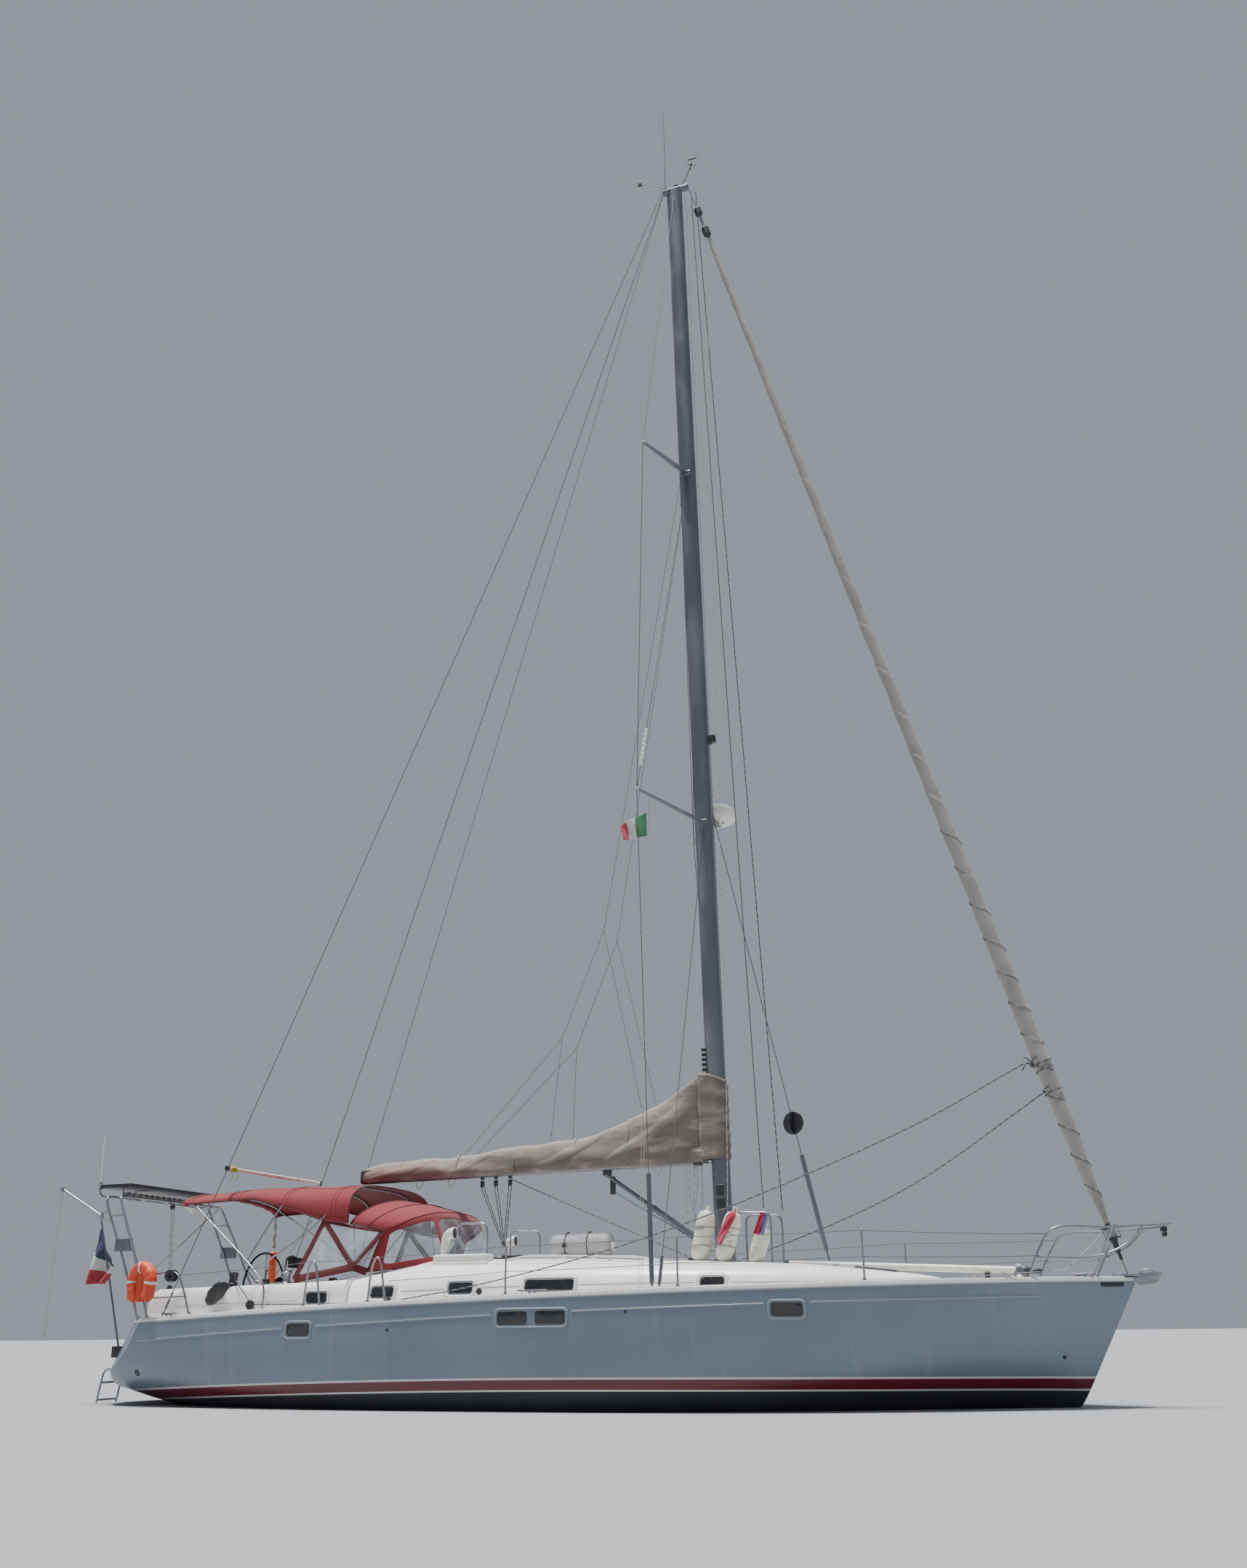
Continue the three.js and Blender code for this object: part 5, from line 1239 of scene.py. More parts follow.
family(stripes, {
    # finish: slot, ends of the first and second band, their three colours, share and tone of the dirt
    "flag_stripes": ("flag_cloth", 0.27, 0.43, (0.012, 0.02, 0.09), (0.66, 0.65, 0.62),
                     (0.42, 0.015, 0.03), 0.3, (0.2, 0.2, 0.2)),
    "courtesy_stripes": ("flag_cloth", 0.165, 0.29, (0.0, 0.16, 0.05), (0.68, 0.67, 0.64),
                         (0.45, 0.025, 0.05), 0.25, (0.25, 0.25, 0.25)),
})
family(crumpled, {
    # finish: slot, the two tones of painted light and shade on the folds
    "crimson_cloth": ("flag_cloth", (0.5, 0.012, 0.06), (0.3, 0.008, 0.04)),
    "blue_cloth": ("flag_cloth", (0.05, 0.07, 0.3), (0.3, 0.32, 0.5)),
})


@finish("gelcoat")
def studio_floor(f):
    """Pale matt floor."""
    f.surface(Base_Color=f.mix(f.noise(0.3, 2.0), (0.3, 0.305, 0.315), (0.325, 0.33, 0.34)), Roughness=0.9)


def shade(name, words, default):
    return FloatVectorProperty(name=name, description=words, default=default, size=3, min=0, max=1,
                               subtype="COLOR")


def length(name, words, default):
    return FloatProperty(name=name, description=words, default=default, min=0.0, subtype="DISTANCE",
                         unit="LENGTH")


class YachtColours(bpy.types.PropertyGroup):
    """Colours of the paints and cloths"""
    # The topside default is a grey-blue paint darkened further as painted shade, for a hull side lying in shade
    topside: shade("Topside", "Gelcoat of the hull's sides", (0.165, 0.21, 0.265))
    deck: shade("Deck", "Gelcoat of the deck and coachroof", (0.84, 0.83, 0.8))
    boot_stripe: shade("Boot stripe", "Red stripe above the waterline", (0.13, 0.009, 0.02))
    canvas: shade("Canvas", "Red canvas of the bimini and sprayhood", (0.21, 0.007, 0.014))
    sail_cover: shade("Sail cover", "Cloth over the mainsail", (0.18, 0.148, 0.132))
    # The spars' default is silver alloy darkened as painted shade, for spars standing in shade
    spar: shade("Spars", "Anodised alloy of the mast and boom", (0.15, 0.16, 0.185))


class YachtSizes(bpy.types.PropertyGroup):
    """Sizes of the repeated small parts"""
    stay: length("Stay radius", "Radius of a shroud or stay", 0.006)
    guard_wire: length("Guard wire radius", "Radius of a lifeline", 0.0042)
    rope: length("Rope radius", "Radius of a sheet or halyard", 0.0075)
    thin_rope: length("Thin line radius", "Radius of a lazy jack or lashing", 0.0045)
    rail: length("Rail radius", "Radius of a stainless rail", 0.0135)
    cloth: length("Cloth thickness", "Thickness of the canvas", 0.0025)
    window_frame: length("Window frame", "Width of the moulded frame round a window", 0.045)
    handrail: length("Handrail radius", "Radius of a coachroof handrail", 0.014)


WINDOWS = [
    # where, aft end, fore end, bottom, top of the glass
    ("hull", -3.405, -3.075, 0.875, 1.01),
    ("hull", -0.375, -0.005, 0.977, 1.115),
    ("hull", 0.115, 0.485, 0.98, 1.118),
    ("hull", 2.96, 3.3, 1.035, 1.17),
    ("coaming", -3.45, -3.16, 1.275, 1.4),
    ("house", -2.54, -2.22, 1.33, 1.455),
    ("house", -1.41, -1.08, 1.36, 1.485),
    ("house", -0.34, 0.31, 1.375, 1.5),
    ("house", 1.93, 2.21, 1.385, 1.49),
]
FRAME_CORNER = 0.062
GLASS_CORNER = 0.03
SIDES = {"hull": hull_half, "coaming": coaming_side, "house": house_side}


def side_surface(where, side):
    """Point on the hull's, coachroof's or coaming's side from x, z and how far it stands off."""
    def surface(x, z, lift):
        return xyz(x, side * (SIDES[where](x, z) + lift), z)
    return surface


def side_line(where, side, x0, x1, height, width, lift=0.0015):
    """Thin stripe along a side: its height is a function of x."""
    x = np.linspace(x0, x1, max(6, int((x1 - x0) / 0.06)))[:, None]
    across = np.array([-0.5, -0.5, -0.3, 0.3, 0.5, 0.5]) * width
    out = P(-2, 0.6, 1, 1, 0.6, -2) * lift
    z = height(x) + across
    y = side * (SIDES[where](x, z) + out)
    return lattice(xyz(x, y, z))


def cove_height(x):
    return sheer(x) - along([(-6.1, 0.232), (-4.6, 0.21), (-0.2, 0.168), (4.9, 0.155), (6.0, 0.15)], x)


def house_line(x):
    return along([(-3.2, 1.37), (-2.4, 1.393), (-1.2, 1.423), (0, 1.438), (2, 1.437), (3.9, 1.42)], x, 0.1)


def deck_edge(side, inset, lift):
    """Line along the deck's edge from the stem to the stern corner and round it to the swim platform."""
    x = np.linspace(6.9, -5.93, 170)
    rail = xyz(x, side * (deck_half(x) - inset), sheer(x) + lift)
    y = np.linspace(deck_half(-5.95) - inset - 0.03, 0.97, 16)
    aft = stern_face(y, sheer(-6.3)) + inset + 0.02
    corner = xyz(aft, side * y, sheer(aft) + lift)
    return np.concatenate([rail, corner])


class YACHT_OT_hull(bpy.types.Operator):
    """Hull with its rounded stern, swim platform and toe rails, a painted shadow under the rails, and a groove line
    along its sides drawn as painted shadow over painted highlight
    """
    bl_idname = "yacht.hull"
    bl_label = "Hull"

    def execute(self, context):
        steps = [("DIFFERENCE", stern_cutter()), *[("DIFFERENCE", cutter) for cutter in cockpit_cutters()]]
        mesh = carve(hull_solid(), steps)
        piece = dress("hull", mesh, "topside")
        mesh.materials.append(material("gelcoat"))
        centre = np.zeros(len(mesh.polygons) * 3)
        mesh.polygons.foreach_get("center", centre)
        x, y, z = centre.reshape(-1, 3).T
        inside = np.zeros(len(x), bool)
        for aft, fore, half, floor, _ in WELLS:
            inside |= (x > aft - 0.002) & (x < fore + 0.002) & (abs(y) < half + 0.002) & (z > floor - 0.002)
        mesh.polygons.foreach_set("material_index", inside.astype(np.int32))
        piece.data.update()
        lip = rounded(0.032, 0.04, 0.012)
        rails = total([sweep(deck_edge(side, 0.03, 0.034), lip, up=(0, 0, 1)) for side in BOTH])
        put("toe_rails", rails, "white_plastic")
        # Painted shadow under the toe rail: a dark strip along the top of the hull's side
        shadow = total([sweep(deck_edge(side, -0.002, -0.012), rounded(0.006, 0.016, 0.003), up=(0, 0, 1))
                        for side in BOTH])
        put("rubbing_line", shadow, "cove")
        # The groove line along the hull: a dark strip of painted shadow above a pale strip of painted highlight, for
        # the groove's shaded and lit edges
        runs = [(-6.1, -3.5), (-2.98, -0.47), (0.58, 2.87), (3.39, 5.9)]
        dark = [side_line("hull", side, *run, lambda x: cove_height(x) + 0.009, 0.014, 0.003)
                for side in BOTH for run in runs]
        pale = [side_line("hull", side, *run, lambda x: cove_height(x) - 0.006, 0.017, 0.007)
                for side in BOTH for run in runs]
        put("cove_shadow", dark, "cove")
        put("cove_bead", pale, "pale_line")
        small = []
        for side in BOTH:
            surface = side_surface("hull", side)
            for x, z, radius in [(6.05, 0.55, 0.022), (1.25, 1.1, 0.02), (-1.9, 0.93, 0.018),
                                 (-6.1, 0.42, 0.045)]:
                profile = [(0.0, -0.004), (0.002, 0.006), (0.008, 0.008), (0.012, 0.003)]
                small.append(fitted(surface, (x, z), 2 * radius, 2 * radius, radius, profile, filled=True))
        put("through_hulls", small, "black_plastic")
        return {"FINISHED"}


class YACHT_OT_windows(bpy.types.Operator):
    """Fixed windows of the hull, coachroof and coaming: smoked glass in raised moulded frames"""
    bl_idname = "yacht.windows"
    bl_label = "Windows"

    def execute(self, context):
        wide = context.scene.yacht_sizes.window_frame
        frames = {"hull": [], "coaming": [], "house": []}
        panes = []
        rubber = []
        shadows = []
        bead = [(0.0, -0.006), (0.0, 0.005), (0.004, 0.012), (0.012, 0.015), (0.02, 0.012), (0.026, 0.003),
                (0.028, -0.006)]
        seal = [(0.0, -0.005), (0.0, 0.006), (0.003, 0.009), (0.007, 0.008), (0.008, -0.005)]
        pane = [(0.0, -0.006), (0.0, 0.0035), (0.003, 0.0055)]
        shadow = [(0.0, -0.006), (0.0, 0.004), (0.009, 0.004), (0.01, -0.006)]
        for side in BOTH:
            rows = [(where, x0 - wide, x1 + wide, z0 - wide, z1 + wide) for where, x0, x1, z0, z1 in WINDOWS]
            twin = [row for row in rows if row[0] == "hull" and -0.6 < row[1] < 0.3]
            around = [row for row in rows if row not in twin]
            around.append(("hull", twin[0][1], twin[1][2], twin[0][3], twin[1][4]))
            for where, x0, x1, z0, z1 in around:
                surface = side_surface(where, side)
                centre = ((x0 + x1) / 2, (z0 + z1) / 2)
                frames[where].append(fitted(surface, centre, x1 - x0, z1 - z0, FRAME_CORNER, bead))
                # Painted shadow lines: one just outside each frame and one inside it next to the glass
                for grow in (0.008, -0.027):
                    shadows.append(fitted(surface, centre, x1 - x0 + 2 * grow, z1 - z0 + 2 * grow,
                                          FRAME_CORNER + grow, shadow))
            for where, x0, x1, z0, z1 in WINDOWS:
                surface = side_surface(where, side)
                centre = ((x0 + x1) / 2, (z0 + z1) / 2)
                rubber.append(fitted(surface, centre, x1 - x0 + 0.008, z1 - z0 + 0.008,
                                     GLASS_CORNER + 0.004, seal))
                panes.append(fitted(surface, centre, x1 - x0, z1 - z0, GLASS_CORNER, pane, filled=True))
        # The hull's frames take the pale line's painted highlight on their raised rims
        put("hull_window_frames", frames["hull"], "pale_line")
        put("window_frames", frames["house"] + frames["coaming"], "gelcoat")
        put("window_shadows", shadows, "cove")
        put("window_seals", rubber, "black_plastic")
        put("window_glass", panes, "dark_glass")
        gaps = [(-2.1, -1.48), (-1.0, -0.42), (0.4, 1.85), (2.3, 3.85)]
        lines = [side_line("house", side, *gap, house_line, 0.014, 0.005) for side in BOTH for gap in gaps]
        lines += [side_line("coaming", side, -5.6, -3.6, lambda x: 1.31 + 0.02 * (x + 3.6), 0.01, 0.005)
                  for side in BOTH]
        put("house_stripe", lines, "beige")
        return {"FINISHED"}


def roof_at(x, y):
    """Height of the coachroof's skin: the section's sine is solved from its cosine by a few repeats."""
    lift = np.ones(np.broadcast(x, y).shape)
    for _ in range(12):
        cosine = np.abs(y) / (house_half(x) * (1 - 0.1 * lift))
        lift = np.clip(1 - cosine ** 4.444, 0.0, 1) ** 0.25
    base = sheer(x) + 0.01
    return base + (roof_top(x) - base) * lift


def fixed(value):
    """Function of x that stays the same."""
    return lambda x: value + 0 * x


def tread(x0, x1, inner, outer, height, sides=BOTH, steps=None):
    """Thin raised panel on a deck or roof between two edges, each a function of x; corners are rounded off
    by drawing the edges together at both ends."""
    x = np.concatenate([x0 + P(0, 0.012, 0.035), np.linspace(x0 + 0.08, x1 - 0.08, steps or 30),
                        x1 - P(0.035, 0.012, 0)])[:, None]
    ends = np.minimum(x - x0, x1 - x).clip(0, 0.08) / 0.08
    draw = 0.05 * (1 - np.sqrt(np.clip(1 - (1 - ends) ** 2, 0, 1)))
    low, high = inner(x) + draw, np.maximum(outer(x) - draw, inner(x) + draw + 0.01)
    share = np.linspace(0, 1, 14)
    y = low + share * (high - low)
    shapes = []
    for side in sides:
        top = height(x, y) + 0.003
        grid = xyz(x, side * np.concatenate([y, y[:, ::-1]], axis=1),
                   np.concatenate([top, top[:, ::-1] - 0.006], axis=1))
        shapes.append(lattice(grid))
    return total(shapes)


# Companionway slide: aft end, fore end, half width, seat, thickness and travel
SLIDE = (-2.325, -1.79, 0.33, 1.738, 0.026, 0.48)


class YACHT_OT_deck(bpy.types.Operator):
    """Deck, coachroof and cockpit coamings in one moulding, with treads, teak and handrails"""
    bl_idname = "yacht.deck"
    bl_label = "Deck and coachroof"

    def execute(self, context):
        aft, fore, half, low, _, travel = SLIDE
        coaming = coaming_solid()
        steps = [
            ("UNION", coaming),
            ("UNION", coaming.mirrored()),
            ("DIFFERENCE", block((-3.4, -1.08, 1.0), (-2.33, 1.08, 2.6), 0.02)),
            ("DIFFERENCE", block((-5.95, -1.05, 1.0), (-3.39, 1.05, 2.6), 0.02)),
            ("UNION", deck_solid()),
            *[("DIFFERENCE", lid_recess(*row[:3])) for row in LIDS.values()],
            ("DIFFERENCE", stern_cutter()),
            *[("DIFFERENCE", cutter) for cutter in cockpit_cutters()],
            ("DIFFERENCE", block((aft - 0.06, -half - 0.005, low),
                                 (fore + travel + 0.008, half + 0.005, low + 0.032), 0.001)),
            ("DIFFERENCE", block((aft - 0.06, -half - 0.005, low), (fore + 0.008, half + 0.005, 2.6), 0.004)),
            ("DIFFERENCE", block((-2.5, -0.28, 1.33), (-1.9, 0.28, 2.6), 0.02)),
        ]
        dress("deck", carve(house_solid(), steps), "gelcoat", sharp=28)
        treads = [
            tread(-2.9, 4.3, lambda x: house_half(x) + 0.05, lambda x: deck_half(x) - 0.1, deck_top,
                  steps=90),
            tread(-5.6, -3.1, fixed(1.5), lambda x: deck_half(x) - 0.1, deck_top),
            tread(4.95, 5.82, fixed(0.03), lambda x: deck_half(x) - 0.09, deck_top),
            tread(5.8, 6.5, fixed(0.26), lambda x: deck_half(x) - 0.07, deck_top),
            tread(-0.95, 0.8, fixed(0.04), lambda x: house_half(x) - 0.3, roof_at),
            tread(1.5, 3.5, fixed(0.35), lambda x: house_half(x) - 0.28, roof_at),
        ]
        put("treads", treads, "nonskid", sharp=50)
        planks = [
            block((-4.62, -0.39, 0.79), (-2.52, 0.39, 0.798), 0.003),
            block((-5.64, -0.96, 0.79), (-4.76, 0.96, 0.798), 0.003),
            block((-6.15, -0.26, 0.79), (-5.72, 0.26, 0.798), 0.003),
            tread(-5.55, -3.5, fixed(0.47), fixed(1.0), deck_top),
            block((-6.86, -0.9, 0.43), (-6.56, 0.9, 0.437), 0.003),
        ]
        put("teak", planks, "teak")
        rails = []
        for side in BOTH:
            x = np.linspace(-0.85, 1.4, 7)
            y = 0.97 * np.ones(7)
            z = roof_at(x, y)
            path = xyz(x, side * y, z + 0.055)
            path[[0, -1], 2] -= 0.055
            rails.append(tube(path, context.scene.yacht_sizes.handrail, 10))
            rails += [rod((x[k], side * 0.97, z[k] - 0.004), (x[k], side * 0.97, z[k] + 0.05), 0.016, 0.011)
                      for k in (2, 4)]
        put("roof_handrails", rails, "white_plastic")
        return {"FINISHED"}


# Spreaders: height of the root, reach to the side, sweep aft and rise of the tip
SPREADERS = {"lower": (7.8, 1.35, 0.59, 0.16), "upper": (13.79, 1.0, 0.44, 0.11)}
# Share of a spreader's reach where its shroud passes
SPREADER_TIP = 0.985
# Chainplate of the cap shroud: x and half breadth
CHAINPLATE = (1.485, 1.76)


def mast_x(z):
    return np.interp(z, [MAST_FOOT[1], MAST_HEAD[1]], [MAST_FOOT[0], MAST_HEAD[0]])


def spreader_at(which, side, share):
    z, reach, sweep_back, rise = SPREADERS[which]
    return P(mast_x(z) - sweep_back * share, side * reach * share, z + rise * share)


def mast_front(z):
    return mast_x(z) + MAST_CHORD / 2


# Wind vane at the masthead: x of its post
VANE_X = 1.96


class YACHT_OT_mast(bpy.types.Operator):
    """Mast extrusion with its luff track, collar, masthead crane, spreaders, lights and wind gear"""
    bl_idname = "yacht.mast"
    bl_label = "Mast and spreaders"

    def execute(self, context):
        z = np.concatenate([np.linspace(MAST_FOOT[1] - 0.02, 17, 40), np.linspace(17.3, MAST_HEAD[1], 10)])
        ring = circle(40)
        x = mast_x(z)[:, None] + MAST_CHORD / 2 * signed(ring[:, 0], 0.9)
        tube_shape = lattice(xyz(x, MAST_WIDTH / 2 * ring[:, 1], z[:, None]))
        track = xyz(mast_x(z) - MAST_CHORD / 2 - 0.006, 0, z)[z > 3.3]
        spar_parts = [tube_shape, sweep(track, rounded(0.02, 0.034, 0.004), up=(1, 0, 0))]
        top_x, top_z = MAST_HEAD
        spar_parts += [
            block((top_x - 0.225, -0.043, top_z - 0.05), (top_x + 0.245, 0.043, top_z + 0.044), 0.012),
            block((top_x - 0.11, -0.07, top_z - 0.02), (top_x + 0.11, 0.07, top_z + 0.012), 0.01),
        ]
        for height, *_ in SPREADERS.values():
            spar_parts.append(block((mast_x(height) - 0.06, -0.088, height - 0.045),
                                    (mast_x(height) + 0.06, 0.088, height + 0.045), 0.018))
        for low, high in ((2.985, 3.125), (1.862, 1.938)):
            for z0 in (low - 0.014, high):
                spar_parts.append(block((GOOSENECK_X - 0.022, -0.03, z0),
                                        (mast_x(z0) - 0.1, 0.03, z0 + 0.014), 0.004))
            spar_parts.append(rod((GOOSENECK_X, 0, low - 0.02), (GOOSENECK_X, 0, high + 0.02), 0.012))
        foot = (MAST_FOOT[0], 0, 0)
        collar = turned([(0.0, 1.7), (0.148, 1.7), (0.15, 1.73), (0.144, 1.745), (0.12, 1.752),
                         (0.0, 1.752)], foot, sides=48)
        put("mast", [*spar_parts, collar], "spar")
        aerial = rod((top_x - 0.178, 0, top_z + 0.04), (top_x - 0.178, 0, 21.565), 0.005, 0.0025)
        base = turned([(0, 0), (0.016, 0), (0.016, 0.05), (0.01, 0.09), (0, 0.09)],
                      (top_x - 0.178, 0, top_z + 0.04))
        fittings = [aerial, base, tube([(top_x - 0.12, 0, top_z + 0.03), (1.3, 0, 19.92), (1.02, 0, 20.06)],
                                       0.006), block((0.96, -0.004, 20.02), (1.03, 0.004, 20.12), 0.003),
                    rod((1.02, 0, 20.06), (1.25, 0, 20.02), 0.003),
                    tube([(top_x + 0.1, 0, top_z + 0.03), (1.86, 0, 19.95), (VANE_X, 0, 20.2)], 0.007),
                    rod((VANE_X, 0, 20.2), (VANE_X, 0, 20.32), 0.004),
                    ball((VANE_X, 0, 20.2), (0.02, 0.02, 0.03)),
                    block((1.9, -0.003, 20.3), (2.06, 0.003, 20.34), 0.002),
                    turned([(0, 0), (0.03, 0), (0.034, 0.01), (0.034, 0.07), (0.025, 0.085), (0, 0.085)],
                           (top_x + 0.02, 0, top_z + 0.04))]
        for turn in range(3):
            arm = rod((VANE_X, 0, 20.15), (2.03, 0, 20.15), 0.003) + ball((2.03, 0, 20.15), 0.014, 10)
            fittings.append(arm.turned((0, 0, 1), turn * 2.094, (VANE_X, 0, 20.15)))
        light_z = 9.11
        front = mast_front(light_z)
        fittings += [
            block((front - 0.01, -0.035, light_z - 0.07), (front + 0.04, 0.035, light_z + 0.07), 0.012),
            turned([(0, -0.05), (0.045, -0.05), (0.05, 0), (0.04, 0.06), (0, 0.06)],
                   (front + 0.06, 0, light_z)),
        ]
        for z in np.linspace(4.02, 4.5, 8):
            fittings.append(block((mast_x(z) - 0.2, -0.02, z - 0.024), (mast_x(z) - 0.13, 0.02, z + 0.024),
                                  0.008))
        for z, side in ((2.45, -1), (2.8, 1), (2.62, -1)):
            fittings.append(block((mast_x(z) - 0.06, side * 0.075 - 0.02, z - 0.07),
                                  (mast_x(z) + 0.05, side * 0.075 + 0.02, z + 0.07), 0.012))
        put("mast_fittings", fittings, "black_plastic")
        for which in SPREADERS:
            for side in BOTH:
                share = np.concatenate([[0.055], np.linspace(0.1, 0.97, 12), [1.0]])
                middle = np.stack([spreader_at(which, side, s) for s in share])
                chord = np.interp(share, [0, 0.97, 1], [0.06, 0.03, 0.016])
                thin = np.interp(share, [0, 0.97, 1], [0.019, 0.013, 0.006])
                ring = circle(20)
                grid = middle[:, None] + xyz(chord[:, None] * ring[:, 0], 0, thin[:, None] * ring[:, 1])
                put(f"{which}_spreader_{SIDE_NAME[side]}", lattice(grid), "spar")
        tips = [ball(spreader_at(which, side, SPREADER_TIP), (0.036, 0.03, 0.024), 16)
                for which in SPREADERS for side in BOTH]
        put("spreader_boots", tips, "grey_plastic")
        return {"FINISHED"}


def bottle_screw(foot, head, start=0.04, long=0.34):
    """Rigging screw at the foot of a wire: forks at both ends and a slimmer barrel between."""
    foot = P(*foot)
    run = unit(P(*head) - foot)
    sizes = [(0, 0.008), (0.02, 0.014), (0.06, 0.014), (0.065, 0.009), (0.12, 0.009), (0.125, 0.015),
             (0.24, 0.015), (0.245, 0.009), (0.3, 0.009), (0.31, 0.012), (0.36, 0.011), (0.37, 0.006)]
    path = np.stack([foot + run * (start + at * long / 0.37) for at, size in sizes])
    return sweep(path, circle(10), P(*[size for at, size in sizes]))


# Bar between the backstays: x and height
BAR_X = -5.041
BAR_Z = 3.1
# Height of the anchor ball on the babystay
BALL_Z = 3.44


class YACHT_OT_standing_rigging(bpy.types.Operator):
    """Shrouds, stays and their screws, tube covers, backstay bar, anchor ball, radar reflector and radome"""
    bl_idname = "yacht.standing_rigging"
    bl_label = "Standing rigging"

    def execute(self, context):
        stay = context.scene.yacht_sizes.stay
        for side in BOTH:
            deck = deck_top(CHAINPLATE[0], CHAINPLATE[1]) - 0.004
            cap_foot = P(CHAINPLATE[0], side * CHAINPLATE[1], deck)
            low_foot = P(1.56, side * 1.73, deck)
            low_tip, high_tip = (spreader_at(which, side, SPREADER_TIP) for which in SPREADERS)
            low_head = P(mast_x(7.7), side * 0.07, 7.7)
            mid_head = P(mast_x(13.7), side * 0.068, 13.7)
            cap_head = P(mast_x(19.56), side * 0.06, 19.56)
            wires = [(cap_foot, low_tip), (low_tip, high_tip), (high_tip, cap_head), (low_foot, low_head),
                     (low_tip, mid_head)]
            shapes = [line(*ends, stay) for ends in wires]
            shapes += [bottle_screw(cap_foot, low_tip), bottle_screw(low_foot, low_head)]
            shapes.append(block(cap_foot - P(0.06, 0.012, 0.0), cap_foot + P(0.11, 0.012, 0.03), 0.006))
            put(f"shrouds_{SIDE_NAME[side]}", shapes, "wire")
            cap_run, low_run = low_tip - cap_foot, low_head - low_foot
            covers = [rod(cap_foot + 0.012 * cap_run, cap_foot + 0.205 * cap_run, 0.029),
                      rod(low_foot + 0.012 * low_run, low_foot + 0.06 * low_run, 0.02)]
            put(f"shroud_covers_{SIDE_NAME[side]}", covers, "spar")
        foot, head = P(3.275, 0, 1.69), P(mast_x(7.96) + 0.118, 0, 7.96)
        run = head - foot
        put("babystay", line(foot, head, stay) + bottle_screw(foot, head, 0.0), "wire")
        put("babystay_tube", rod(foot + 0.02 * run, foot + 0.212 * run, 0.03), "spar")
        centre = foot + (BALL_Z - foot[2]) / run[2] * run
        disc = [(0.0, -0.006), (0.146, -0.006), (0.151, 0), (0.146, 0.006), (0.0, 0.006)]
        plates = [turned(disc, centre, axis, 64) for axis in ((0.25, 1, 0), (1, -0.25, 0))]
        put("anchor_ball", plates, "black_plastic")
        wires = []
        for side in BOTH:
            foot = P(-5.79, side * 1.4, deck_top(-5.79, 1.4) - 0.004)
            head = P(1.405, side * 0.03, 19.69)
            wires += [line(foot, head, stay), bottle_screw(foot, head)]
        wires += [rod((BAR_X, side * 1.257, BAR_Z), (-5.035, side * 1.2, BAR_Z), 0.02) for side in BOTH]
        put("backstays", wires, "wire")
        bar = [(BAR_X, side * 1.22, BAR_Z) for side in BOTH]
        put("backstay_bar", rod(*bar, 0.022, 0.027), "fender_vinyl")
        ends = [block((-5.07, side * 1.235 - 0.03, 3.065), (-5.012, side * 1.235 + 0.03, 3.135), 0.014)
                for side in BOTH]
        put("bar_ends", ends, "black_plastic")
        t = np.linspace(0, 1, 90)
        wind = xyz(BAR_X + 0.033 * np.cos(t * 50), -1.16 + 0.13 * t, BAR_Z + 0.033 * np.sin(t * 50))
        tails = [curve([(-5.05, -1.1, 3.08), (-5.06, -1.08, 3.0), (-5.04, -1.12, 2.93)]),
                 curve([(-5.03, -1.05, 3.08), (-5.01, -1.0, 3.02), (-5.02, -1.03, 2.95)])]
        put("bar_lashing", [sweep(path, circle(6), 0.006) for path in [wind, *tails]], "yellow_rope")
        stay_low, stay_high = spreader_at("lower", -1, SPREADER_TIP), P(mast_x(13.7), -0.068, 13.7)
        beads = [ball(stay_low + (stay_high - stay_low) * at, (0.028, 0.028, 0.036), 12)
                 for at in np.linspace(0.07, 0.165, 8)]
        put("radar_reflector", beads, "white_plastic")
        profile = [(0, 0), (0.25, 0), (0.28, 0.018), (0.3, 0.05), (0.305, 0.09), (0.3, 0.1), (0.302, 0.106),
                   (0.305, 0.125), (0.302, 0.15), (0.285, 0.195), (0.25, 0.219), (0.2, 0.235), (0.1, 0.245),
                   (0, 0.247)]
        put("radome", turned(profile, (1.856, 0.415, 7.935), sides=56), "white_plastic")
        arms = [block((1.80, 0.06, 7.885), (1.92, 0.5, 7.915), 0.008),
                block((1.82, 0.06, 7.78), (1.9, 0.1, 7.9), 0.01),
                tube([(1.86, 0.09, 7.8), (1.86, 0.25, 7.84), (1.86, 0.4, 7.9)], 0.016)]
        arms += [rod((1.856 + 0.12 * side, 0.415, 7.91), (1.856 + 0.12 * side, 0.415, 7.94), 0.012)
                 for side in BOTH]
        put("radome_bracket", arms, "spar")
        return {"FINISHED"}


# Forestay
STAY_FOOT = P(6.86, 0, 1.44)
STAY_HEAD = P(1.907, 0, 19.64)
# Furled headsail: radius at a height
FURLED = [(2.04, 0.026), (2.3, 0.062), (3.0, 0.092), (4.1, 0.108), (6.5, 0.097), (10.0, 0.082), (14.0, 0.066),
          (17.6, 0.046), (18.45, 0.03)]


def stay_at(z):
    share = (np.asarray(z, float) - STAY_FOOT[2]) / (STAY_HEAD - STAY_FOOT)[2]
    return STAY_FOOT + share[..., None] * (STAY_HEAD - STAY_FOOT)


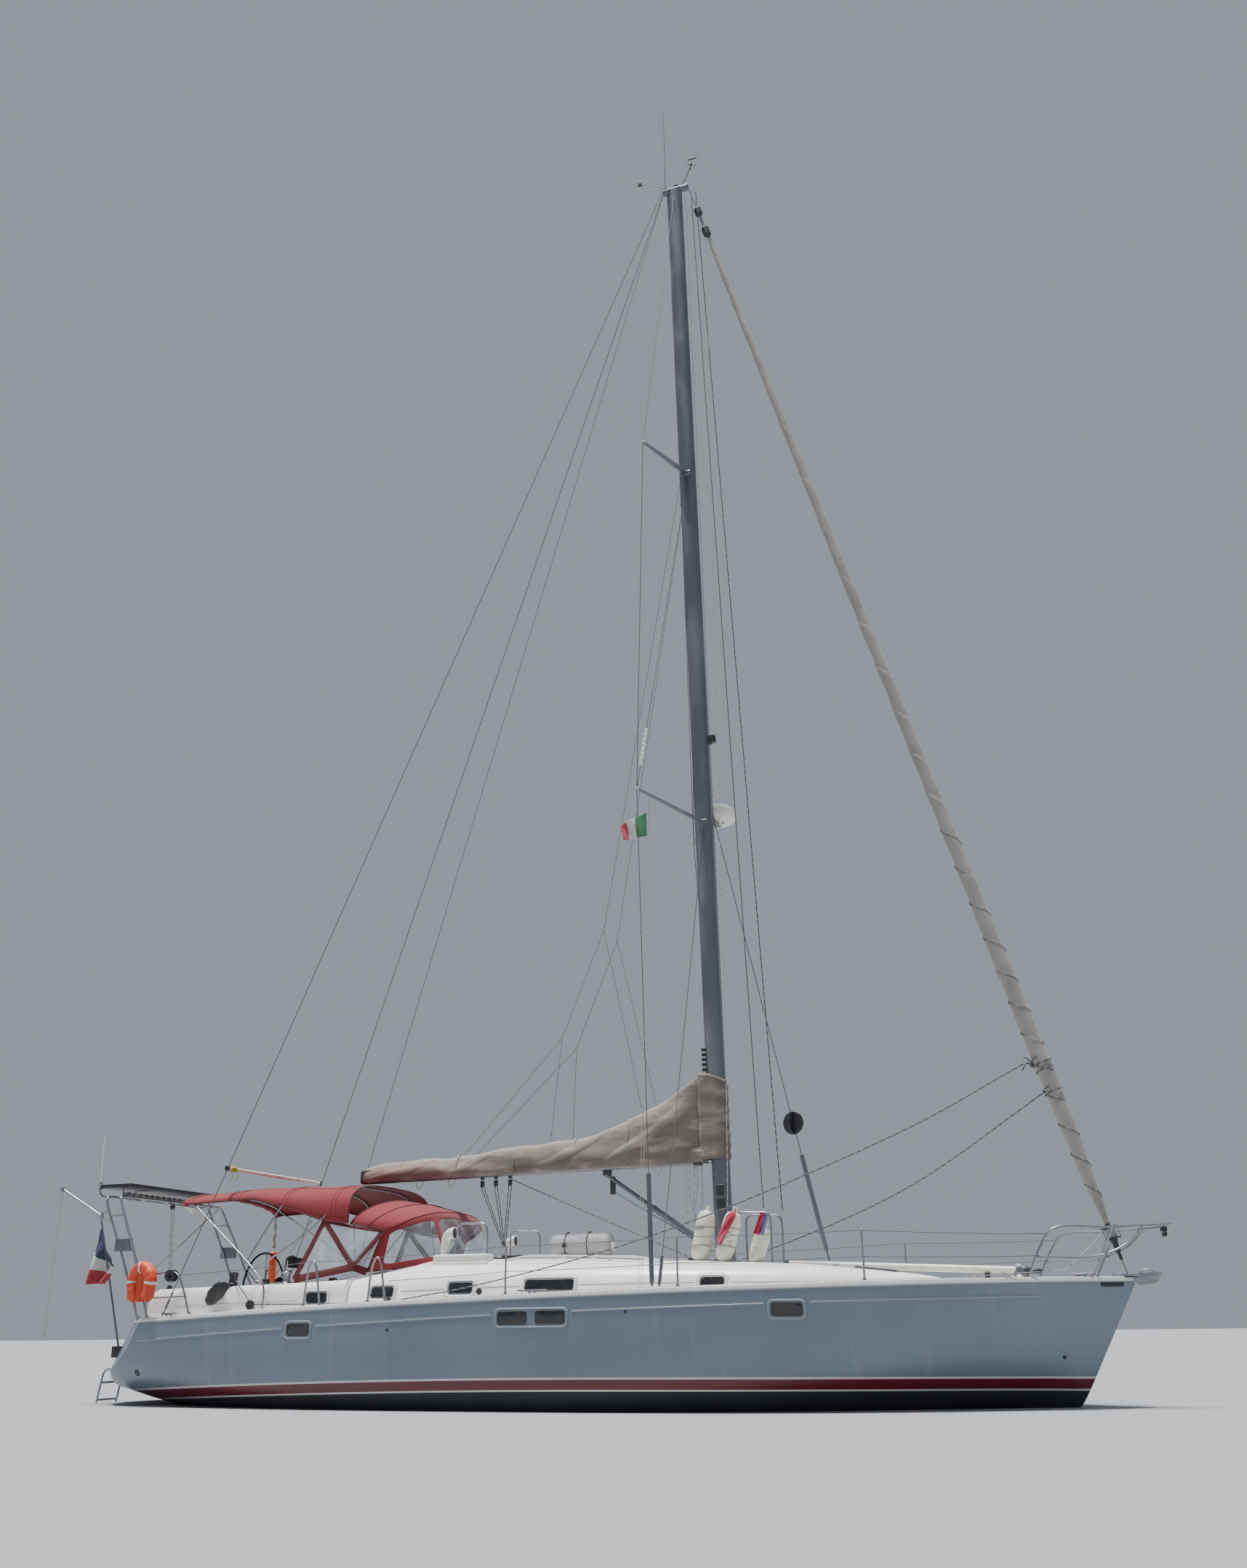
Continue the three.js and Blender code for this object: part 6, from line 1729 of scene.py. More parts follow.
class YACHT_OT_furled_sail(bpy.types.Operator):
    """Headsail rolled on its stay, with spiral laps, the furling drum, swivels and two sheet turns"""
    bl_idname = "yacht.furled_sail"
    bl_label = "Furled headsail"

    def execute(self, context):
        z = np.linspace(2.03, 18.45, 900)
        angle = round_angles(48)
        run = unit(STAY_HEAD - STAY_FOOT)
        side = P(0, 1, 0)
        front = np.cross(side, run)
        pitch = np.interp(z, [2, 5, 12, 18], [0.34, 0.42, 0.9, 1.4])
        turns = np.cumsum(np.gradient(z) / pitch)
        lap = (turns[:, None] + angle / (2 * np.pi)) % 1
        lump = 1 + 0.05 * np.sin(z * 3.1)[:, None] * np.cos(angle + z[:, None])
        lump = lump + 0.03 * np.sin(z * 9.7 + 1)[:, None]
        radius = along(FURLED, z, 0.12)[:, None] * (0.93 + 0.11 * lap ** 0.6) * lump
        grid = stay_at(z)[:, None] + radius[..., None] * spoke(angle[:, None], front, side)
        put("furled_sail", lattice(grid), "sailcloth", sharp=60)
        seam_z = np.linspace(2.3, 7.5, 620)
        seam_turn = -2 * np.pi * np.interp(seam_z, z, turns)
        reach = (np.interp(seam_z, z, along(FURLED, z, 0.12)) * 1.045)[:, None]
        seam = stay_at(seam_z) + reach * spoke(seam_turn[:, None], front, side)
        put("leech_line", sweep(seam, circle(6), 0.0045, up=run), "dark_rope")
        metal = [line(stay_at(P(1.46))[0], stay_at(P(19.63))[0], 0.011, sides=10)]
        swivels = []
        for low, high in ((18.54, 18.68), (19.04, 19.14)):
            heights = P(low - 0.05, low - 0.02, low, high, high + 0.02, high + 0.05)
            swivels.append(sweep(stay_at(heights), circle(24), P(0.03, 0.05, 0.066, 0.066, 0.05, 0.03)))
        swivels.append(rod(stay_at(P(18.45))[0] + front * 0.02, stay_at(P(18.58))[0] + front * 0.03, 0.012))
        metal.append(rod(stay_at(P(18.62))[0], stay_at(P(19.07))[0], 0.022))
        put("swivels", swivels, "black_plastic")
        drum_z = P(1.62, 1.7, 1.71, 1.8, 1.85, 1.852, 1.862, 1.866, 1.87, 1.98, 1.985, 1.989, 1.998, 2.0,
                   2.01, 2.06)
        drum_r = P(0.02, 0.02, 0.035, 0.035, 0.05, 0.1, 0.105, 0.105, 0.052, 0.052, 0.105, 0.105, 0.1, 0.05,
                   0.034, 0.03)
        put("drum", sweep(stay_at(drum_z), circle(40), drum_r), "black_plastic", instead="furling_drum")
        low, high = stay_at(P(1.87))[0], stay_at(P(1.98))[0]
        pillars = [0.098 * spoke(a, front, side) for a in np.arange(5) * 1.2566]
        cage = [rod(low + out, high + out, 0.005, sides=8) for out in pillars]
        coil_z = np.linspace(1.875, 1.975, 260)
        coil = stay_at(coil_z) + 0.06 * spoke(coil_z[:, None] * 800, front, side)
        put("drum_line", sweep(coil, circle(6), 0.007, up=run), "rope")
        put("forestay", metal + cage, "stainless")
        turns_round = []
        for z_low, z_high, count in ((3.9, 4.08, 2.2), (3.62, 3.7, 1.2)):
            zz = np.linspace(z_low, z_high, int(60 * count))
            spin = np.linspace(0, count * 2 * np.pi, len(zz)) + np.pi
            ring = stay_at(zz) + 0.117 * spoke(spin[:, None], front, side)
            turns_round.append(sweep(ring, circle(8), 0.0085, up=run))
        knot = stay_at(P(4.02))[0] - front * 0.13
        turns_round += [ball(knot, 0.028, 12),
                        tube([knot, knot + P(-0.06, -0.01, 0.03), knot + P(-0.12, -0.02, -0.06)], 0.008),
                        tube([knot, knot + P(-0.04, -0.02, 0.08), knot + P(-0.1, -0.02, 0.1)], 0.008)]
        put("sheet_turns", turns_round, "dark_rope")
        return {"FINISHED"}


class YACHT_OT_running_rigging(bpy.types.Operator):
    """Sheets, halyards, flag halyard and furling line, each tight between its ends"""
    bl_idname = "yacht.running_rigging"
    bl_label = "Running rigging"

    def execute(self, context):
        sizes = context.scene.yacht_sizes
        clew_low, clew_high = P(6.2, 0.0, 3.67), P(5.93, -0.05, 4.0)
        sheets = [
            [clew_high, (4.45, -0.72, 3.17), (1.38, -1.32, 2.0), (-0.88, -1.62, 1.45), (-2.05, -1.74, 1.27)],
            [(-2.12, -1.745, 1.26), (-3.0, -1.765, 1.255), (-4.12, -1.745, 1.265)],
            [(-4.16, -1.735, 1.3), (-4.66, -1.375, 1.59)],
            [clew_low, (4.2, 0.58, 2.58), (2.1, 1.0, 1.86), (0.9, 1.36, 1.6), (-2.0, 1.74, 1.27)],
            [(-2.12, 1.745, 1.26), (-3.0, 1.765, 1.255), (-4.12, 1.745, 1.265)],
            [(-4.16, 1.735, 1.3), (-4.66, 1.375, 1.59)],
            [(1.905 + 0.1, 0.06, 19.6), (2.62, 0.3, 2.35)],
            [(1.905 + 0.05, -0.05, 19.4), (2.52, -0.3, 2.35)],
        ]
        paths = [P(*[P(*p) for p in run]) if len(run) == 2 else curve(run, 0.2) for run in sheets]
        put("sheets", [sweep(path, circle(8), sizes.rope) for path in paths], "dark_rope")
        halyards = [
            [(1.51, 0.02, 19.64), (1.68, 0.1, 10.0), (1.82, 0.11, 2.2), (1.83, 0.12, 1.75)],
            [(2.2, -0.02, 18.9), (2.08, -0.02, 12.0), (2.02, -0.07, 4.0), (1.97, -0.12, 1.76)],
            [(1.84, 0.0, 19.55), (1.9, 0.09, 10.0), (1.98, 0.1, 1.76)],
        ]
        put("halyards", [sweep(P(*[P(*p) for p in run]), circle(6), 0.0055) for run in halyards], "rope")
        tip = spreader_at("lower", -1, 0.82)
        rail = P(1.3, -1.72, deck_top(1.3, 1.72) + 0.02)
        signal = [line(tip, rail, 0.003), line(tip + P(0.02, 0, 0), rail + P(0.04, 0, 0), 0.003)]
        furl = [stay_at(P(1.92))[0] + P(-0.1, -0.03, 0), P(6.2, -0.62, 1.5)]
        furl += [P(x, 0.08 - deck_half(x), sheer(x) + 0.06) for x in (4.9, 3.4, 1.87, 0.6, -1.0, -3.0)]
        signal.append(sweep(P(*furl), circle(6), 0.0045))
        put("thin_lines", signal, "rope")
        leads = []
        for side in BOTH:
            for y, x_end in ((0.2, 1.72), (0.26, 1.78), (0.32, 1.9)):
                x = np.linspace(x_end, -0.9, 14)
                y_run = side * (y + 0.4 * ease(x, 1.7, 0.2))
                leads.append(sweep(xyz(x, y_run, roof_at(x, y_run) + 0.02), circle(6), 0.0055))
        put("halyard_leads", leads, "rope")
        clutches = [block((-0.95, side * 0.66 - 0.13, roof_at(-1, 0.7) - 0.002),
                          (-0.72, side * 0.66 + 0.13, roof_at(-1, 0.7) + 0.045), 0.012) for side in BOTH]
        turns = [block((1.5, side * 0.27 - 0.1, roof_at(1.5, 0.3) - 0.002),
                       (1.58, side * 0.27 + 0.1, roof_at(1.5, 0.3) + 0.04), 0.012) for side in BOTH]
        put("line_clutches", clutches + turns, "black_plastic")
        return {"FINISHED"}


def boom_middle(x):
    return BOOM_Z - 0.008 * (GOOSENECK_X - x)


COVER = [
    # x, top, half width
    (-3.48, 3.12, 0.09), (-3.3, 3.185, 0.106), (-1.91, 3.256, 0.114), (-0.65, 3.352, 0.124),
    (0.15, 3.43, 0.132), (0.96, 3.745, 0.138), (1.38, 4.0, 0.11), (1.54, 4.09, 0.056),
    (1.6, 4.15, 0.034), (1.66, 4.18, 0.014),
]


class YACHT_OT_boom(bpy.types.Operator):
    """Boom, rod kicker, mainsheet, reef gear, topping lift and lazy jacks"""
    bl_idname = "yacht.boom"
    bl_label = "Boom"

    def execute(self, context):
        sizes = context.scene.yacht_sizes
        x = np.concatenate([[1.62], np.linspace(1.58, -3.5, 30), [BOOM_END_X]])
        grow = np.ones(len(x))
        grow[[0, -1]] = 0.93
        path = xyz(x, 0, boom_middle(x))
        section = rounded(BOOM_WIDTH, BOOM_HEIGHT, 0.062, 8)
        beam = sweep(path, section, grow, up=(0, 0, 1))
        hinge = [block((1.6, -0.028, 2.99), (1.70, 0.028, 3.12), 0.01)]
        put("boom", [beam, *hinge], "spar")
        last = boom_middle(-3.5)
        end = [block((-3.57, -0.068, last - 0.098), (-3.44, 0.068, last + 0.098), 0.03),
               block((1.5, -0.072, 2.945), (1.63, 0.072, 3.155), 0.03)]
        hangers = []
        for x0 in (-1.63, -1.42, -1.2):
            top = boom_middle(x0) - 0.1
            hangers += [block((x0 - 0.03, -0.016, top - 0.13), (x0 + 0.03, 0.016, top - 0.04), 0.014),
                        block((x0 - 0.02, -0.03, top - 0.03), (x0 + 0.02, 0.03, top + 0.01), 0.008)]
        hangers += [block((0.3, -0.02, 2.62), (0.38, 0.02, 2.86), 0.02),
                    block((0.2, -0.03, 2.88), (0.32, 0.03, 2.97), 0.01)]
        put("boom_ends", end + hangers, "black_plastic", body="boom")
        head, foot = P(0.21, 0, 2.915), P(GOOSENECK_X - 0.01, 0, 1.9)
        middle = foot + 0.52 * (head - foot)
        kicker = [rod(foot, middle, 0.042), rod(middle, head, 0.03),
                  rod(middle - 0.03 * unit(head - foot), middle, 0.047),
                  block(foot - P(0.03, 0.022, 0.03), foot + P(0.01, 0.022, 0.03), 0.008)]
        put("vang", kicker, "spar")
        tackle = [line((0.35, 0.0, 2.66), (1.62, y, 1.93), 0.0045) for y in (-0.03, 0.03)]
        put("vang_tackle", tackle, "teal_rope", body="boom")
        blocks = (-1.272, 0, 1.95)
        falls = [line((x0 + shift, y, boom_middle(x0) - 0.22),
                      (blocks[0] + shift * 0.4, y, blocks[2] + 0.03), 0.006)
                 for x0 in (-1.63, -1.42, -1.2) for shift, y in ((-0.015, -0.012), (0.015, 0.012))]
        lead = [line((-1.18, -0.03, boom_middle(-1.2) - 0.14), (1.52, -0.34, 1.77), 0.006)]
        put("mainsheet", falls + lead, "dark_rope")
        reefs = []
        for x0 in (-2.62, -2.11, 0.99):
            low = boom_middle(x0) - 0.1
            reefs.append(tube([(x0 - 0.05, -0.02, low + 0.02), (x0 - 0.04, -0.03, low - 0.06),
                               (x0, -0.02, low - 0.1), (x0 + 0.04, 0.0, low - 0.05),
                               (x0 + 0.05, 0.02, low + 0.02)], 0.006))
        for x0, y, drop in ((1.42, -0.06, 0.75), (1.5, 0.05, 0.95), (1.46, -0.03, 0.6)):
            reefs.append(tube([(x0, y, 2.97), (x0 - 0.02, y, 2.97 - drop * 0.6), (x0 + 0.03, y, 2.97 - drop),
                               (x0 + 0.09, y, 2.97 - drop * 0.6), (x0 + 0.1, y, 2.98)], 0.006))
        put("reef_lines", reefs, "rope", body="boom")
        lift = line((1.42, 0, 19.66), (-3.5, 0, boom_middle(-3.5) + 0.07), 0.005)
        put("topping_lift", lift, "wire", body="boom")
        thin = sizes.thin_rope * 0.8
        jacks = []
        for side, top, knot, low, ends in (
            (-1, 0.14, (0.33, 6.27), (-0.34, 4.78), [(0.83, 3.66), (-1.86, 3.25), (-0.54, 3.36)]),
            (1, 0.14, (0.33, 6.25), (-0.28, 4.7), [(0.97, 3.7), (-1.8, 3.25), (-0.3, 3.38)]),
        ):
            at = [spreader_at("upper", side, top), P(knot[0], side * 0.28, knot[1]),
                  P(low[0], side * 0.2, low[1])]
            feet = [P(x0, side * 0.115, z0) for x0, z0 in ends]
            jacks += [line(at[0], at[1], thin), line(at[1], at[2], thin), line(at[1], feet[0], thin),
                      line(at[2], feet[1], thin), line(at[2], feet[2], thin)]
        put("lazy_jacks", jacks, "dark_rope", body="boom")
        return {"FINISHED"}


class YACHT_OT_sail_cover(bpy.types.Operator):
    """Taupe cover over the stowed mainsail, which sags between battens, and its laced collar at the mast"""
    bl_idname = "yacht.sail_cover"
    bl_label = "Sail cover"

    def execute(self, context):
        x = np.concatenate([np.linspace(-3.48, 1.4, 230), np.linspace(1.415, 1.66, 22)])
        top = along([row[:2] for row in COVER], x, 0.14)
        half = along([(row[0], row[2]) for row in COVER], x, 0.05)
        rng = np.random.default_rng(4)
        low = boom_middle(x) - 0.083
        angle = np.linspace(0, 2 * np.pi, 97)[:-1]
        sine = np.sin(angle)
        spread = signed(np.cos(angle), 0.7)
        height = (sine + 1) / 2
        lean = 1 - 0.55 * height
        y = half[:, None] * spread * lean / 0.72
        z = low[:, None] + (top - low)[:, None] * height
        phase = rng.uniform(0, 6.28, 7)
        lift = ease(x, -1.2, 1.0)[:, None]
        pleat = sum(np.sin(x[:, None] * (2.1 + 1.9 * k) + (3.2 + 5.0 * lift) * height + phase[k]) / (k + 1.5)
                    for k in range(7))
        drawn = np.sin(x[:, None] * 5.2 - height * (4.0 + 3.0 * lift) + 0.8 * np.sin(3 * x)[:, None])
        crest = ease(drawn, 0.35, 1.0) * (0.4 + 0.6 * lift)
        drag = np.sin(height * np.pi).clip(0) * (0.014 * pleat + 0.024 * crest)
        y = y + np.sign(np.cos(angle)) * drag * ease(x, 1.62, 1.2)[:, None]
        z = z + (0.016 * pleat + 0.012 * crest) * ease(height, 0.7, 1.0) * ease(x, 1.5, 1.0)[:, None]
        # Keeps the cloth clear of the boom's sides and foot
        under = z < (boom_middle(x) + 0.1)[:, None]
        y = np.where(under, np.sign(y) * np.maximum(np.abs(y), 0.076 * (np.abs(np.cos(angle)) > 0.25)), y)
        grid = xyz(x[:, None], y, z)
        put("sail_cover", lattice(grid), "canvas_taupe", sharp=70)
        front = np.linspace(3.02, 4.12, 30)
        around = np.linspace(-2.75, 2.75, 40)
        tail = ease(np.abs(around), 2.0, 2.75)
        shell_x = mast_x(front)[:, None] + 0.146 * np.cos(around) - 0.13 * tail
        shell_y = (0.101 * np.sin(around) + 0.022 * np.sign(around) * tail) * np.ones(len(front))[:, None]
        crinkle = 0.004 * np.sin(front[:, None] * 19 + 5 * np.sin(around * 2))
        top_z = front[:, None] - 0.06 * np.cos(around)[None] * ease(front, 3.7, 4.12)[:, None]
        collar = xyz(shell_x + crinkle, shell_y * (1 + 0.05 * np.sin(front * 23))[:, None], top_z)
        cloth("mast_collar", open_sheet(collar), "canvas_taupe", "stretched", ["mast"])
        z = np.arange(3.06, 4.05, 0.075)
        zig = xyz(mast_x(z) + 0.15, 0.035 * (-1.0) ** np.arange(len(z)), z)
        tail = curve([(2.02, -0.03, 3.5), (2.05, -0.05, 3.42), (2.02, -0.07, 3.34), (1.99, -0.06, 3.28)])
        laces = [sweep(zig, circle(6), 0.004, up=(1, 0, 0)), sweep(tail, circle(6), 0.006)]
        put("cover_lacing", laces, "rope")
        straps = []
        for x0 in (-2.9, -2.0, -1.1, -0.2, 0.6):
            ring_angle = np.linspace(0, 2 * np.pi, 41)[:-1]
            height = (np.sin(ring_angle) + 1) / 2
            low0 = boom_middle(x0) - 0.083
            top0 = along([row[:2] for row in COVER], x0, 0.14)
            half0 = along([(row[0], row[2]) for row in COVER], x0, 0.05)
            ring_y = half0 * signed(np.cos(ring_angle), 0.7) * (1 - 0.55 * height) / 0.72
            path = xyz(x0, ring_y * 1.03, low0 - 0.004 + (top0 - low0 + 0.012) * height)
            straps.append(sweep(path, rounded(0.004, 0.025, 0.0019, 3), up=(1, 0, 0), ring=True))
        put("cover_ties", straps, "canvas_taupe", body="boom")
        return {"FINISHED"}


# Bimini: half width, then the heights of its edge and of its crown at an x
BIMINI_HALF = 1.214
BIMINI_EDGE = [(-5.75, 2.64), (-4.6, 2.68), (-3.85, 2.48), (-3.42, 2.34), (-3.05, 2.3)]
BIMINI_CROWN = [(-5.75, 2.83), (-4.8, 2.9), (-3.5, 2.865), (-3.05, 2.845)]
BOWS = {
    # top of the bow along the yacht: points that its starboard leg passes
    -5.64: [(-4.05, 1.6, 1.1), (-4.05, 1.6, 1.48), (-4.18, 1.57, 1.64), (-5.45, 1.225, 2.545)],
    -4.08: [(-4.42, 1.508, 1.805), (-4.2, 1.3, 2.35)],
    -3.3: [(-4.27, 1.545, 1.7), (-3.7, 1.27, 2.15)],
}
HOOD = [
    # foot x, foot y, foot z, crown x, crown z, plan squareness
    (-3.05, 1.17, 2.29, -2.78, 2.655, 1.0), (-2.78, 1.178, 2.24, -2.4, 2.59, 0.9),
    (-2.5, 1.175, 2.19, -1.95, 2.47, 0.75), (-2.62, 1.175, 1.96, -1.79, 2.14, 0.72),
    (-2.75, 1.17, 1.64, -1.64, 1.792, 0.7),
]


def canopy(x, angle, drop=0.006):
    """Bimini's skin: an arch from edge to edge, squarer forward, that hangs a little between its bows."""
    edge, crown = along(BIMINI_EDGE, x, 0.12), along(BIMINI_CROWN, x, 0.15)
    tops = sorted(BOWS)
    sag = 0.014 * sum(np.sin(np.pi * np.clip((x - a) / (b - a), 0, 1)) ** 2 for a, b in zip(tops, tops[1:]))
    square = along([(-5.75, 1.0), (-4.5, 0.9), (-3.7, 0.62), (-3.05, 0.55)], x, 0.1)
    rise = np.sin(angle).clip(0) ** square
    across = signed(np.cos(angle), square)
    scallop = 0.02 * np.abs(np.cos(angle)) ** 12 * np.sin(np.pi * np.clip((x + 5.64) / 1.56, 0, 1)) ** 2
    y = (BIMINI_HALF - drop - scallop) * across
    return xyz(x, y, edge + (crown - edge - sag) * rise - drop)


def hood(t, angle, drop=0.006):
    """Sprayhood's skin: t counts the rows of its table, and the angle goes over from foot to foot."""
    foot_x, foot_y, foot_z, crown_x, crown_z, square = (
        along(list(enumerate(column)), t, 0.16) for column in zip(*HOOD))
    up = np.sin(angle).clip(0)
    y = (foot_y - drop) * signed(np.cos(angle), square)
    x = foot_x + (crown_x - drop - foot_x) * up ** square
    return xyz(x, y, foot_z + (crown_z - drop - foot_z) * up)


def cloth(name, shape, finish_name, held, rests_on, pieces=()):
    """Declared sheet: its cut is the longest way over it by the area that leaves, rounded up."""
    a, b, c, d = (shape.points[shape.faces[:, k]] for k in range(4))
    area = float(np.linalg.norm(np.cross(c - a, d - b), axis=1).sum() / 2)
    piece = put(name, shape, finish_name, thick=bpy.context.scene.yacht_sizes.cloth, sharp=60)
    span = shape.uv.reshape(-1, 2)
    wide, long = (float(n) for n in span.max(0) - span.min(0))
    grow = max(1.0, area / (wide * long))
    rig.sheet(piece, flat=(wide * grow, long), held=held, rests_on=rests_on, area=area, with_pieces=pieces)
    return piece


def open_sheet(grid):
    return lattice(grid, around=False, ends=False, closed=False)


def split(grid, windows, soft):
    """Cuts rounded windows out of a sheet given as rows t and columns angle: grid points close to a
    window's outline are moved onto it first. Returns the cloth and the panes."""
    surface, t, angle = grid
    t, angle = (np.array(part) for part in np.broadcast_arrays(t, angle))
    step_t, step_a = t[1, 0] - t[0, 0], angle[0, 1] - angle[0, 0]
    scale = P(1.0, 1.1)

    def distance(t, angle):
        near = np.full(t.shape, 9.0)
        for t0, t1, a0, a1 in windows:
            q = np.stack([np.abs(t - (t0 + t1) / 2) * scale[0] - (t1 - t0) / 2 * scale[0] + soft,
                          np.abs(angle - (a0 + a1) / 2) * scale[1] - (a1 - a0) / 2 * scale[1] + soft])
            far = np.hypot(*q.clip(0)) + np.minimum(q.max(0), 0) - soft
            near = np.minimum(near, far)
        return near

    for _ in range(3):
        d = distance(t, angle)
        slope_t = (distance(t + 1e-4, angle) - d) / 1e-4
        slope_a = (distance(t, angle + 1e-4) - d) / 1e-4
        size = np.maximum(slope_t ** 2 + slope_a ** 2, 1e-6)
        close = np.abs(d) < 0.6 * max(step_t, step_a)
        t = t - np.where(close, d * slope_t / size, 0)
        angle = angle - np.where(close, d * slope_a / size, 0)
    d = distance(t, angle)
    shape = open_sheet(surface(t, angle))
    middle = (d[:-1, :-1] + d[1:, :-1] + d[1:, 1:] + d[:-1, 1:]).ravel() < -1e-6
    return (Shape(shape.points, shape.faces[~middle], shape.uv[~middle]),
            Shape(shape.points, shape.faces[middle], shape.uv[middle]))


def ribbon(path, width, up, lift=0.004, thick=0.003):
    """Flat strap along a path."""
    return sweep(np.asarray(path) + P(*up) * lift, rounded(width, thick, 0.0014, 3), up=up)


class YACHT_OT_bimini(bpy.types.Operator):
    """Red cockpit canopy with seams, a rolled aft edge and its stainless bows"""
    bl_idname = "yacht.bimini"
    bl_label = "Bimini"

    def execute(self, context):
        x = np.linspace(-5.75, -3.05, 120)[:, None]
        angle = np.linspace(0, np.pi, 90)
        grid = canopy(x, angle)
        seams = []
        for x0 in (-5.64, -4.86, -4.08, -3.3):
            for shift in (-0.03, 0.03):
                path = canopy(np.full(60, x0 + shift), np.linspace(0.02, np.pi - 0.02, 60), 0.003)
                seams.append(sweep(path, rounded(0.006, 0.002, 0.0009, 3), up=(1, 0, 0)))
        for a in (0.9, np.pi - 0.9):
            seams.append(sweep(canopy(np.linspace(-5.7, -3.1, 60), np.full(60, a), 0.003), circle(6), 0.003,
                               up=(0, 0, 1)))
        edges = [canopy(np.linspace(-5.75, -3.05, 60), np.full(60, a), 0.008) for a in (0.0, np.pi)]
        edges += [canopy(np.full(60, -3.05), np.linspace(0, np.pi, 60), 0.006)]
        binding = [sweep(path, circle(8, 0.012, 0.7)) for path in edges]
        roll_path = canopy(np.full(70, -5.735), np.linspace(0, np.pi, 70), 0.03)
        wobble = 1 + 0.1 * np.sin(np.arange(70) * 0.9) + 0.06 * np.sin(np.arange(70) * 2.3)
        roll = put("bimini_roll", sweep(roll_path, circle(16), 0.042 * wobble, up=(1, 0, 0)), "canvas_red")
        trim = put("bimini_binding", binding, "piping")
        sewn = put("bimini_seams", seams, "canvas_red")
        cloth("bimini", open_sheet(grid), "canvas_red", "stretched", ["bimini_frame"], [trim, roll, sewn])
        bars = []
        for top, leg in BOWS.items():
            over = canopy(np.full(21, top), np.linspace(0.26, np.pi - 0.26, 21), 0.026)[::-1]
            left = P(*leg) * P(1, -1, 1)
            right = P(*leg)[::-1]
            bars.append(tube(np.concatenate([left, over, right]), 0.0122, 12))
        for side in BOTH:
            bars.append(rod((-5.96, side * 1.515, 1.69), (-5.14, side * 1.228, 2.54), 0.0102))
            for x0, y0, z0 in ((-5.96, 1.515, 1.69), (-4.42, 1.508, 1.805), (-4.27, 1.545, 1.7),
                               (-4.05, 1.6, 1.12)):
                bars.append(block((x0 - 0.02, side * y0 - 0.018, z0 - 0.02),
                                  (x0 + 0.02, side * y0 + 0.018, z0 + 0.025), 0.008))
        put("bimini_frame", bars, "stainless")
        return {"FINISHED"}


class YACHT_OT_sprayhood(bpy.types.Operator):
    """Red sprayhood with clear front and side windows, and the strapped side curtains up to the bimini"""
    bl_idname = "yacht.sprayhood"
    bl_label = "Sprayhood"

    def execute(self, context):
        t, angle = np.linspace(0, 4, 97)[:, None], np.linspace(0, np.pi, 181)
        front = [(2.3, 3.72, a0, a1) for a0, a1 in ((0.1, 0.98), (1.08, 2.06), (2.16, 3.04))]
        skin, panes = split((hood, t, angle), front, 0.12)
        trims = []
        for t0 in (1.0, 2.02, 4.0):
            path = hood(np.full(90, t0), np.linspace(0.01, np.pi - 0.01, 90), 0.001)
            trims.append(sweep(path, rounded(0.009, 0.003, 0.0014, 3), up=(1, 0, 0)))
        edges = [hood(np.linspace(0, 4, 80), np.full(80, a), 0.004) for a in (0.0, np.pi)]
        edges.append(hood(np.zeros(90), np.linspace(0, np.pi, 90), 0.004))
        trims += [sweep(path, circle(8, 0.01, 0.8)) for path in edges]
        binding = put("sprayhood_binding", trims, "piping")
        glass = put("sprayhood_windows", panes, "clear_vinyl", sharp=60)
        cloth("sprayhood", skin, "canvas_red", "stretched", ["deck"], [binding, glass])
        bars = [tube(hood(np.full(19, t0), np.linspace(0.12, np.pi - 0.12, 19), 0.024), 0.011)
                for t0 in (0.06, 2.0)]
        legs = []
        for side in BOTH:
            legs += [rod((-3.0, side * 1.14, 2.31), (-2.9, side * 1.19, 1.66), 0.011),
                     rod((-2.5, side * 1.15, 2.24), (-2.86, side * 1.19, 1.66), 0.011)]
        put("sprayhood_bows", bars + legs, "stainless")
        for side in BOTH:
            name = SIDE_NAME[side]
            top = P(-3.42, side * 1.2, 2.325)
            low = P(-3.77, side * 1.31, 1.58)
            apex = P(-2.93, side * 1.225, 1.74)
            far, base = P(-2.52, side * 1.17, 2.17), P(-2.74, side * 1.18, 1.66)
            out = P(0.0, side, 0.15)
            share = np.linspace(0, 1, 24)[:, None, None]
            cross = np.linspace(0, 1, 24)[:, None]
            belly = 0.02 * np.sin(np.pi * share) * np.sin(np.pi * cross) * out
            wide = patch(top, low, top, apex, share, cross) + belly
            narrow = patch(top, apex, far, apex, share, cross) + belly
            straps = [ribbon([top, low], 0.075, out), ribbon([top, apex], 0.08, out, 0.006),
                      ribbon([far, apex], 0.075, out),
                      ribbon([low, apex - P(0, 0, 0.02), base], 0.1, out, 0.005),
                      ribbon([top, (top + far) / 2 + P(0, 0, -0.01), far], 0.04, out)]
            bound = put(f"curtain_straps_{name}", straps, "piping")
            sheets = open_sheet(wide) + open_sheet(narrow)
            cloth(f"side_curtain_{name}", sheets, "clear_vinyl", "hung", ["bimini"], [bound])
        return {"FINISHED"}


# Stanchions: their x
STANCHIONS = (4.0, 1.87, -0.31)
# Gate hoops: aft and fore leg, and height
GATES = [(-3.22, -2.96, 0.575), (-2.24, -1.98, 0.565)]
RAIL_HEIGHT = 0.59


def rail_foot(x, side, inboard=0.055):
    y = deck_half(x) - inboard
    return P(x, side * y, deck_top(x, y) - 0.006)


def foot_plate(foot):
    """Round base with a short socket."""
    return turned([(0, 0), (0.042, 0), (0.042, 0.006), (0.024, 0.012), (0.02, 0.06), (0.0, 0.06)], foot,
                  sides=20)


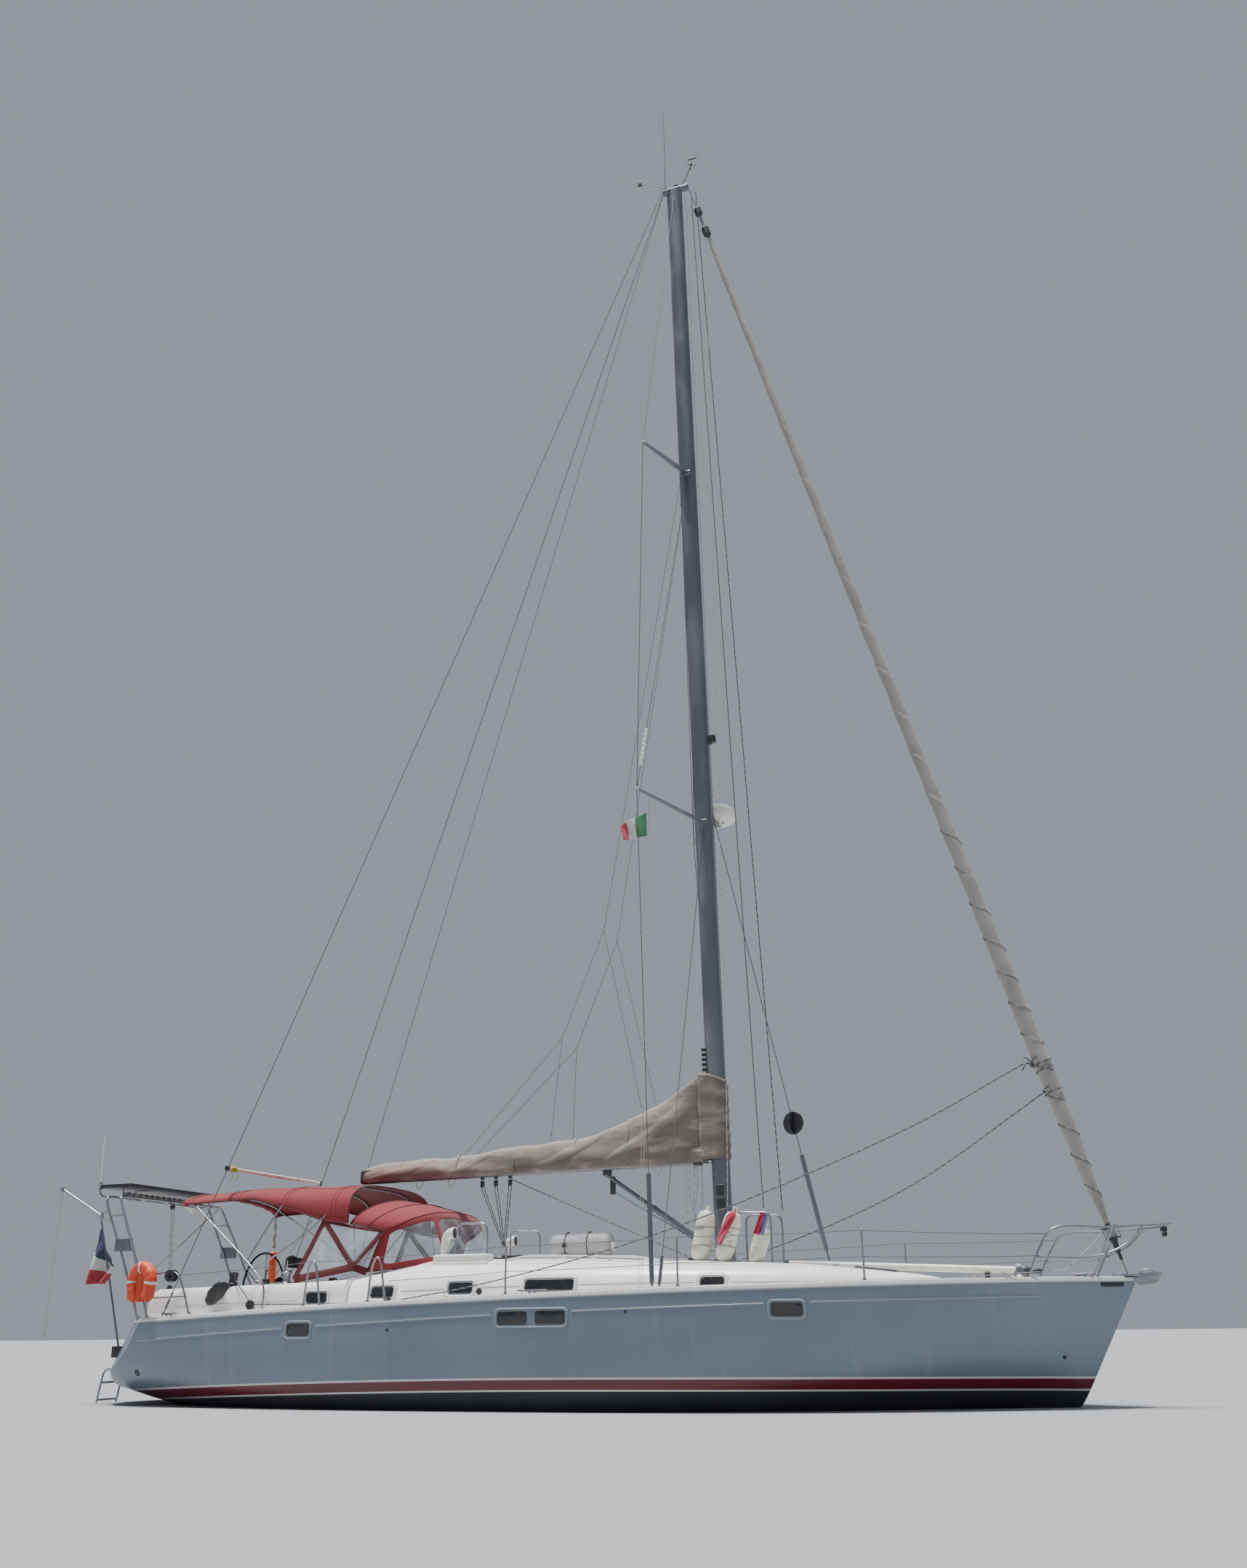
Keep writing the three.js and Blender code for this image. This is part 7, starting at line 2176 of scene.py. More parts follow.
class YACHT_OT_rails(bpy.types.Operator):
    """Pulpit, pushpits, stanchions, gate hoops and guard wires"""
    bl_idname = "yacht.rails"
    bl_label = "Rails and guard wires"

    def execute(self, context):
        rail, guard = context.scene.yacht_sizes.rail, context.scene.yacht_sizes.guard_wire
        for side in BOTH:
            name = SIDE_NAME[side]
            bars, wires, posts = [], [], []
            for x in STANCHIONS:
                foot = rail_foot(x, side)
                top = foot + P(0, 0, RAIL_HEIGHT)
                bars += [rod(foot, top, rail, 0.011), ball(top, 0.013, 12), foot_plate(foot)]
                posts.append((foot, top))
            for aft, fore, height in GATES[::-1]:
                low, high = rail_foot(aft, side), rail_foot(fore, side)
                crown = low + 0.45 * (high - low)
                crown[2] = low[2] + height
                hoop = [low, low + P(0.06, 0, height - 0.06), crown, high + P(-0.095, 0, height - 0.06), high]
                bars += [tube(hoop, rail, 14), foot_plate(low), foot_plate(high)]
                posts.append((low, crown - P(0, 0, 0.004)))
            ends = [P(6.01, side * 0.748, 1.9), *[top for foot, top in posts], P(-5.395, side * 1.655, 1.66)]
            wires += [line(a, b, guard, 0.012) for a, b in zip(ends, ends[1:])]
            half = [(foot + top) / 2 for foot, top in posts]
            wires += [line(half[0], half[1], guard, 0.008), line(half[1], half[2], guard, 0.008),
                      line(half[2], half[3] + P(0.23, 0, 0), guard, 0.008),
                      line(P(5.92, side * 0.74, 1.66), half[0], guard, 0.01)]
            wires += [rod(ends[0] + (ends[1] - ends[0]) * a, ends[0] + (ends[1] - ends[0]) * (a + 0.03),
                          0.007) for a in (0.01, 0.045)]
            put(f"stanchions_{name}", bars, "stainless", instead=f"lifelines_{name}")
            put(f"guard_wires_{name}", wires, "wire")
            foot, aft_foot = rail_foot(-5.15, side), rail_foot(-5.98, side, 0.06)
            push = [tube([foot, (-5.3, foot[1], 1.5), (-5.42, side * 1.65, 1.68), (-5.8, side * 1.56, 1.69),
                          (-6.21, side * 1.42, 1.68)], rail, 14),
                    ball((-6.21, side * 1.42, 1.68), rail, 12),
                    rod(aft_foot, (-6.08, side * 1.47, 1.686), 0.0125),
                    rod((-5.235, foot[1], 1.385), (-6.03, side * 1.478, 1.375), 0.0095), foot_plate(foot),
                    foot_plate(aft_foot)]
            put(f"pushpit_{name}", push, "stainless")
        bars = []
        for side in BOTH:
            rear = P(5.76, side * 0.715, deck_top(5.76, 0.7) - 0.006)
            front = P(6.48, side * 0.25, deck_top(6.48, 0.24) - 0.006)
            bars += [tube([rear, (5.96, side * 0.745, 1.78), (6.11, side * 0.742, 1.953),
                           (6.7, side * 0.48, 1.97), (7.41, side * 0.13, 2.0)], 0.0155, 14),
                     rod(front, (6.76, side * 0.452, 1.968), 0.0155), foot_plate(rear), foot_plate(front),
                     tube([(5.89, side * 0.738, 1.64), (6.56, side * 0.4, 1.655), (6.9, side * 0.3, 1.79),
                           (7.11, side * 0.285, 1.985)], 0.0125, 12)]
        bars += [tube([(7.4, -0.135, 2.0), (7.412, 0, 2.0), (7.4, 0.135, 2.0)], 0.0155, 14),
                 rod((7.33, -0.175, 1.994), (7.33, 0.175, 1.994), 0.0095)]
        bars += [ball((7.405, side * 0.132, 2.0), 0.016, 12) for side in BOTH]
        put("pulpit", bars, "stainless")
        lamp = [block((7.29, -0.045, 1.93), (7.37, 0.045, 1.985), 0.012),
                block((7.3, -0.05, 1.87), (7.365, 0.05, 1.925), 0.018),
                rod((7.33, 0, 1.92), (7.33, 0, 1.995), 0.012)]
        put("bow_light", lamp, "black_plastic")
        return {"FINISHED"}


def plate(outline, y0, y1):
    """Upright plate: an outline in x and z between two sides, its rim softened by a narrow chamfer."""
    outline = np.array(outline, float)
    centre = outline.mean(0)
    rings = []
    for y, shrink in ((y0, 0.985), (y0 + 0.0015, 1.0), (y1 - 0.0015, 1.0), (y1, 0.985)):
        edge = centre + (outline - centre) * shrink
        rings.append(xyz(edge[:, 0], y, edge[:, 1]))
    return lattice(np.stack(rings))


class YACHT_OT_bow_gear(bpy.types.Operator):
    """Bow roller, windlass, cleats, chocks and the whisker pole on deck"""
    bl_idname = "yacht.bow_gear"
    bl_label = "Bow gear"

    def execute(self, context):
        curve_low = curve([(6.64, 0, 1.426), (6.9, 0, 1.432)], 0.1)[:, [0, 2]]
        nose = [(6.955, 1.345), (7.0, 1.337), (7.1, 1.343), (7.18, 1.362), (7.215, 1.4), (7.24, 1.45),
                (7.236, 1.468), (7.22, 1.474), (7.1, 1.47), (6.94, 1.462), (6.64, 1.444)]
        cheeks = [plate([*curve_low.tolist(), *nose], y, y + 0.012) for y in (0.062, -0.074)]
        steel = [*cheeks, block((6.945, -0.066, 1.385), (7.14, 0.066, 1.399), 0.003),
                 rod((7.185, -0.08, 1.425), (7.185, 0.08, 1.425), 0.011)]
        for side in BOTH:
            steel.append(rod((6.7, side * 0.068, 1.445), (6.7, side * 0.068, 1.47), 0.006))
            steel.append(tube([(6.98, side * 0.066, 1.46), (7.04, side * 0.06, 1.5), (7.12, side * 0.06, 1.5),
                               (7.18, side * 0.066, 1.46)], 0.006))
        put("bow_roller", steel, "stainless")
        wheel = turned([(0.0, -0.055), (0.031, -0.055), (0.03, -0.04), (0.02, -0.012), (0.02, 0.012),
                        (0.03, 0.04), (0.031, 0.055), (0.0, 0.055)], (7.185, 0, 1.425), (0, 1, 0))
        put("roller_wheel", wheel, "black_plastic")
        deck = deck_top(5.6, 0)
        gear = [turned([(0, 0), (0.1, 0), (0.1, 0.03), (0.075, 0.05), (0.07, 0.09), (0.05, 0.1),
                        (0.045, 0.13), (0.066, 0.15), (0.07, 0.165), (0.05, 0.18), (0, 0.184)],
                       (5.62, -0.02, deck)), block((5.5, -0.09, deck), (5.7, 0.07, deck + 0.04), 0.015)]
        put("windlass", gear, "stainless")
        cleats = []
        for x, inboard, half in ((6.35, 0.09, 0.13), (0.035, 0.07, 0.2), (-5.6, 0.12, 0.13)):
            for side in BOTH:
                foot = rail_foot(x, side, inboard)
                horn = tube([foot + P(share * half, 0, 0.058 + 0.01 * share * share)
                             for share in (-1, -0.7, 0, 0.7, 1)], [0.007, 0.012, 0.015, 0.012, 0.007])
                cleats += [horn, *[rod(foot + P(dx, 0, 0), foot + P(dx, 0, 0.06), 0.016, 0.012)
                                   for dx in (-0.035, 0.035)]]
        for side in BOTH:
            x = np.linspace(-1.9, 0.6, 30)
            y = house_half(x) + 0.12
            track = xyz(x, side * y, deck_top(x, y) + 0.012)
            cleats.append(sweep(track, rounded(0.03, 0.018, 0.004), up=(0, 0, 1)))
            cleats.append(block((-2.12, side * 1.74 - 0.02, 1.2), (-2.02, side * 1.74 + 0.02, 1.29), 0.015))
            cleats.append(block((-4.18, side * 1.74 - 0.02, 1.17), (-4.08, side * 1.74 + 0.02, 1.26), 0.015))
        slots = [sweep(P(*[P(x, side * (deck_half(x) + 0.004), sheer(x) - 0.035)
                           for x in (6.56, 6.64, 6.72, 6.8)]), rounded(0.012, 0.05, 0.005),
                       up=(0, 0, 1)) for side in BOTH]
        put("bow_fairleads", slots, "black_plastic")
        put("cleats_and_tracks", cleats, "spar")
        blocks = []
        for side in BOTH:
            x0, y0 = -0.9, house_half(-0.9) + 0.12
            blocks.append(turned([(0, -0.016), (0.036, -0.016), (0.042, 0), (0.036, 0.016), (0, 0.016)],
                                 (x0, side * y0, deck_top(x0, y0) + 0.07), (0, 1, 0), 24))
            blocks.append(turned([(0, -0.02), (0.045, -0.02), (0.05, 0), (0.045, 0.02), (0, 0.02)],
                                 (-2.08, side * 1.745, 1.27), (0, 1, 0), 24))
            blocks.append(turned([(0, -0.022), (0.055, -0.022), (0.06, 0), (0.055, 0.022), (0, 0.022)],
                                 (-4.14, side * 1.745, 1.26), (0, 1, 0), 24))
            for x0 in (3.4, -4.3):
                cap = rail_foot(x0, side, 0.3)
                blocks.append(turned([(0, 0.002), (0.04, 0.002), (0.04, 0.011), (0.03, 0.014), (0, 0.014)],
                                     cap, sides=24))
        put("turning_blocks", blocks, "black_plastic")
        aft, fore, fitting = P(2.55, 0.64, 1.7), P(5.62, 0.43, 1.54), P(5.76, 0.422, 1.533)
        pole = [rod(aft, fore, 0.044, 0.047, 28)]
        put("whisker_pole", pole, "fender_vinyl")
        run = unit(fitting - fore)
        jaws = [sweep(P(fore, fore + run * 0.05, fore + run * 0.09), circle(20), P(0.05, 0.05, 0.034)),
                sweep(P(fore + run * 0.08, fitting, fitting + run * 0.06, fitting + run * 0.09), circle(16),
                      P(0.03, 0.033, 0.03, 0.012)),
                sweep(P(aft - run * 0.04, aft, aft + run * 0.05), circle(20), P(0.02, 0.046, 0.047))]
        jaws += [block((x0, y0 - 0.05, z0), (x0 + 0.06, y0 + 0.05, z1), 0.01)
                 for x0, y0, z0, z1 in ((5.15, 0.45, 1.405, 1.53), (2.7, 0.635, 1.6, 1.68))]
        put("pole_fittings", jaws, "black_plastic")
        return {"FINISHED"}


def lid(x0, x1, y0, y1, base, low, high, corner=0.05, edge=0.006):
    """Plate with rounded corners and a softened rim, laid on a surface given as height from x and y."""
    wide, long = x1 - x0, y1 - y0
    steps = [(edge, low), (0, low + edge), (0, high - edge), (edge * 0.3, high - edge * 0.3), (edge, high)]
    rings = []
    for inset, lift in steps:
        middle = P((x0 + x1) / 2, (y0 + y1) / 2)
        outline = rounded(wide - 2 * inset, long - 2 * inset, corner - inset, 6) + middle
        rings.append((outline, lift))
    inner = rounded(wide - 2 * edge, long - 2 * edge, corner - edge, 6)
    for share in (0.7, 0.35, 0.001):
        rings.append((inner * share + P((x0 + x1) / 2, (y0 + y1) / 2), high))
        rings.insert(0, (rings[-1][0], low))
    return lattice(np.stack([np.column_stack([xy, base(xy[:, 0], xy[:, 1]) + lift]) for xy, lift in rings]))


def foil(rows):
    """Stack of wing sections: thickness from the square root of the chord share times what is left of it."""
    share = (1 - np.cos(np.linspace(0, np.pi, 22))) / 2
    thick = np.sqrt(share) * (1 - share) * 2.6 + 0.02
    rings = []
    for lead, trail, half, z in curve(rows, 0.06):
        x, y = lead - share * (lead - trail), half * thick
        rings.append(xyz(np.concatenate([x, x[::-1]]), np.concatenate([y, -y[::-1]]), z))
    return lattice(np.stack(rings))


def hoop(centre, radius, bar, axis=(1, 0, 0), sides=10):
    """Round ring about an axis."""
    ring = turned([(radius, 0), (radius, 1)], (0, 0, 0), axis, 72).points[:72]
    flat = ring - np.outer(ring @ unit(P(*axis)), unit(P(*axis)))
    return sweep(flat + P(*centre), circle(sides), bar, up=axis, ring=True)


SHAFT = P(-0.967, 0, -0.2548)


class YACHT_OT_davit(bpy.types.Operator):
    """Swinging davit arm with its hoisting line and snap hook"""
    bl_idname = "yacht.davit"
    bl_label = "Davit"

    def execute(self, context):
        eye, root, tip = P(-7.095, -1.262, 2.515), P(-7.107, -1.262, 2.52), P(-7.86, -1.262, 2.925)
        arm = [turned([(0.0115, -0.04), (0.02, -0.04), (0.021, -0.036), (0.021, 0.036), (0.02, 0.04),
                       (0.0115, 0.04), (0.0115, -0.04)], eye), rod(root, tip, 0.017, 0.015, 20),
               ball(tip, 0.018, 16), block(tip + P(-0.03, -0.02, -0.045), tip + P(0.03, 0.02, 0.0), 0.008),
               block(tip + P(-0.03, -0.02, 0.01), tip + P(0.03, 0.02, 0.028), 0.008)]
        put("davit_arm", arm, "stainless")
        top, foot = 2.8797, 0.9853
        z = np.linspace(top, foot, 95)
        path = xyz(tip[0], tip[1], z)
        fall = put("davit_fall", sweep(path, circle(10), 0.004, up=(1, 0, 0)), "rope")
        at = P(tip[0], tip[1], 0)
        hook = [hoop(at + P(0, 0, 0.971), 0.0105, 0.0035, (1, 0, 0)),
                turned([(0, 0), (0.006, 0), (0.006, 0.014), (0, 0.014)], at + P(0, 0, 0.948)),
                tube([at + P(0, 0, 0.952), at + P(0, 0.011, 0.94), at + P(0, 0.012, 0.918),
                      at + P(0, 0.004, 0.9), at + P(0, -0.009, 0.904), at + P(0, -0.011, 0.918)], 0.004, 10,
                     0.006), rod(at + P(0, -0.011, 0.917), at + P(0, -0.002, 0.949), 0.0026)]
        snap = put("snap_hook", hook, "stainless", instead="fall_hook")
        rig.cord(fall, exit=(tip[0], tip[1], top), length=top - foot, diameter=0.008, far_end="fitting",
                stiffness="limp", lay="hanging", path=path.tolist(), with_pieces=[snap])
        return {"FINISHED"}


class YACHT_OT_underwater(bpy.types.Operator):
    """Fin keel with its bulb, rudder, shaft strut, propeller and swim ladder"""
    bl_idname = "yacht.underwater"
    bl_label = "Underwater gear"

    def execute(self, context):
        keel = foil([(1.3, -0.9, 0.105, -0.43), (1.18, -0.88, 0.1, -0.9), (0.9, -0.85, 0.095, -1.72),
                     (0.88, -0.85, 0.09, -1.8)])
        rise = np.linspace(0, np.pi, 40)
        nose = turned(np.stack([np.sin(rise), -np.cos(rise)], axis=1), (0, 0, 0), (1, 0, 0), 36)
        bulb = Shape(nose.points * P(1.08, 0.26, 0.125) + P(-0.06, 0, -1.775), nose.faces, nose.uv)
        put("keel", keel + bulb, "antifouling")
        blade = foil([(-5.17, -6.01, 0.046, -0.25), (-5.2, -5.96, 0.042, -0.7), (-5.26, -5.86, 0.034, -1.25),
                      (-5.32, -5.78, 0.024, -1.47)])
        put("rudder", blade + rod((-5.45, 0, -0.3), (-5.45, 0, 0.36), 0.035), "antifouling")
        start, end = P(-2.85, 0, -0.37), P(-4.33, 0, -0.76)
        leg = foil([(-3.93, -4.09, 0.02, -0.34), (-3.94, -4.08, 0.016, -0.68)])
        bearing = end + (start - end) * 0.21
        strut = [rod(start, bearing, 0.016), leg, rod(bearing - SHAFT * 0.08, bearing + SHAFT * 0.09, 0.032)]
        put("shaft_strut", strut, "bronze")
        hub_at = P(-4.25, 0, -0.7389)
        r = np.linspace(0.03, 0.222, 22)[:, None]
        turn = np.radians(62 - 190 * (r - 0.03))
        chord = 0.062 * np.sqrt(np.clip(1 - ((r - 0.125) / 0.1) ** 2, 0.01, 1))
        angle = np.linspace(0, 2 * np.pi, 24, endpoint=False)
        wide, thick = chord * np.cos(angle), 0.006 * np.sin(angle) * (chord / 0.062)
        around, fore = wide * np.cos(turn) - thick * np.sin(turn), wide * np.sin(turn) + thick * np.cos(turn)
        blades = []
        for k in range(3):
            b = lattice(xyz(around, r, fore))
            b = b.turned((0, 0, 1), k * 2 * np.pi / 3)
            lay = np.array(Vector((0, 0, 1)).rotation_difference(Vector(SHAFT)).to_matrix())
            blades.append(Shape(b.points @ lay.T + hub_at, b.faces, b.uv))
        hub = turned([(0, -0.05), (0.03, -0.05), (0.036, -0.03), (0.038, 0.03), (0.03, 0.06),
                      (0.016, 0.085), (0, 0.09)], hub_at, SHAFT)
        put("propeller", total(blades) + hub, "bronze")
        legs = []
        for y in (-0.55, -0.12):
            legs.append(tube([(-7.13, y, 0.4446), (-7.265, y, 0.4486), (-7.328, y, 0.4), (-7.352, y, 0.29),
                              (-7.42, y, -0.1), (-7.5, y, -0.48)], 0.014, 14))
            legs += [ball((-7.13, y, 0.4446), 0.014, 12), ball((-7.5, y, -0.48), 0.014, 12)]
        for z in (0.27, 0.04, -0.19, -0.42):
            x = np.interp(z, [-0.48, -0.1, 0.29], [-7.5, -7.42, -7.352])
            legs.append(rod((x, -0.55, z), (x, -0.12, z), 0.013))
            legs.append(block((x - 0.022, -0.5, z + 0.006), (x + 0.022, -0.17, z + 0.017), 0.004))
        put("swim_ladder", legs, "stainless")
        return {"FINISHED"}


# Stern arch: x of its two hoops and their height
ARCH_AFT = -7.06
ARCH_FORE = -6.83
ARCH_TOP = 2.79
# Solar panels: their ends across the yacht
PANELS = ((-1.2, -0.003), (0.003, 1.2))
# Rolled awning under the panels: x and height
AWNING_X = -6.945
AWNING_Z = 2.835


class YACHT_OT_stern_arch(bpy.types.Operator):
    """Stern arch with its solar panels, awning, aerial and tackle, the ensign and the courtesy flag"""
    bl_idname = "yacht.stern_arch"
    bl_label = "Stern arch"

    def execute(self, context):
        bars, plates = [], []
        for side in BOTH:
            def foot(x, y):
                return deck_top(x, y) - 0.02
            aft = [(-6.255, side * 1.275, foot(-6.255, 1.275)), (-6.64, side * 1.262, 1.9),
                   (-7.03, side * 1.25, 2.68), (ARCH_AFT, side * 1.225, 2.77),
                   (ARCH_AFT, side * 1.12, ARCH_TOP)]
            fore = [(-6.01, side * 1.395, foot(-6.01, 1.395)), (-6.33, side * 1.33, 1.8),
                    (-6.78, side * 1.25, 2.68), (-6.824, side * 1.225, 2.77),
                    (ARCH_FORE, side * 1.12, ARCH_TOP)]
            bars += [tube(aft, 0.019, 16), tube(fore, 0.019, 16)]
            bars += [foot_plate(P(*row[0]) + P(0, 0, 0.012)) for row in (aft, fore)]
            bars.append(rod((-6.96, side * 1.252, 2.52), (-6.7, side * 1.256, 2.52), 0.014))
            plates.append(block((-6.8, side * 1.275 - 0.005, 2.02), (-6.5, side * 1.275 + 0.005, 2.19),
                                0.004))
            for x in (ARCH_AFT, ARCH_FORE):
                bars.append(rod((x, side * 0.9, ARCH_TOP), (x, side * 0.9, 2.93), 0.012))
        bars += [rod((x, -1.125, ARCH_TOP), (x, 1.125, ARCH_TOP), 0.019, sides=16)
                 for x in (ARCH_AFT, ARCH_FORE)]
        bars += [block((ARCH_AFT, y - 0.02, 2.782), (ARCH_FORE, y + 0.02, 2.798), 0.003)
                 for y in np.linspace(-1.04, 1.04, 5)]
        for z in (2.464, 2.566):
            bars.append(block((-7.117, -1.282, z - 0.006), (-6.965, -1.242, z + 0.006), 0.004))
        bars.append(rod((-7.095, -1.262, 2.455), (-7.095, -1.262, 2.575), 0.01))
        bars.append(tube([(ARCH_AFT, -1.15, ARCH_TOP), (-7.2, -1.155, 2.8), (-7.262, -1.165, 2.86),
                          (-7.264, -1.165, 2.95)], 0.013))
        bars += [turned([(0, 0), (0.034, 0), (0.034, 0.01), (0.02, 0.016), (0.02, 0.05), (0, 0.05)],
                        (-7.264, -1.165, z)) for z in (2.9, 2.96)]
        put("stern_arch", bars, "stainless")
        put("arch_plates", plates, "spar")
        put("whip_aerial", rod((-7.264, -1.165, 2.94), (-7.29, -1.165, 3.66), 0.016, 0.011), "white_plastic")
        wedge = plate([(-7.4, 2.805), (-7.24, 2.81), (-6.98, 2.69), (-6.76, 2.48), (-6.94, 2.54)], 1.03,
                      1.045)
        put("arch_board", wedge, "white_plastic")
        frames = [block((-7.23, y0, 2.914), (-6.69, y1, 2.966), 0.003) for y0, y1 in PANELS]
        put("solar_frames", frames, "black_plastic", instead="solar_panel")
        cells = [block((-7.215, y0 + 0.015, 2.955), (-6.705, y1 - 0.015, 2.9685), 0.002)
                 for y0, y1 in PANELS]
        put("solar_cells", cells, "solar_cells")
        under = [block((-7.0, y - 0.06, 2.908), (-6.9, y + 0.06, 2.932), 0.006) for y in (-0.6, 0.6)]
        turn = np.linspace(0, 26 * np.pi, 500)
        spiral = xyz(AWNING_X + 0.036 * np.cos(turn), -0.95 + 1.75 * turn / turn[-1],
                     AWNING_Z + 0.036 * np.sin(turn))
        under += [sweep(spiral, circle(5), 0.0045, up=(0, 1, 0)),
                  rod((AWNING_X, -0.93, 2.795), (AWNING_X, -0.93, AWNING_Z), 0.006),
                  turned(PULLEY, (ARCH_FORE, -0.01, 2.72), (0, 1, 0), 20),
                  turned(PULLEY, (-6.6, -0.2, 1.55), (0, 1, 0), 20)]
        put("arch_lashings", under, "black_plastic")
        put("rolled_awning", tube([(AWNING_X, -1.0, AWNING_Z), (AWNING_X, 0, 2.833),
                                   (AWNING_X, 0.85, AWNING_Z)], 0.032, 16), "sailcloth")
        falls = [line((ARCH_FORE + dx, -0.01 + dy, 2.7), (-6.6 + dx, -0.2 + dy, 1.56), 0.0045)
                 for dx, dy in ((-0.02, 0), (0.015, 0.02), (0.015, -0.02))]
        put("lifting_tackle", falls, "rope")
        staff = [rod((-6.745, -1.0, 0.69), (-7.33, -1.0, 2.53), 0.015, 0.012),
                 ball((-7.334, -1.0, 2.545), 0.02, 16)]
        put("ensign_staff", staff, "spar")
        put("staff_socket", block((-6.86, -1.024, 0.61), (-6.7, -0.976, 0.76), 0.01), "black_plastic")
        high, low = P(-7.285, -1.0, 2.42), P(-7.13, -1.0, 1.93)
        far_high, far_low = P(-7.47, -1.0, 1.6), P(-7.12, -1.0, 1.6)
        h, s = np.linspace(0, 1, 34)[:, None, None], np.linspace(0, 1, 44)[None, :, None]
        flat = patch(high, low, far_high, far_low, h, s)
        bulge = np.sin(np.pi * s) * (h ** 1.5 * P(0.16, 0.02, 0.05) + (1 - h) * P(-0.05, 0.02, 0))
        folds = ease(s, 0.02, 0.35) * 0.05 * np.sin(2 * np.pi * (1.5 * h + 0.4 * s + 0.1)) * P(0.1, 1, 0.1)
        cloth("ensign", open_sheet(flat + bulge + folds), "flag_stripes", "hung", ["ensign_staff"])
        high, low = P(1.29, -1.105, 7.67), P(1.29, -1.105, 7.32)
        far_high, far_low = P(0.9, -1.12, 7.52), P(0.96, -1.12, 7.29)
        flat = patch(high, low, far_high, far_low, h, s)
        folds = ease(s, 0.0, 0.3) * 0.018 * np.sin(2 * np.pi * (1.3 * s + 0.5 * h)) * P(0.1, 1, 0.1)
        cloth("courtesy_flag", open_sheet(flat + folds), "courtesy_stripes", "hung", ["thin_lines"])
        return {"FINISHED"}


WHEEL_HUB = P(-5.1, 0, 1.47)
WHEEL_RADIUS = 0.536


class YACHT_OT_steering(bpy.types.Operator):
    """Steering pedestal with compass, guard rail and instruments, and the wheel"""
    bl_idname = "yacht.steering"
    bl_label = "Steering"

    def execute(self, context):
        rows = curve([(-4.96, 0.12, 0.79), (-4.96, 0.105, 1.25), (-5.0, 0.12, 1.42), (-5.0, 0.12, 1.6)], 0.04)
        rings = []
        for aft, half, z in rows:
            outline = rounded(-4.68 - aft, 2 * half, 0.05, 6)
            rings.append(xyz(outline[:, 0] + (aft - 4.68) / 2, outline[:, 1], z))
        put("binnacle", lattice(np.stack(rings)) + block((-4.76, -0.172, 1.56), (-4.64, 0.172, 1.59), 0.01),
            "gelcoat")
        half = [(-4.7, 0.17, 0.79), (-4.66, 0.175, 1.5), (-4.65, 0.15, 1.9)]
        guard = tube([*half, (-4.65, 0, 1.95), *[(x, -y, z) for x, y, z in half[::-1]]], 0.014, 14)
        put("binnacle_guard", guard, "stainless")
        pods = [block((-4.64, -0.15, 1.79), (-4.54, 0.15, 1.93), 0.02),
                ball((-4.85, 0, 1.6), (0.085, 0.085, 0.05), 28),
                block((-4.335, -1.25, 1.51), (-4.22, -1.2, 1.6), 0.01),
                rod((-4.28, -1.225, 1.59), (-4.27, -1.225, 1.7), 0.008),
                ball((-4.27, -1.225, 1.71), 0.018, 14)]
        put("instruments", pods, "black_plastic")
        screens = [block((-4.6435, -0.125, 1.815), (-4.636, -0.005, 1.905), 0.002),
                   ball((-4.85, 0, 1.605), (0.075, 0.075, 0.065), 28),
                   block((-4.6435, 0.015, 1.815), (-4.636, 0.125, 1.905), 0.002)]
        put("screens", screens, "dark_glass")
        put("wheel_rim", hoop(WHEEL_HUB, WHEEL_RADIUS, 0.015, (1, 0, 0), 12), "black_plastic",
            body="steering_wheel")
        spokes = [turned([(0, -0.035), (0.04, -0.035), (0.055, -0.02), (0.055, 0.015), (0.035, 0.03),
                          (0, 0.03)], WHEEL_HUB, (1, 0, 0)), rod(WHEEL_HUB, (-4.91, 0, 1.47), 0.02)]
        for k in range(6):
            turn = k * np.pi / 3 + 0.5
            spokes.append(rod(WHEEL_HUB, WHEEL_HUB + WHEEL_RADIUS * P(0, np.cos(turn), np.sin(turn)), 0.009,
                              0.0075))
        put("steering_wheel", spokes, "stainless")
        return {"FINISHED"}


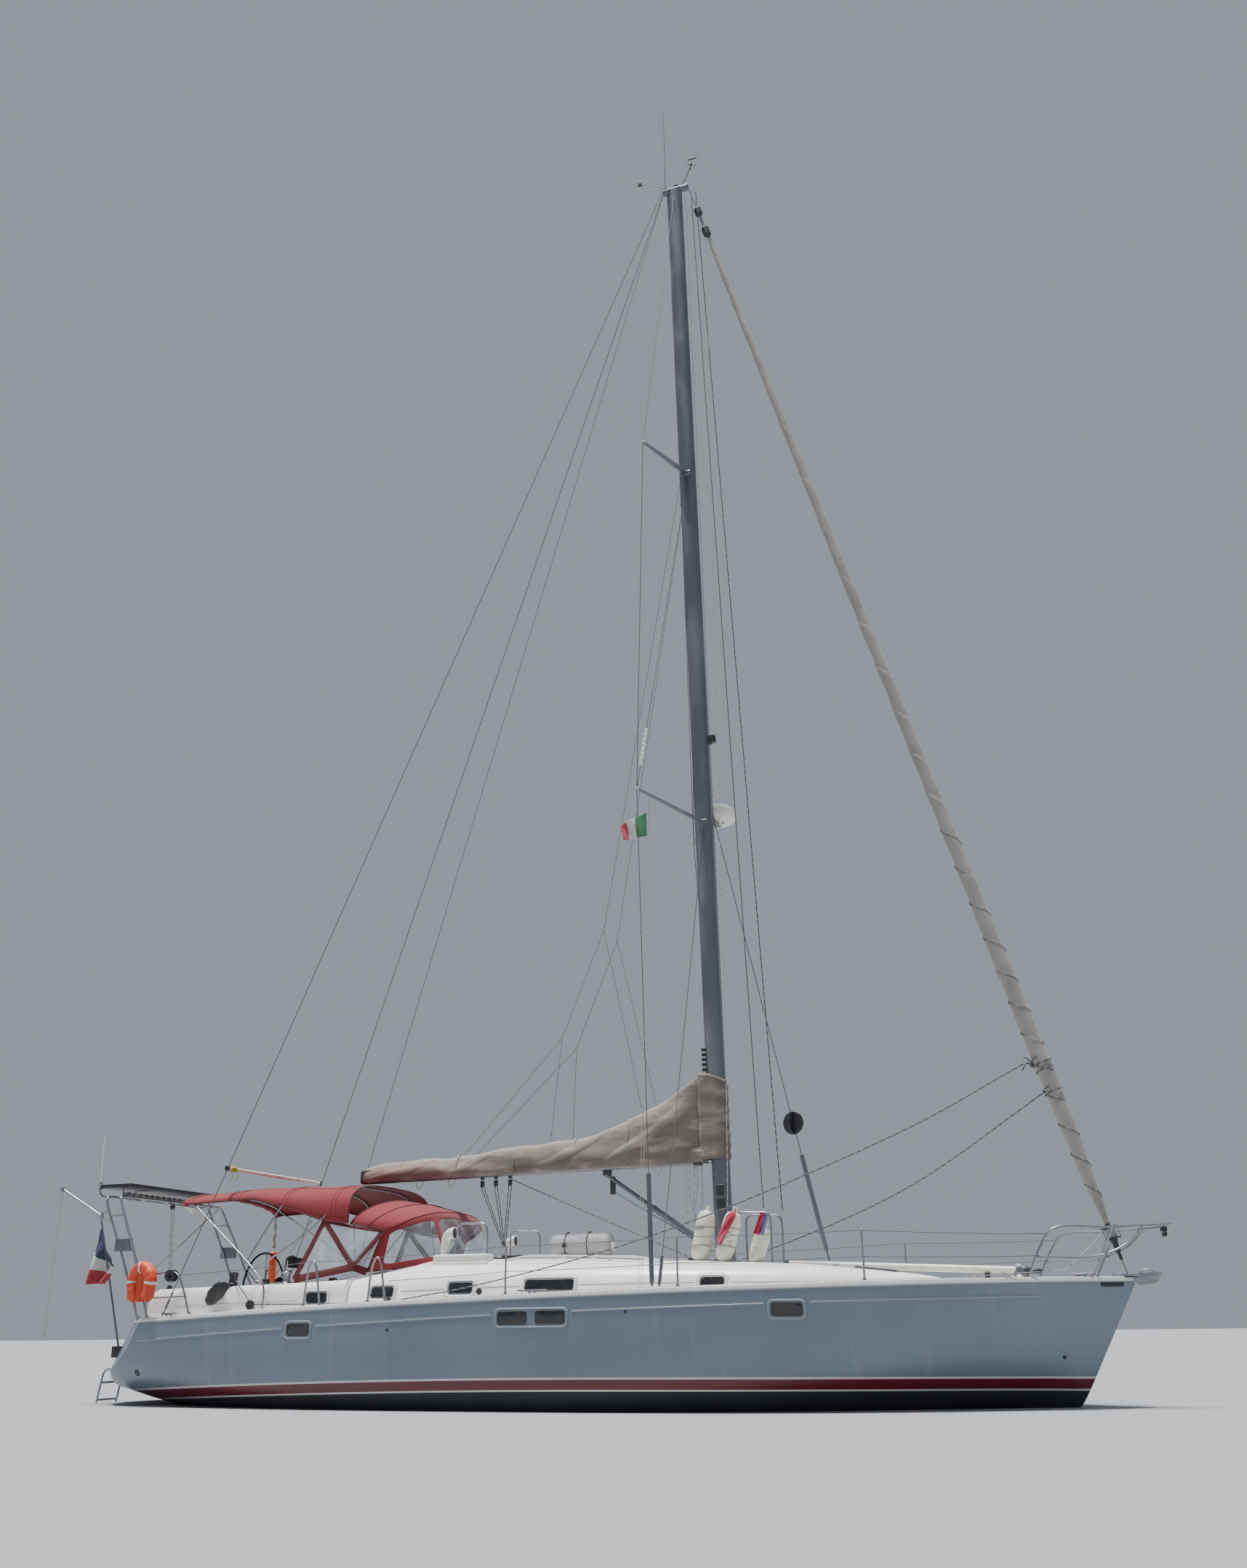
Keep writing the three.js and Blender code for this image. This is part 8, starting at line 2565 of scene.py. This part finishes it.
class YACHT_OT_hatches(bpy.types.Operator):
    """Deck hatches, anchor locker lid, companionway slide, washboards and cockpit locker lids"""
    bl_idname = "yacht.hatches"
    bl_label = "Hatches and lids"

    def execute(self, context):
        def seat(x, y):
            return lid_floor(x)
        for name, (aft, fore, half, thick) in LIDS.items():
            finish_name = "gelcoat" if name == "anchor_locker_lid" else "spar"
            put(name, lid(aft, fore, -half, half, seat, 0.0004, thick, 0.05), finish_name)
            if name == "anchor_locker_lid":
                ring = lid(aft + 0.02, aft + 0.07, -0.03, 0.03, seat, thick - 0.002, thick + 0.003, 0.012,
                           0.002)
                put(f"{name}_latch", ring, "stainless", body=name)
                continue
            pane = lid(aft + 0.035, fore - 0.035, 0.035 - half, half - 0.035, seat, thick - 0.004,
                       thick + 0.003, 0.04, 0.002)
            put(f"{name}_pane", pane, "acrylic", body=name)
            grips = [lid(aft + 0.01, aft + 0.03, y - 0.035, y + 0.035, seat, thick - 0.003, thick + 0.009,
                         0.008, 0.003) for y in (-0.13, 0.13)]
            put(f"{name}_catches", grips, "black_plastic", body=name)
        slide = "companionway_slide"
        aft, fore, half, low, thick, _ = SLIDE
        put(slide, block((aft, -half, low + 0.0004), (fore, half, low + thick), 0.005), "acrylic")
        grip = tube([(-2.3, -0.12, 1.76), (-2.3, -0.1, 1.788), (-2.3, 0.1, 1.788), (-2.3, 0.12, 1.76)], 0.008)
        put("slide_grip", grip, "stainless", body=slide)
        boards = [block((-2.358, -0.3, z0), (-2.3304, 0.3, z1), 0.004)
                  for z0, z1 in ((1.3, 1.52), (1.5203, 1.735))]
        put("washboards", boards, "teak")
        for side in BOTH:
            name = f"locker_lid_{SIDE_NAME[side]}"
            y0, y1 = sorted((side * 0.5, side * 0.96))
            put(name, lid(-3.45, -2.56, y0, y1, deck_top, 0.0012, 0.025, 0.05), "gelcoat")
            boards = [lid(-3.42, -2.59, y0 + 0.025 + k * 0.0525, y0 + 0.07 + k * 0.0525, deck_top, 0.0235,
                          0.029, 0.008, 0.002) for k in range(8)]
            put(f"{name}_slats", boards, "teak", body=name)
        return {"FINISHED"}


class YACHT_OT_roof_gear(bpy.types.Operator):
    """Liferaft, bag of lines, ventilators, mast rails, mainsheet traveller and winches"""
    bl_idname = "yacht.roof_gear"
    bl_label = "Coachroof gear"

    def execute(self, context):
        top = roof_top(-0.11)
        centre = P(-0.11, 0, top + 0.196)
        rim = [(0, 0.44), (0.06, 0.438), (0.11, 0.43), (0.14, 0.41), (0.15, 0.39), (0.157, 0.34),
               (0.158, 0.26)]
        ribs = [(0.154, 0.25), (0.154, 0.24), (0.158, 0.23), (0.158, 0.03), (0.155, 0.02), (0.155, 0.01)]
        side_on = [*rim, *ribs]
        profile = [(r, -x) for r, x in side_on] + side_on[::-1]
        put("liferaft", turned(profile, centre, (1, 0, 0), 48), "grey_plastic")
        seam = [sweep(xyz(x, y, centre[2]), rounded(0.012, 0.02, 0.004), up=(0, 0, 1))
                for x, y in [(centre[0] + P(-0.43, -0.15, 0.15, 0.43), np.full(4, s * 0.158)) for s in BOTH]]
        put("liferaft_seam", seam, "grey_plastic")
        straps = [sweep(hoop_path(centre + P(dx, 0, 0), 0.1605), rounded(0.032, 0.004, 0.0015), up=None,
                        ring=True) for dx in (-0.2, 0.12)]
        straps.append(block(centre + P(-0.23, -0.175, -0.03), centre + P(-0.17, -0.158, 0.03), 0.006))
        put("liferaft_straps", straps, "black_plastic")
        chocks = [block((x0, -0.15, roof_top(x0) - 0.03), (x0 + 0.1, 0.15, roof_top(x0) + 0.075), 0.012)
                  for x0 in (-0.38, 0.06)]
        cup = [turned([(0, 0), (0.05, 0), (0.06, 0.02), (0.05, 0.05), (0, 0.055)],
                      centre + P(0.43, -0.02, -0.03), (1, 0, 0))]
        put("liferaft_chocks", chocks + cup, "white_plastic")
        boxes, cowls, mouths, guards, latches = [], [], [], [], []
        for side in BOTH:
            y = side * 0.99
            boxes.append(block((-1.8, y - 0.125, 1.66), (-1.02, y + 0.125, 1.852), 0.03, 5))
            boxes.append(block((-1.82, y - 0.14, 1.6), (-1.0, y + 0.14, roof_at(-1.4, 1.08) + 0.02), 0.02))
            path = curve([(-1.68, y, 1.832), (-1.68, y, 1.98), (-1.672, y, 2.05), (-1.64, y, 2.1),
                          (-1.59, y, 2.122), (-1.55, y, 2.125)], 0.008)
            run = np.concatenate([[0], np.cumsum(np.linalg.norm(np.diff(path, axis=0), axis=1))])
            size = 0.062 - 0.006 * ease(run, 0.0, 0.06) + 0.02 * ease(run, 0.2, 0.36)
            cowls.append(sweep(path, circle(28), size, up=(0, 1, 0)))
            cowls.append(hoop((-1.547, y, 2.125), 0.073, 0.007, (1, 0, 0)))
            # Painted shade: a black disc across each cowl's mouth stands for the shaded inside of the cowl
            mouths.append(turned([(0, 0), (0.069, 0), (0.069, 0.004), (0, 0.004)], (-1.549, y, 2.125),
                                 (1, 0.03, 0.0), 28))
            gy = y - side * 0.105
            guards.append(tube([(-1.58, gy, 1.83), (-1.58, gy, 2.15), (-1.57, gy, 2.2), (-1.52, gy, 2.243),
                                (-1.35, gy, 2.246), (-1.18, gy, 2.243), (-1.13, gy, 2.2),
                                (-1.118, gy, 2.15), (-1.115, gy, 1.83)], 0.012, 12))
            guards += [turned([(0, 0), (0.03, 0), (0.03, 0.008), (0.015, 0.012), (0, 0.012)], (x, gy, 1.85))
                       for x in (-1.58, -1.115)]
            y0, y1 = sorted((y + side * 0.12, y + side * 0.128))
            latches += [block((x - 0.045, y0, 1.735), (x + 0.045, y1, 1.757), 0.003)
                        for x in (-1.66, -1.4, -1.14)]
            put(f"vent_box_{SIDE_NAME[side]}", boxes[-2] + boxes[-1], "white_plastic")
        put("vent_cowls", cowls, "white_plastic", sharp=70)
        put("vent_mouths", mouths, "black_plastic")
        put("vent_guards", guards, "stainless")
        put("vent_latches", latches, "black_plastic")
        for side in BOTH:
            y = side * 0.3
            rail = tube([(2.12, y, 1.6), (2.12, y, 2.2), (2.13, y, 2.26), (2.19, y, 2.3), (2.36, y, 2.298),
                         (2.54, y, 2.29), (2.59, y, 2.26), (2.605, y, 2.2), (2.605, y, 1.6)], 0.014, 12)
            feet = [turned([(0, 0), (0.035, 0), (0.035, 0.008), (0.02, 0.012), (0, 0.012)],
                           (x, y, roof_at(x, abs(y)) - 0.003)) for x in (2.12, 2.605)]
            put(f"mast_rail_{SIDE_NAME[side]}", rail + total(feet), "stainless")
        track = [block((-1.3, -0.76, 1.81), (-1.245, 0.76, 1.838), 0.006)]
        track += [block((-1.31, y - 0.05, roof_at(-1.27, abs(y)) - 0.01), (-1.235, y + 0.05, 1.815), 0.01)
                  for y in (-0.7, 0.0, 0.7)]
        track += [block((-1.32, y - 0.02, 1.806), (-1.225, y + 0.02, 1.852), 0.008) for y in (-0.745, 0.745)]
        put("traveller", track, "black_plastic")
        car = [block((-1.33, -0.07, 1.8381), (-1.215, 0.07, 1.868), 0.01),
               rod((-1.272, 0, 1.86), (-1.272, 0, 1.9), 0.012),
               turned([(0, -0.025), (0.046, -0.025), (0.052, -0.012), (0.044, 0), (0.052, 0.012),
                       (0.046, 0.025), (0, 0.025)], (-1.272, 0, 1.925), (0, 1, 0))]
        put("traveller_car", car, "grey_plastic")
        for side in BOTH:
            name = f"winch_{SIDE_NAME[side]}"
            base = [(0, -0.06), (0.075, -0.06), (0.075, 0.015), (0.07, 0.022), (0.054, 0.035), (0.05, 0.06),
                    (0.048, 0.12), (0.054, 0.14), (0.066, 0.15), (0.068, 0.155), (0.06, 0.165),
                    (0.06, 0.175), (0.05, 0.178), (0.02, 0.178), (0.018, 0.17), (0, 0.17)]
            put(name, turned(base, (-3.9, side * 1.295, 1.52), sides=40), "stainless")
            cap = [turned([(0, -0.02), (0.078, -0.02), (0.074, 0.03), (0.056, 0.05), (0.056, 0.12),
                           (0.07, 0.15), (0.06, 0.175), (0, 0.185)], (-4.74, side * 1.3, 1.515), sides=32)]
            put(f"aft_winch_{SIDE_NAME[side]}", cap, "black_plastic")
        h, a = np.linspace(0, np.pi, 44)[:, None], np.linspace(0, 2 * np.pi, 72, endpoint=False)
        lump = 1 + 0.12 * np.sin(3 * a + 2 * h) + 0.08 * np.sin(9 * a - 5 * h) + 0.05 * np.sin(16 * a + 2 * h)
        reach = np.sin(h) ** 0.7 * (0.75 + 0.25 * np.sin(h * 1.3 + 0.4)) * lump
        bag = xyz(
            -4.87 + 0.145 * reach * np.cos(a) + 0.12 * np.cos(h),
            -1.475 + 0.055 * reach * np.sin(a) - 0.03 * np.cos(h),
            1.42 + 0.15 * np.cos(h) + 0.02 * np.sin(5 * a) * np.sin(h))
        put("line_bag", lattice(bag, ends=False), "black_plastic", sharp=80)
        return {"FINISHED"}


def hoop_path(centre, radius, count=64):
    angle = np.linspace(0, 2 * np.pi, count, endpoint=False)
    return xyz(centre[0], centre[1] + radius * np.cos(angle), centre[2] + radius * np.sin(angle))


FENDERS = [
    # foot x, foot y, top x, top y, length, radius
    (1.67, -0.45, 1.81, -0.44, 0.64, 0.118),
    (1.985, -0.455, 2.175, -0.445, 0.64, 0.116),
    (2.32, -0.11, 2.48, -0.13, 0.47, 0.104),
]


def fender_axes(x0, y0, x1, y1, long, sink=0.0):
    """Foot of a fender on the roof, the way it leans, and the directions to its side and front."""
    foot = P(x0, y0, roof_at(x0, abs(y0)) - sink)
    lean = unit(P(x1 - x0, y1 - y0, 0.94 * long))
    side = unit(np.cross(lean, P(1, 0, 0)))
    return foot, lean, side, np.cross(side, lean)


class YACHT_OT_fenders(bpy.types.Operator):
    """Three fenders stowed on end at the mast, with their straps and the cloths over them"""
    bl_idname = "yacht.fenders"
    bl_label = "Fenders"

    def execute(self, context):
        straps = []
        for k, (*ends, long, r) in enumerate(FENDERS):
            foot, lean, side, front = fender_axes(*ends, long, 0.002)
            profile = curve([(0.0, 0.0), (0.04, 0.0), (0.75 * r, 0.035), (r, 0.13), (r, long / 2),
                             (r, long - 0.13), (0.75 * r, long - 0.035), (0.03, long), (0.028, long + 0.05),
                             (0.0, long + 0.052)], 0.02)
            put(f"fender_{k + 1}", turned(profile.clip(0), foot, lean, 40), "fender_vinyl")
            if k < 2:
                share = np.linspace(0, 2 * np.pi, 60, endpoint=False)[:, None]
                for at in (0.3, 0.66):
                    ring = foot + lean * long * (at + 0.03 * np.cos(share))
                    ring = ring + (r + 0.004) * spoke(share, front, side)
                    straps.append(sweep(ring, rounded(0.022, 0.004, 0.0015), up=None, ring=True))
                t = np.linspace(0.04, 0.96, 30)[:, None]
                bulge = (r + 0.004) * np.sqrt(np.clip(1 - (2 * t - 1) ** 10, 0, 1))
                straps.append(sweep(foot + lean * long * t + bulge * (0.5 * front + 0.866 * side),
                                    circle(6), 0.006, up=(1, 0, 0)))
        put("fender_straps", straps, "dark_rope")
        *ends, long, r = FENDERS[1]
        foot, lean, side, front = fender_axes(*ends, long)
        t = np.linspace(0.0, 1.0, 30)[:, None, None]
        w = np.linspace(-0.5, 0.5, 16)[None, :, None]
        angle = -np.pi / 2 + 0.25 - 1.15 * t + w * (0.85 + 0.45 * t)
        height = long * (1.05 - 0.74 * t)
        round_end = np.clip(1 - np.abs(2 * height / long - 1) ** 6, 0.02, 1)
        lift = r * np.sqrt(round_end) + 0.012 + 0.006 * np.sin(9 * w + 5 * t)
        flip = -1 if side[1] > 0 else 1
        skin = foot + lean * height + lift * spoke(angle, front, -flip * side)
        cloth("crimson_cloth", open_sheet(skin), "crimson_cloth", "draped", ["fender_2"])
        hanging = (("hanging_cloth", "crimson_cloth", 2.48, 0.0), ("blue_cloth", "blue_cloth", 2.53, 0.03))
        for name, finish_name, start, dy in hanging:
            h, s = np.linspace(0, 1, 26)[:, None, None], np.linspace(0, 1, 16)[None, :, None]
            top = P(start, -0.322 + dy, 2.3) + s * P(0.05, 0, -0.01)
            low = P(start - 0.12, -0.33 + dy, 2.04) + s * P(0.09, 0.02, -0.02)
            folds = 0.016 * np.sin(14 * s + 2 * h) * ease(h, 0.0, 0.3) * P(0.2, 1, 0)
            cloth(name, open_sheet(top * (1 - h) + low * h + folds), finish_name, "hung",
                  ["mast_rail_starboard"])
        return {"FINISHED"}


# Horseshoe buoy: middle of its bend and the bend's radius
BUOY_X = -6.05
BUOY_Z = 1.59
BUOY_BEND = 0.19


class YACHT_OT_safety_gear(bpy.types.Operator):
    """Horseshoe buoy, danbuoy and the line reel on the pushpit"""
    bl_idname = "yacht.safety_gear"
    bl_label = "Safety gear"

    def execute(self, context):
        turn = -0.35 + np.linspace(0, np.pi + 0.7, 12)
        x = BUOY_X + BUOY_BEND * np.cos(turn)
        arc = xyz(x, -1.556 - 0.3 * (x - BUOY_X), BUOY_Z + BUOY_BEND * np.sin(turn))
        ends = [arc[0] + P(-0.025, 0, -0.17), arc[-1] + P(0.025, 0, -0.17)]
        path = curve([ends[0], *arc, ends[1]], 0.02)
        run = np.linspace(0, 1, len(path))
        tip = np.clip(np.abs(2 * run - 1) - 0.94, 0, 1) / 0.06
        size = 0.066 * (1 - 0.25 * tip) * (1 - 0.08 * ease(np.sin(run * 75), 0.7, 1.0))
        buoy = sweep(path, rounded(2.4, 2.3, 0.9, 8), size)
        u, v = np.linspace(-1, 1, 30)[:, None], np.linspace(0, 1, 20)[None, :]
        wide = BUOY_X + BUOY_BEND * u + 0 * v
        tall = 1.33 + v * (0.26 + 0.17 * np.sqrt(np.clip(1 - u * u, 0.05, 1)))
        pleat = 0.016 * np.cos(u * 18) * (1 - 0.4 * v) + 0.02 * (1 - u * u)
        back = xyz(wide, -1.556 - 0.3 * (wide - BUOY_X) + 0.03, tall)
        front = xyz(wide, -1.556 - 0.3 * (wide - BUOY_X) - pleat, tall)
        cover = lattice(np.concatenate([front, back[:, ::-1]], axis=1))
        put("horseshoe_buoy", buoy + cover, "orange_foam")
        bands = []
        for share in (0.2, 0.5, 0.8):
            k = int(share * (len(path) - 1))
            bands.append(sweep(path[k - 1:k + 2], rounded(2.46, 2.36, 0.9, 8), 0.066))
        put("buoy_bands", bands, "white_plastic")
        tie = [tube([(-5.93, -1.62, 1.5), (-5.95, -1.66, 1.42), (-5.9, -1.65, 1.36), (-5.93, -1.6, 1.33)],
                    0.008, 8), ball((-5.92, -1.65, 1.46), (0.03, 0.02, 0.02), 12)]
        put("buoy_lanyard", tie, "yellow_rope")
        pole = P(-5.9, 1.393, 0)
        float_profile = [(0, 1.56), (0.03, 1.56), (0.06, 1.58), (0.062, 1.62), (0.058, 1.84), (0.061, 1.85),
                         (0.055, 2.09), (0.04, 2.11), (0, 2.11)]
        put("danbuoy", turned(float_profile, pole), "orange_foam")
        put("danbuoy_pole", rod(pole + P(0, 0, 1.05), pole + P(0, 0, 2.755), 0.012, 0.01), "white_plastic")
        turn = np.linspace(0, 14, 60)
        roll = xyz(pole[0] + 0.004 * np.cos(turn), pole[1] + 0.004 * np.sin(turn),
                   np.linspace(2.16, 2.72, 60))
        put("rolled_flag", sweep(roll, circle(12), 0.021 + 0.004 * np.sin(turn * 1.7), up=(1, 0, 0)),
            "sailcloth")
        centre = P(-5.5, -1.645, 1.655)
        reel = [turned([(0.03, -0.05), (0.078, -0.05), (0.078, -0.042), (0.05, -0.04), (0.05, 0.04),
                        (0.078, 0.042), (0.078, 0.05), (0.03, 0.05), (0.03, -0.05)], centre, (0, 1, 0)),
                rod(centre + P(0, -0.055, 0), centre + P(0, 0.055, 0), 0.014),
                rod(centre + P(0.06, -0.05, 0), centre + P(0.065, -0.09, 0), 0.009)]
        put("line_reel", reel, "black_plastic")
        return {"FINISHED"}


FLOOR_REACH = 400.0


class YACHT_OT_stage(bpy.types.Operator):
    """Pale floor at the waterline, soft studio light, and the camera low off the starboard bow"""
    bl_idname = "yacht.stage"
    bl_label = "Stage"

    def execute(self, context):
        scene = context.scene
        edge = P(-FLOOR_REACH, FLOOR_REACH)
        floor = put("studio_floor", open_sheet(xyz(edge[:, None], edge, 0)), "studio_floor")
        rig.stage(floor)
        world = bpy.data.worlds.new("studio")
        world.use_nodes = True
        back = world.node_tree.nodes["Background"]
        back.inputs["Color"].default_value = (0.8, 0.88, 1.0, 1)
        back.inputs["Strength"].default_value = 0.39
        scene.world = world
        lamps = [
            # name, kind, from, towards, size or spread, power
            ("key", "SUN", (-12, -6, 90), (0, 0, 2), 0.2, 7.4),
            ("front fill", "AREA", (8, -34, 16), (0, 0, 5), 26, 160),
            ("bow rim", "AREA", (30, 12, 16), (2, 0, 6), 10, 700),
        ]
        for name, kind, start, aim, size, power in lamps:
            lamp = bpy.data.lights.new(name, kind)
            setattr(lamp, "angle" if kind == "SUN" else "size", size)
            lamp.energy = power
            stand = bpy.data.objects.new(name, lamp)
            turn = (Vector(aim) - Vector(start)).to_track_quat("-Z", "Y")
            stand.matrix_world = Matrix.Translation(start) @ turn.to_matrix().to_4x4()
            scene.collection.objects.link(stand)
        camera = bpy.data.cameras.new("camera")
        camera.sensor_fit = "AUTO"
        camera.sensor_width = 36.0
        camera.lens = 36.0 * VIEW_FOCAL / VIEW_TALL
        camera.clip_end = 2000.0
        view = bpy.data.objects.new("camera", camera)
        turn = Matrix([VIEW_RIGHT, VIEW_UP, [-n for n in VIEW_FORWARD]]).transposed()
        view.matrix_world = Matrix.Translation(VIEW_FROM) @ turn.to_4x4()
        scene.collection.objects.link(view)
        scene.camera = view
        return {"FINISHED"}


OPERATORS = [kind for name, kind in list(globals().items()) if name.startswith("YACHT_OT_")]
# The stage comes first and the davit second
for first in (YACHT_OT_davit, YACHT_OT_stage):
    OPERATORS.insert(0, OPERATORS.pop(OPERATORS.index(first)))


class YACHT_PT_panel(bpy.types.Panel):
    """Sidebar list of the yacht's pieces"""
    bl_idname = "YACHT_PT_panel"
    bl_label = "Cruising yacht"
    bl_space_type = "VIEW_3D"
    bl_region_type = "UI"
    bl_category = "Yacht"

    def draw(self, context):
        for settings in (context.scene.yacht_sizes, context.scene.yacht_colours):
            for name in settings.__annotations__:
                self.layout.prop(settings, name)
        for kind in OPERATORS:
            self.layout.operator(kind.bl_idname)


CLASSES = [YachtColours, YachtSizes, *OPERATORS, YACHT_PT_panel]


def register():
    for kind in CLASSES:
        bpy.utils.register_class(kind)
    bpy.types.Scene.yacht_colours = PointerProperty(type=YachtColours)
    bpy.types.Scene.yacht_sizes = PointerProperty(type=YachtSizes)


def unregister():
    del bpy.types.Scene.yacht_sizes
    del bpy.types.Scene.yacht_colours
    for kind in reversed(CLASSES):
        bpy.utils.unregister_class(kind)


def main():
    register()
    for kind in OPERATORS:
        getattr(bpy.ops.yacht, kind.bl_idname.split(".")[1])()
    bpy.context.view_layer.update()
    boxes = {"cad": CAD_BOX, "visual": [list(corner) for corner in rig.bounds()]}
    with open("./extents.json", "w") as out:
        json.dump(boxes, out)


if __name__ == "__main__":
    main()
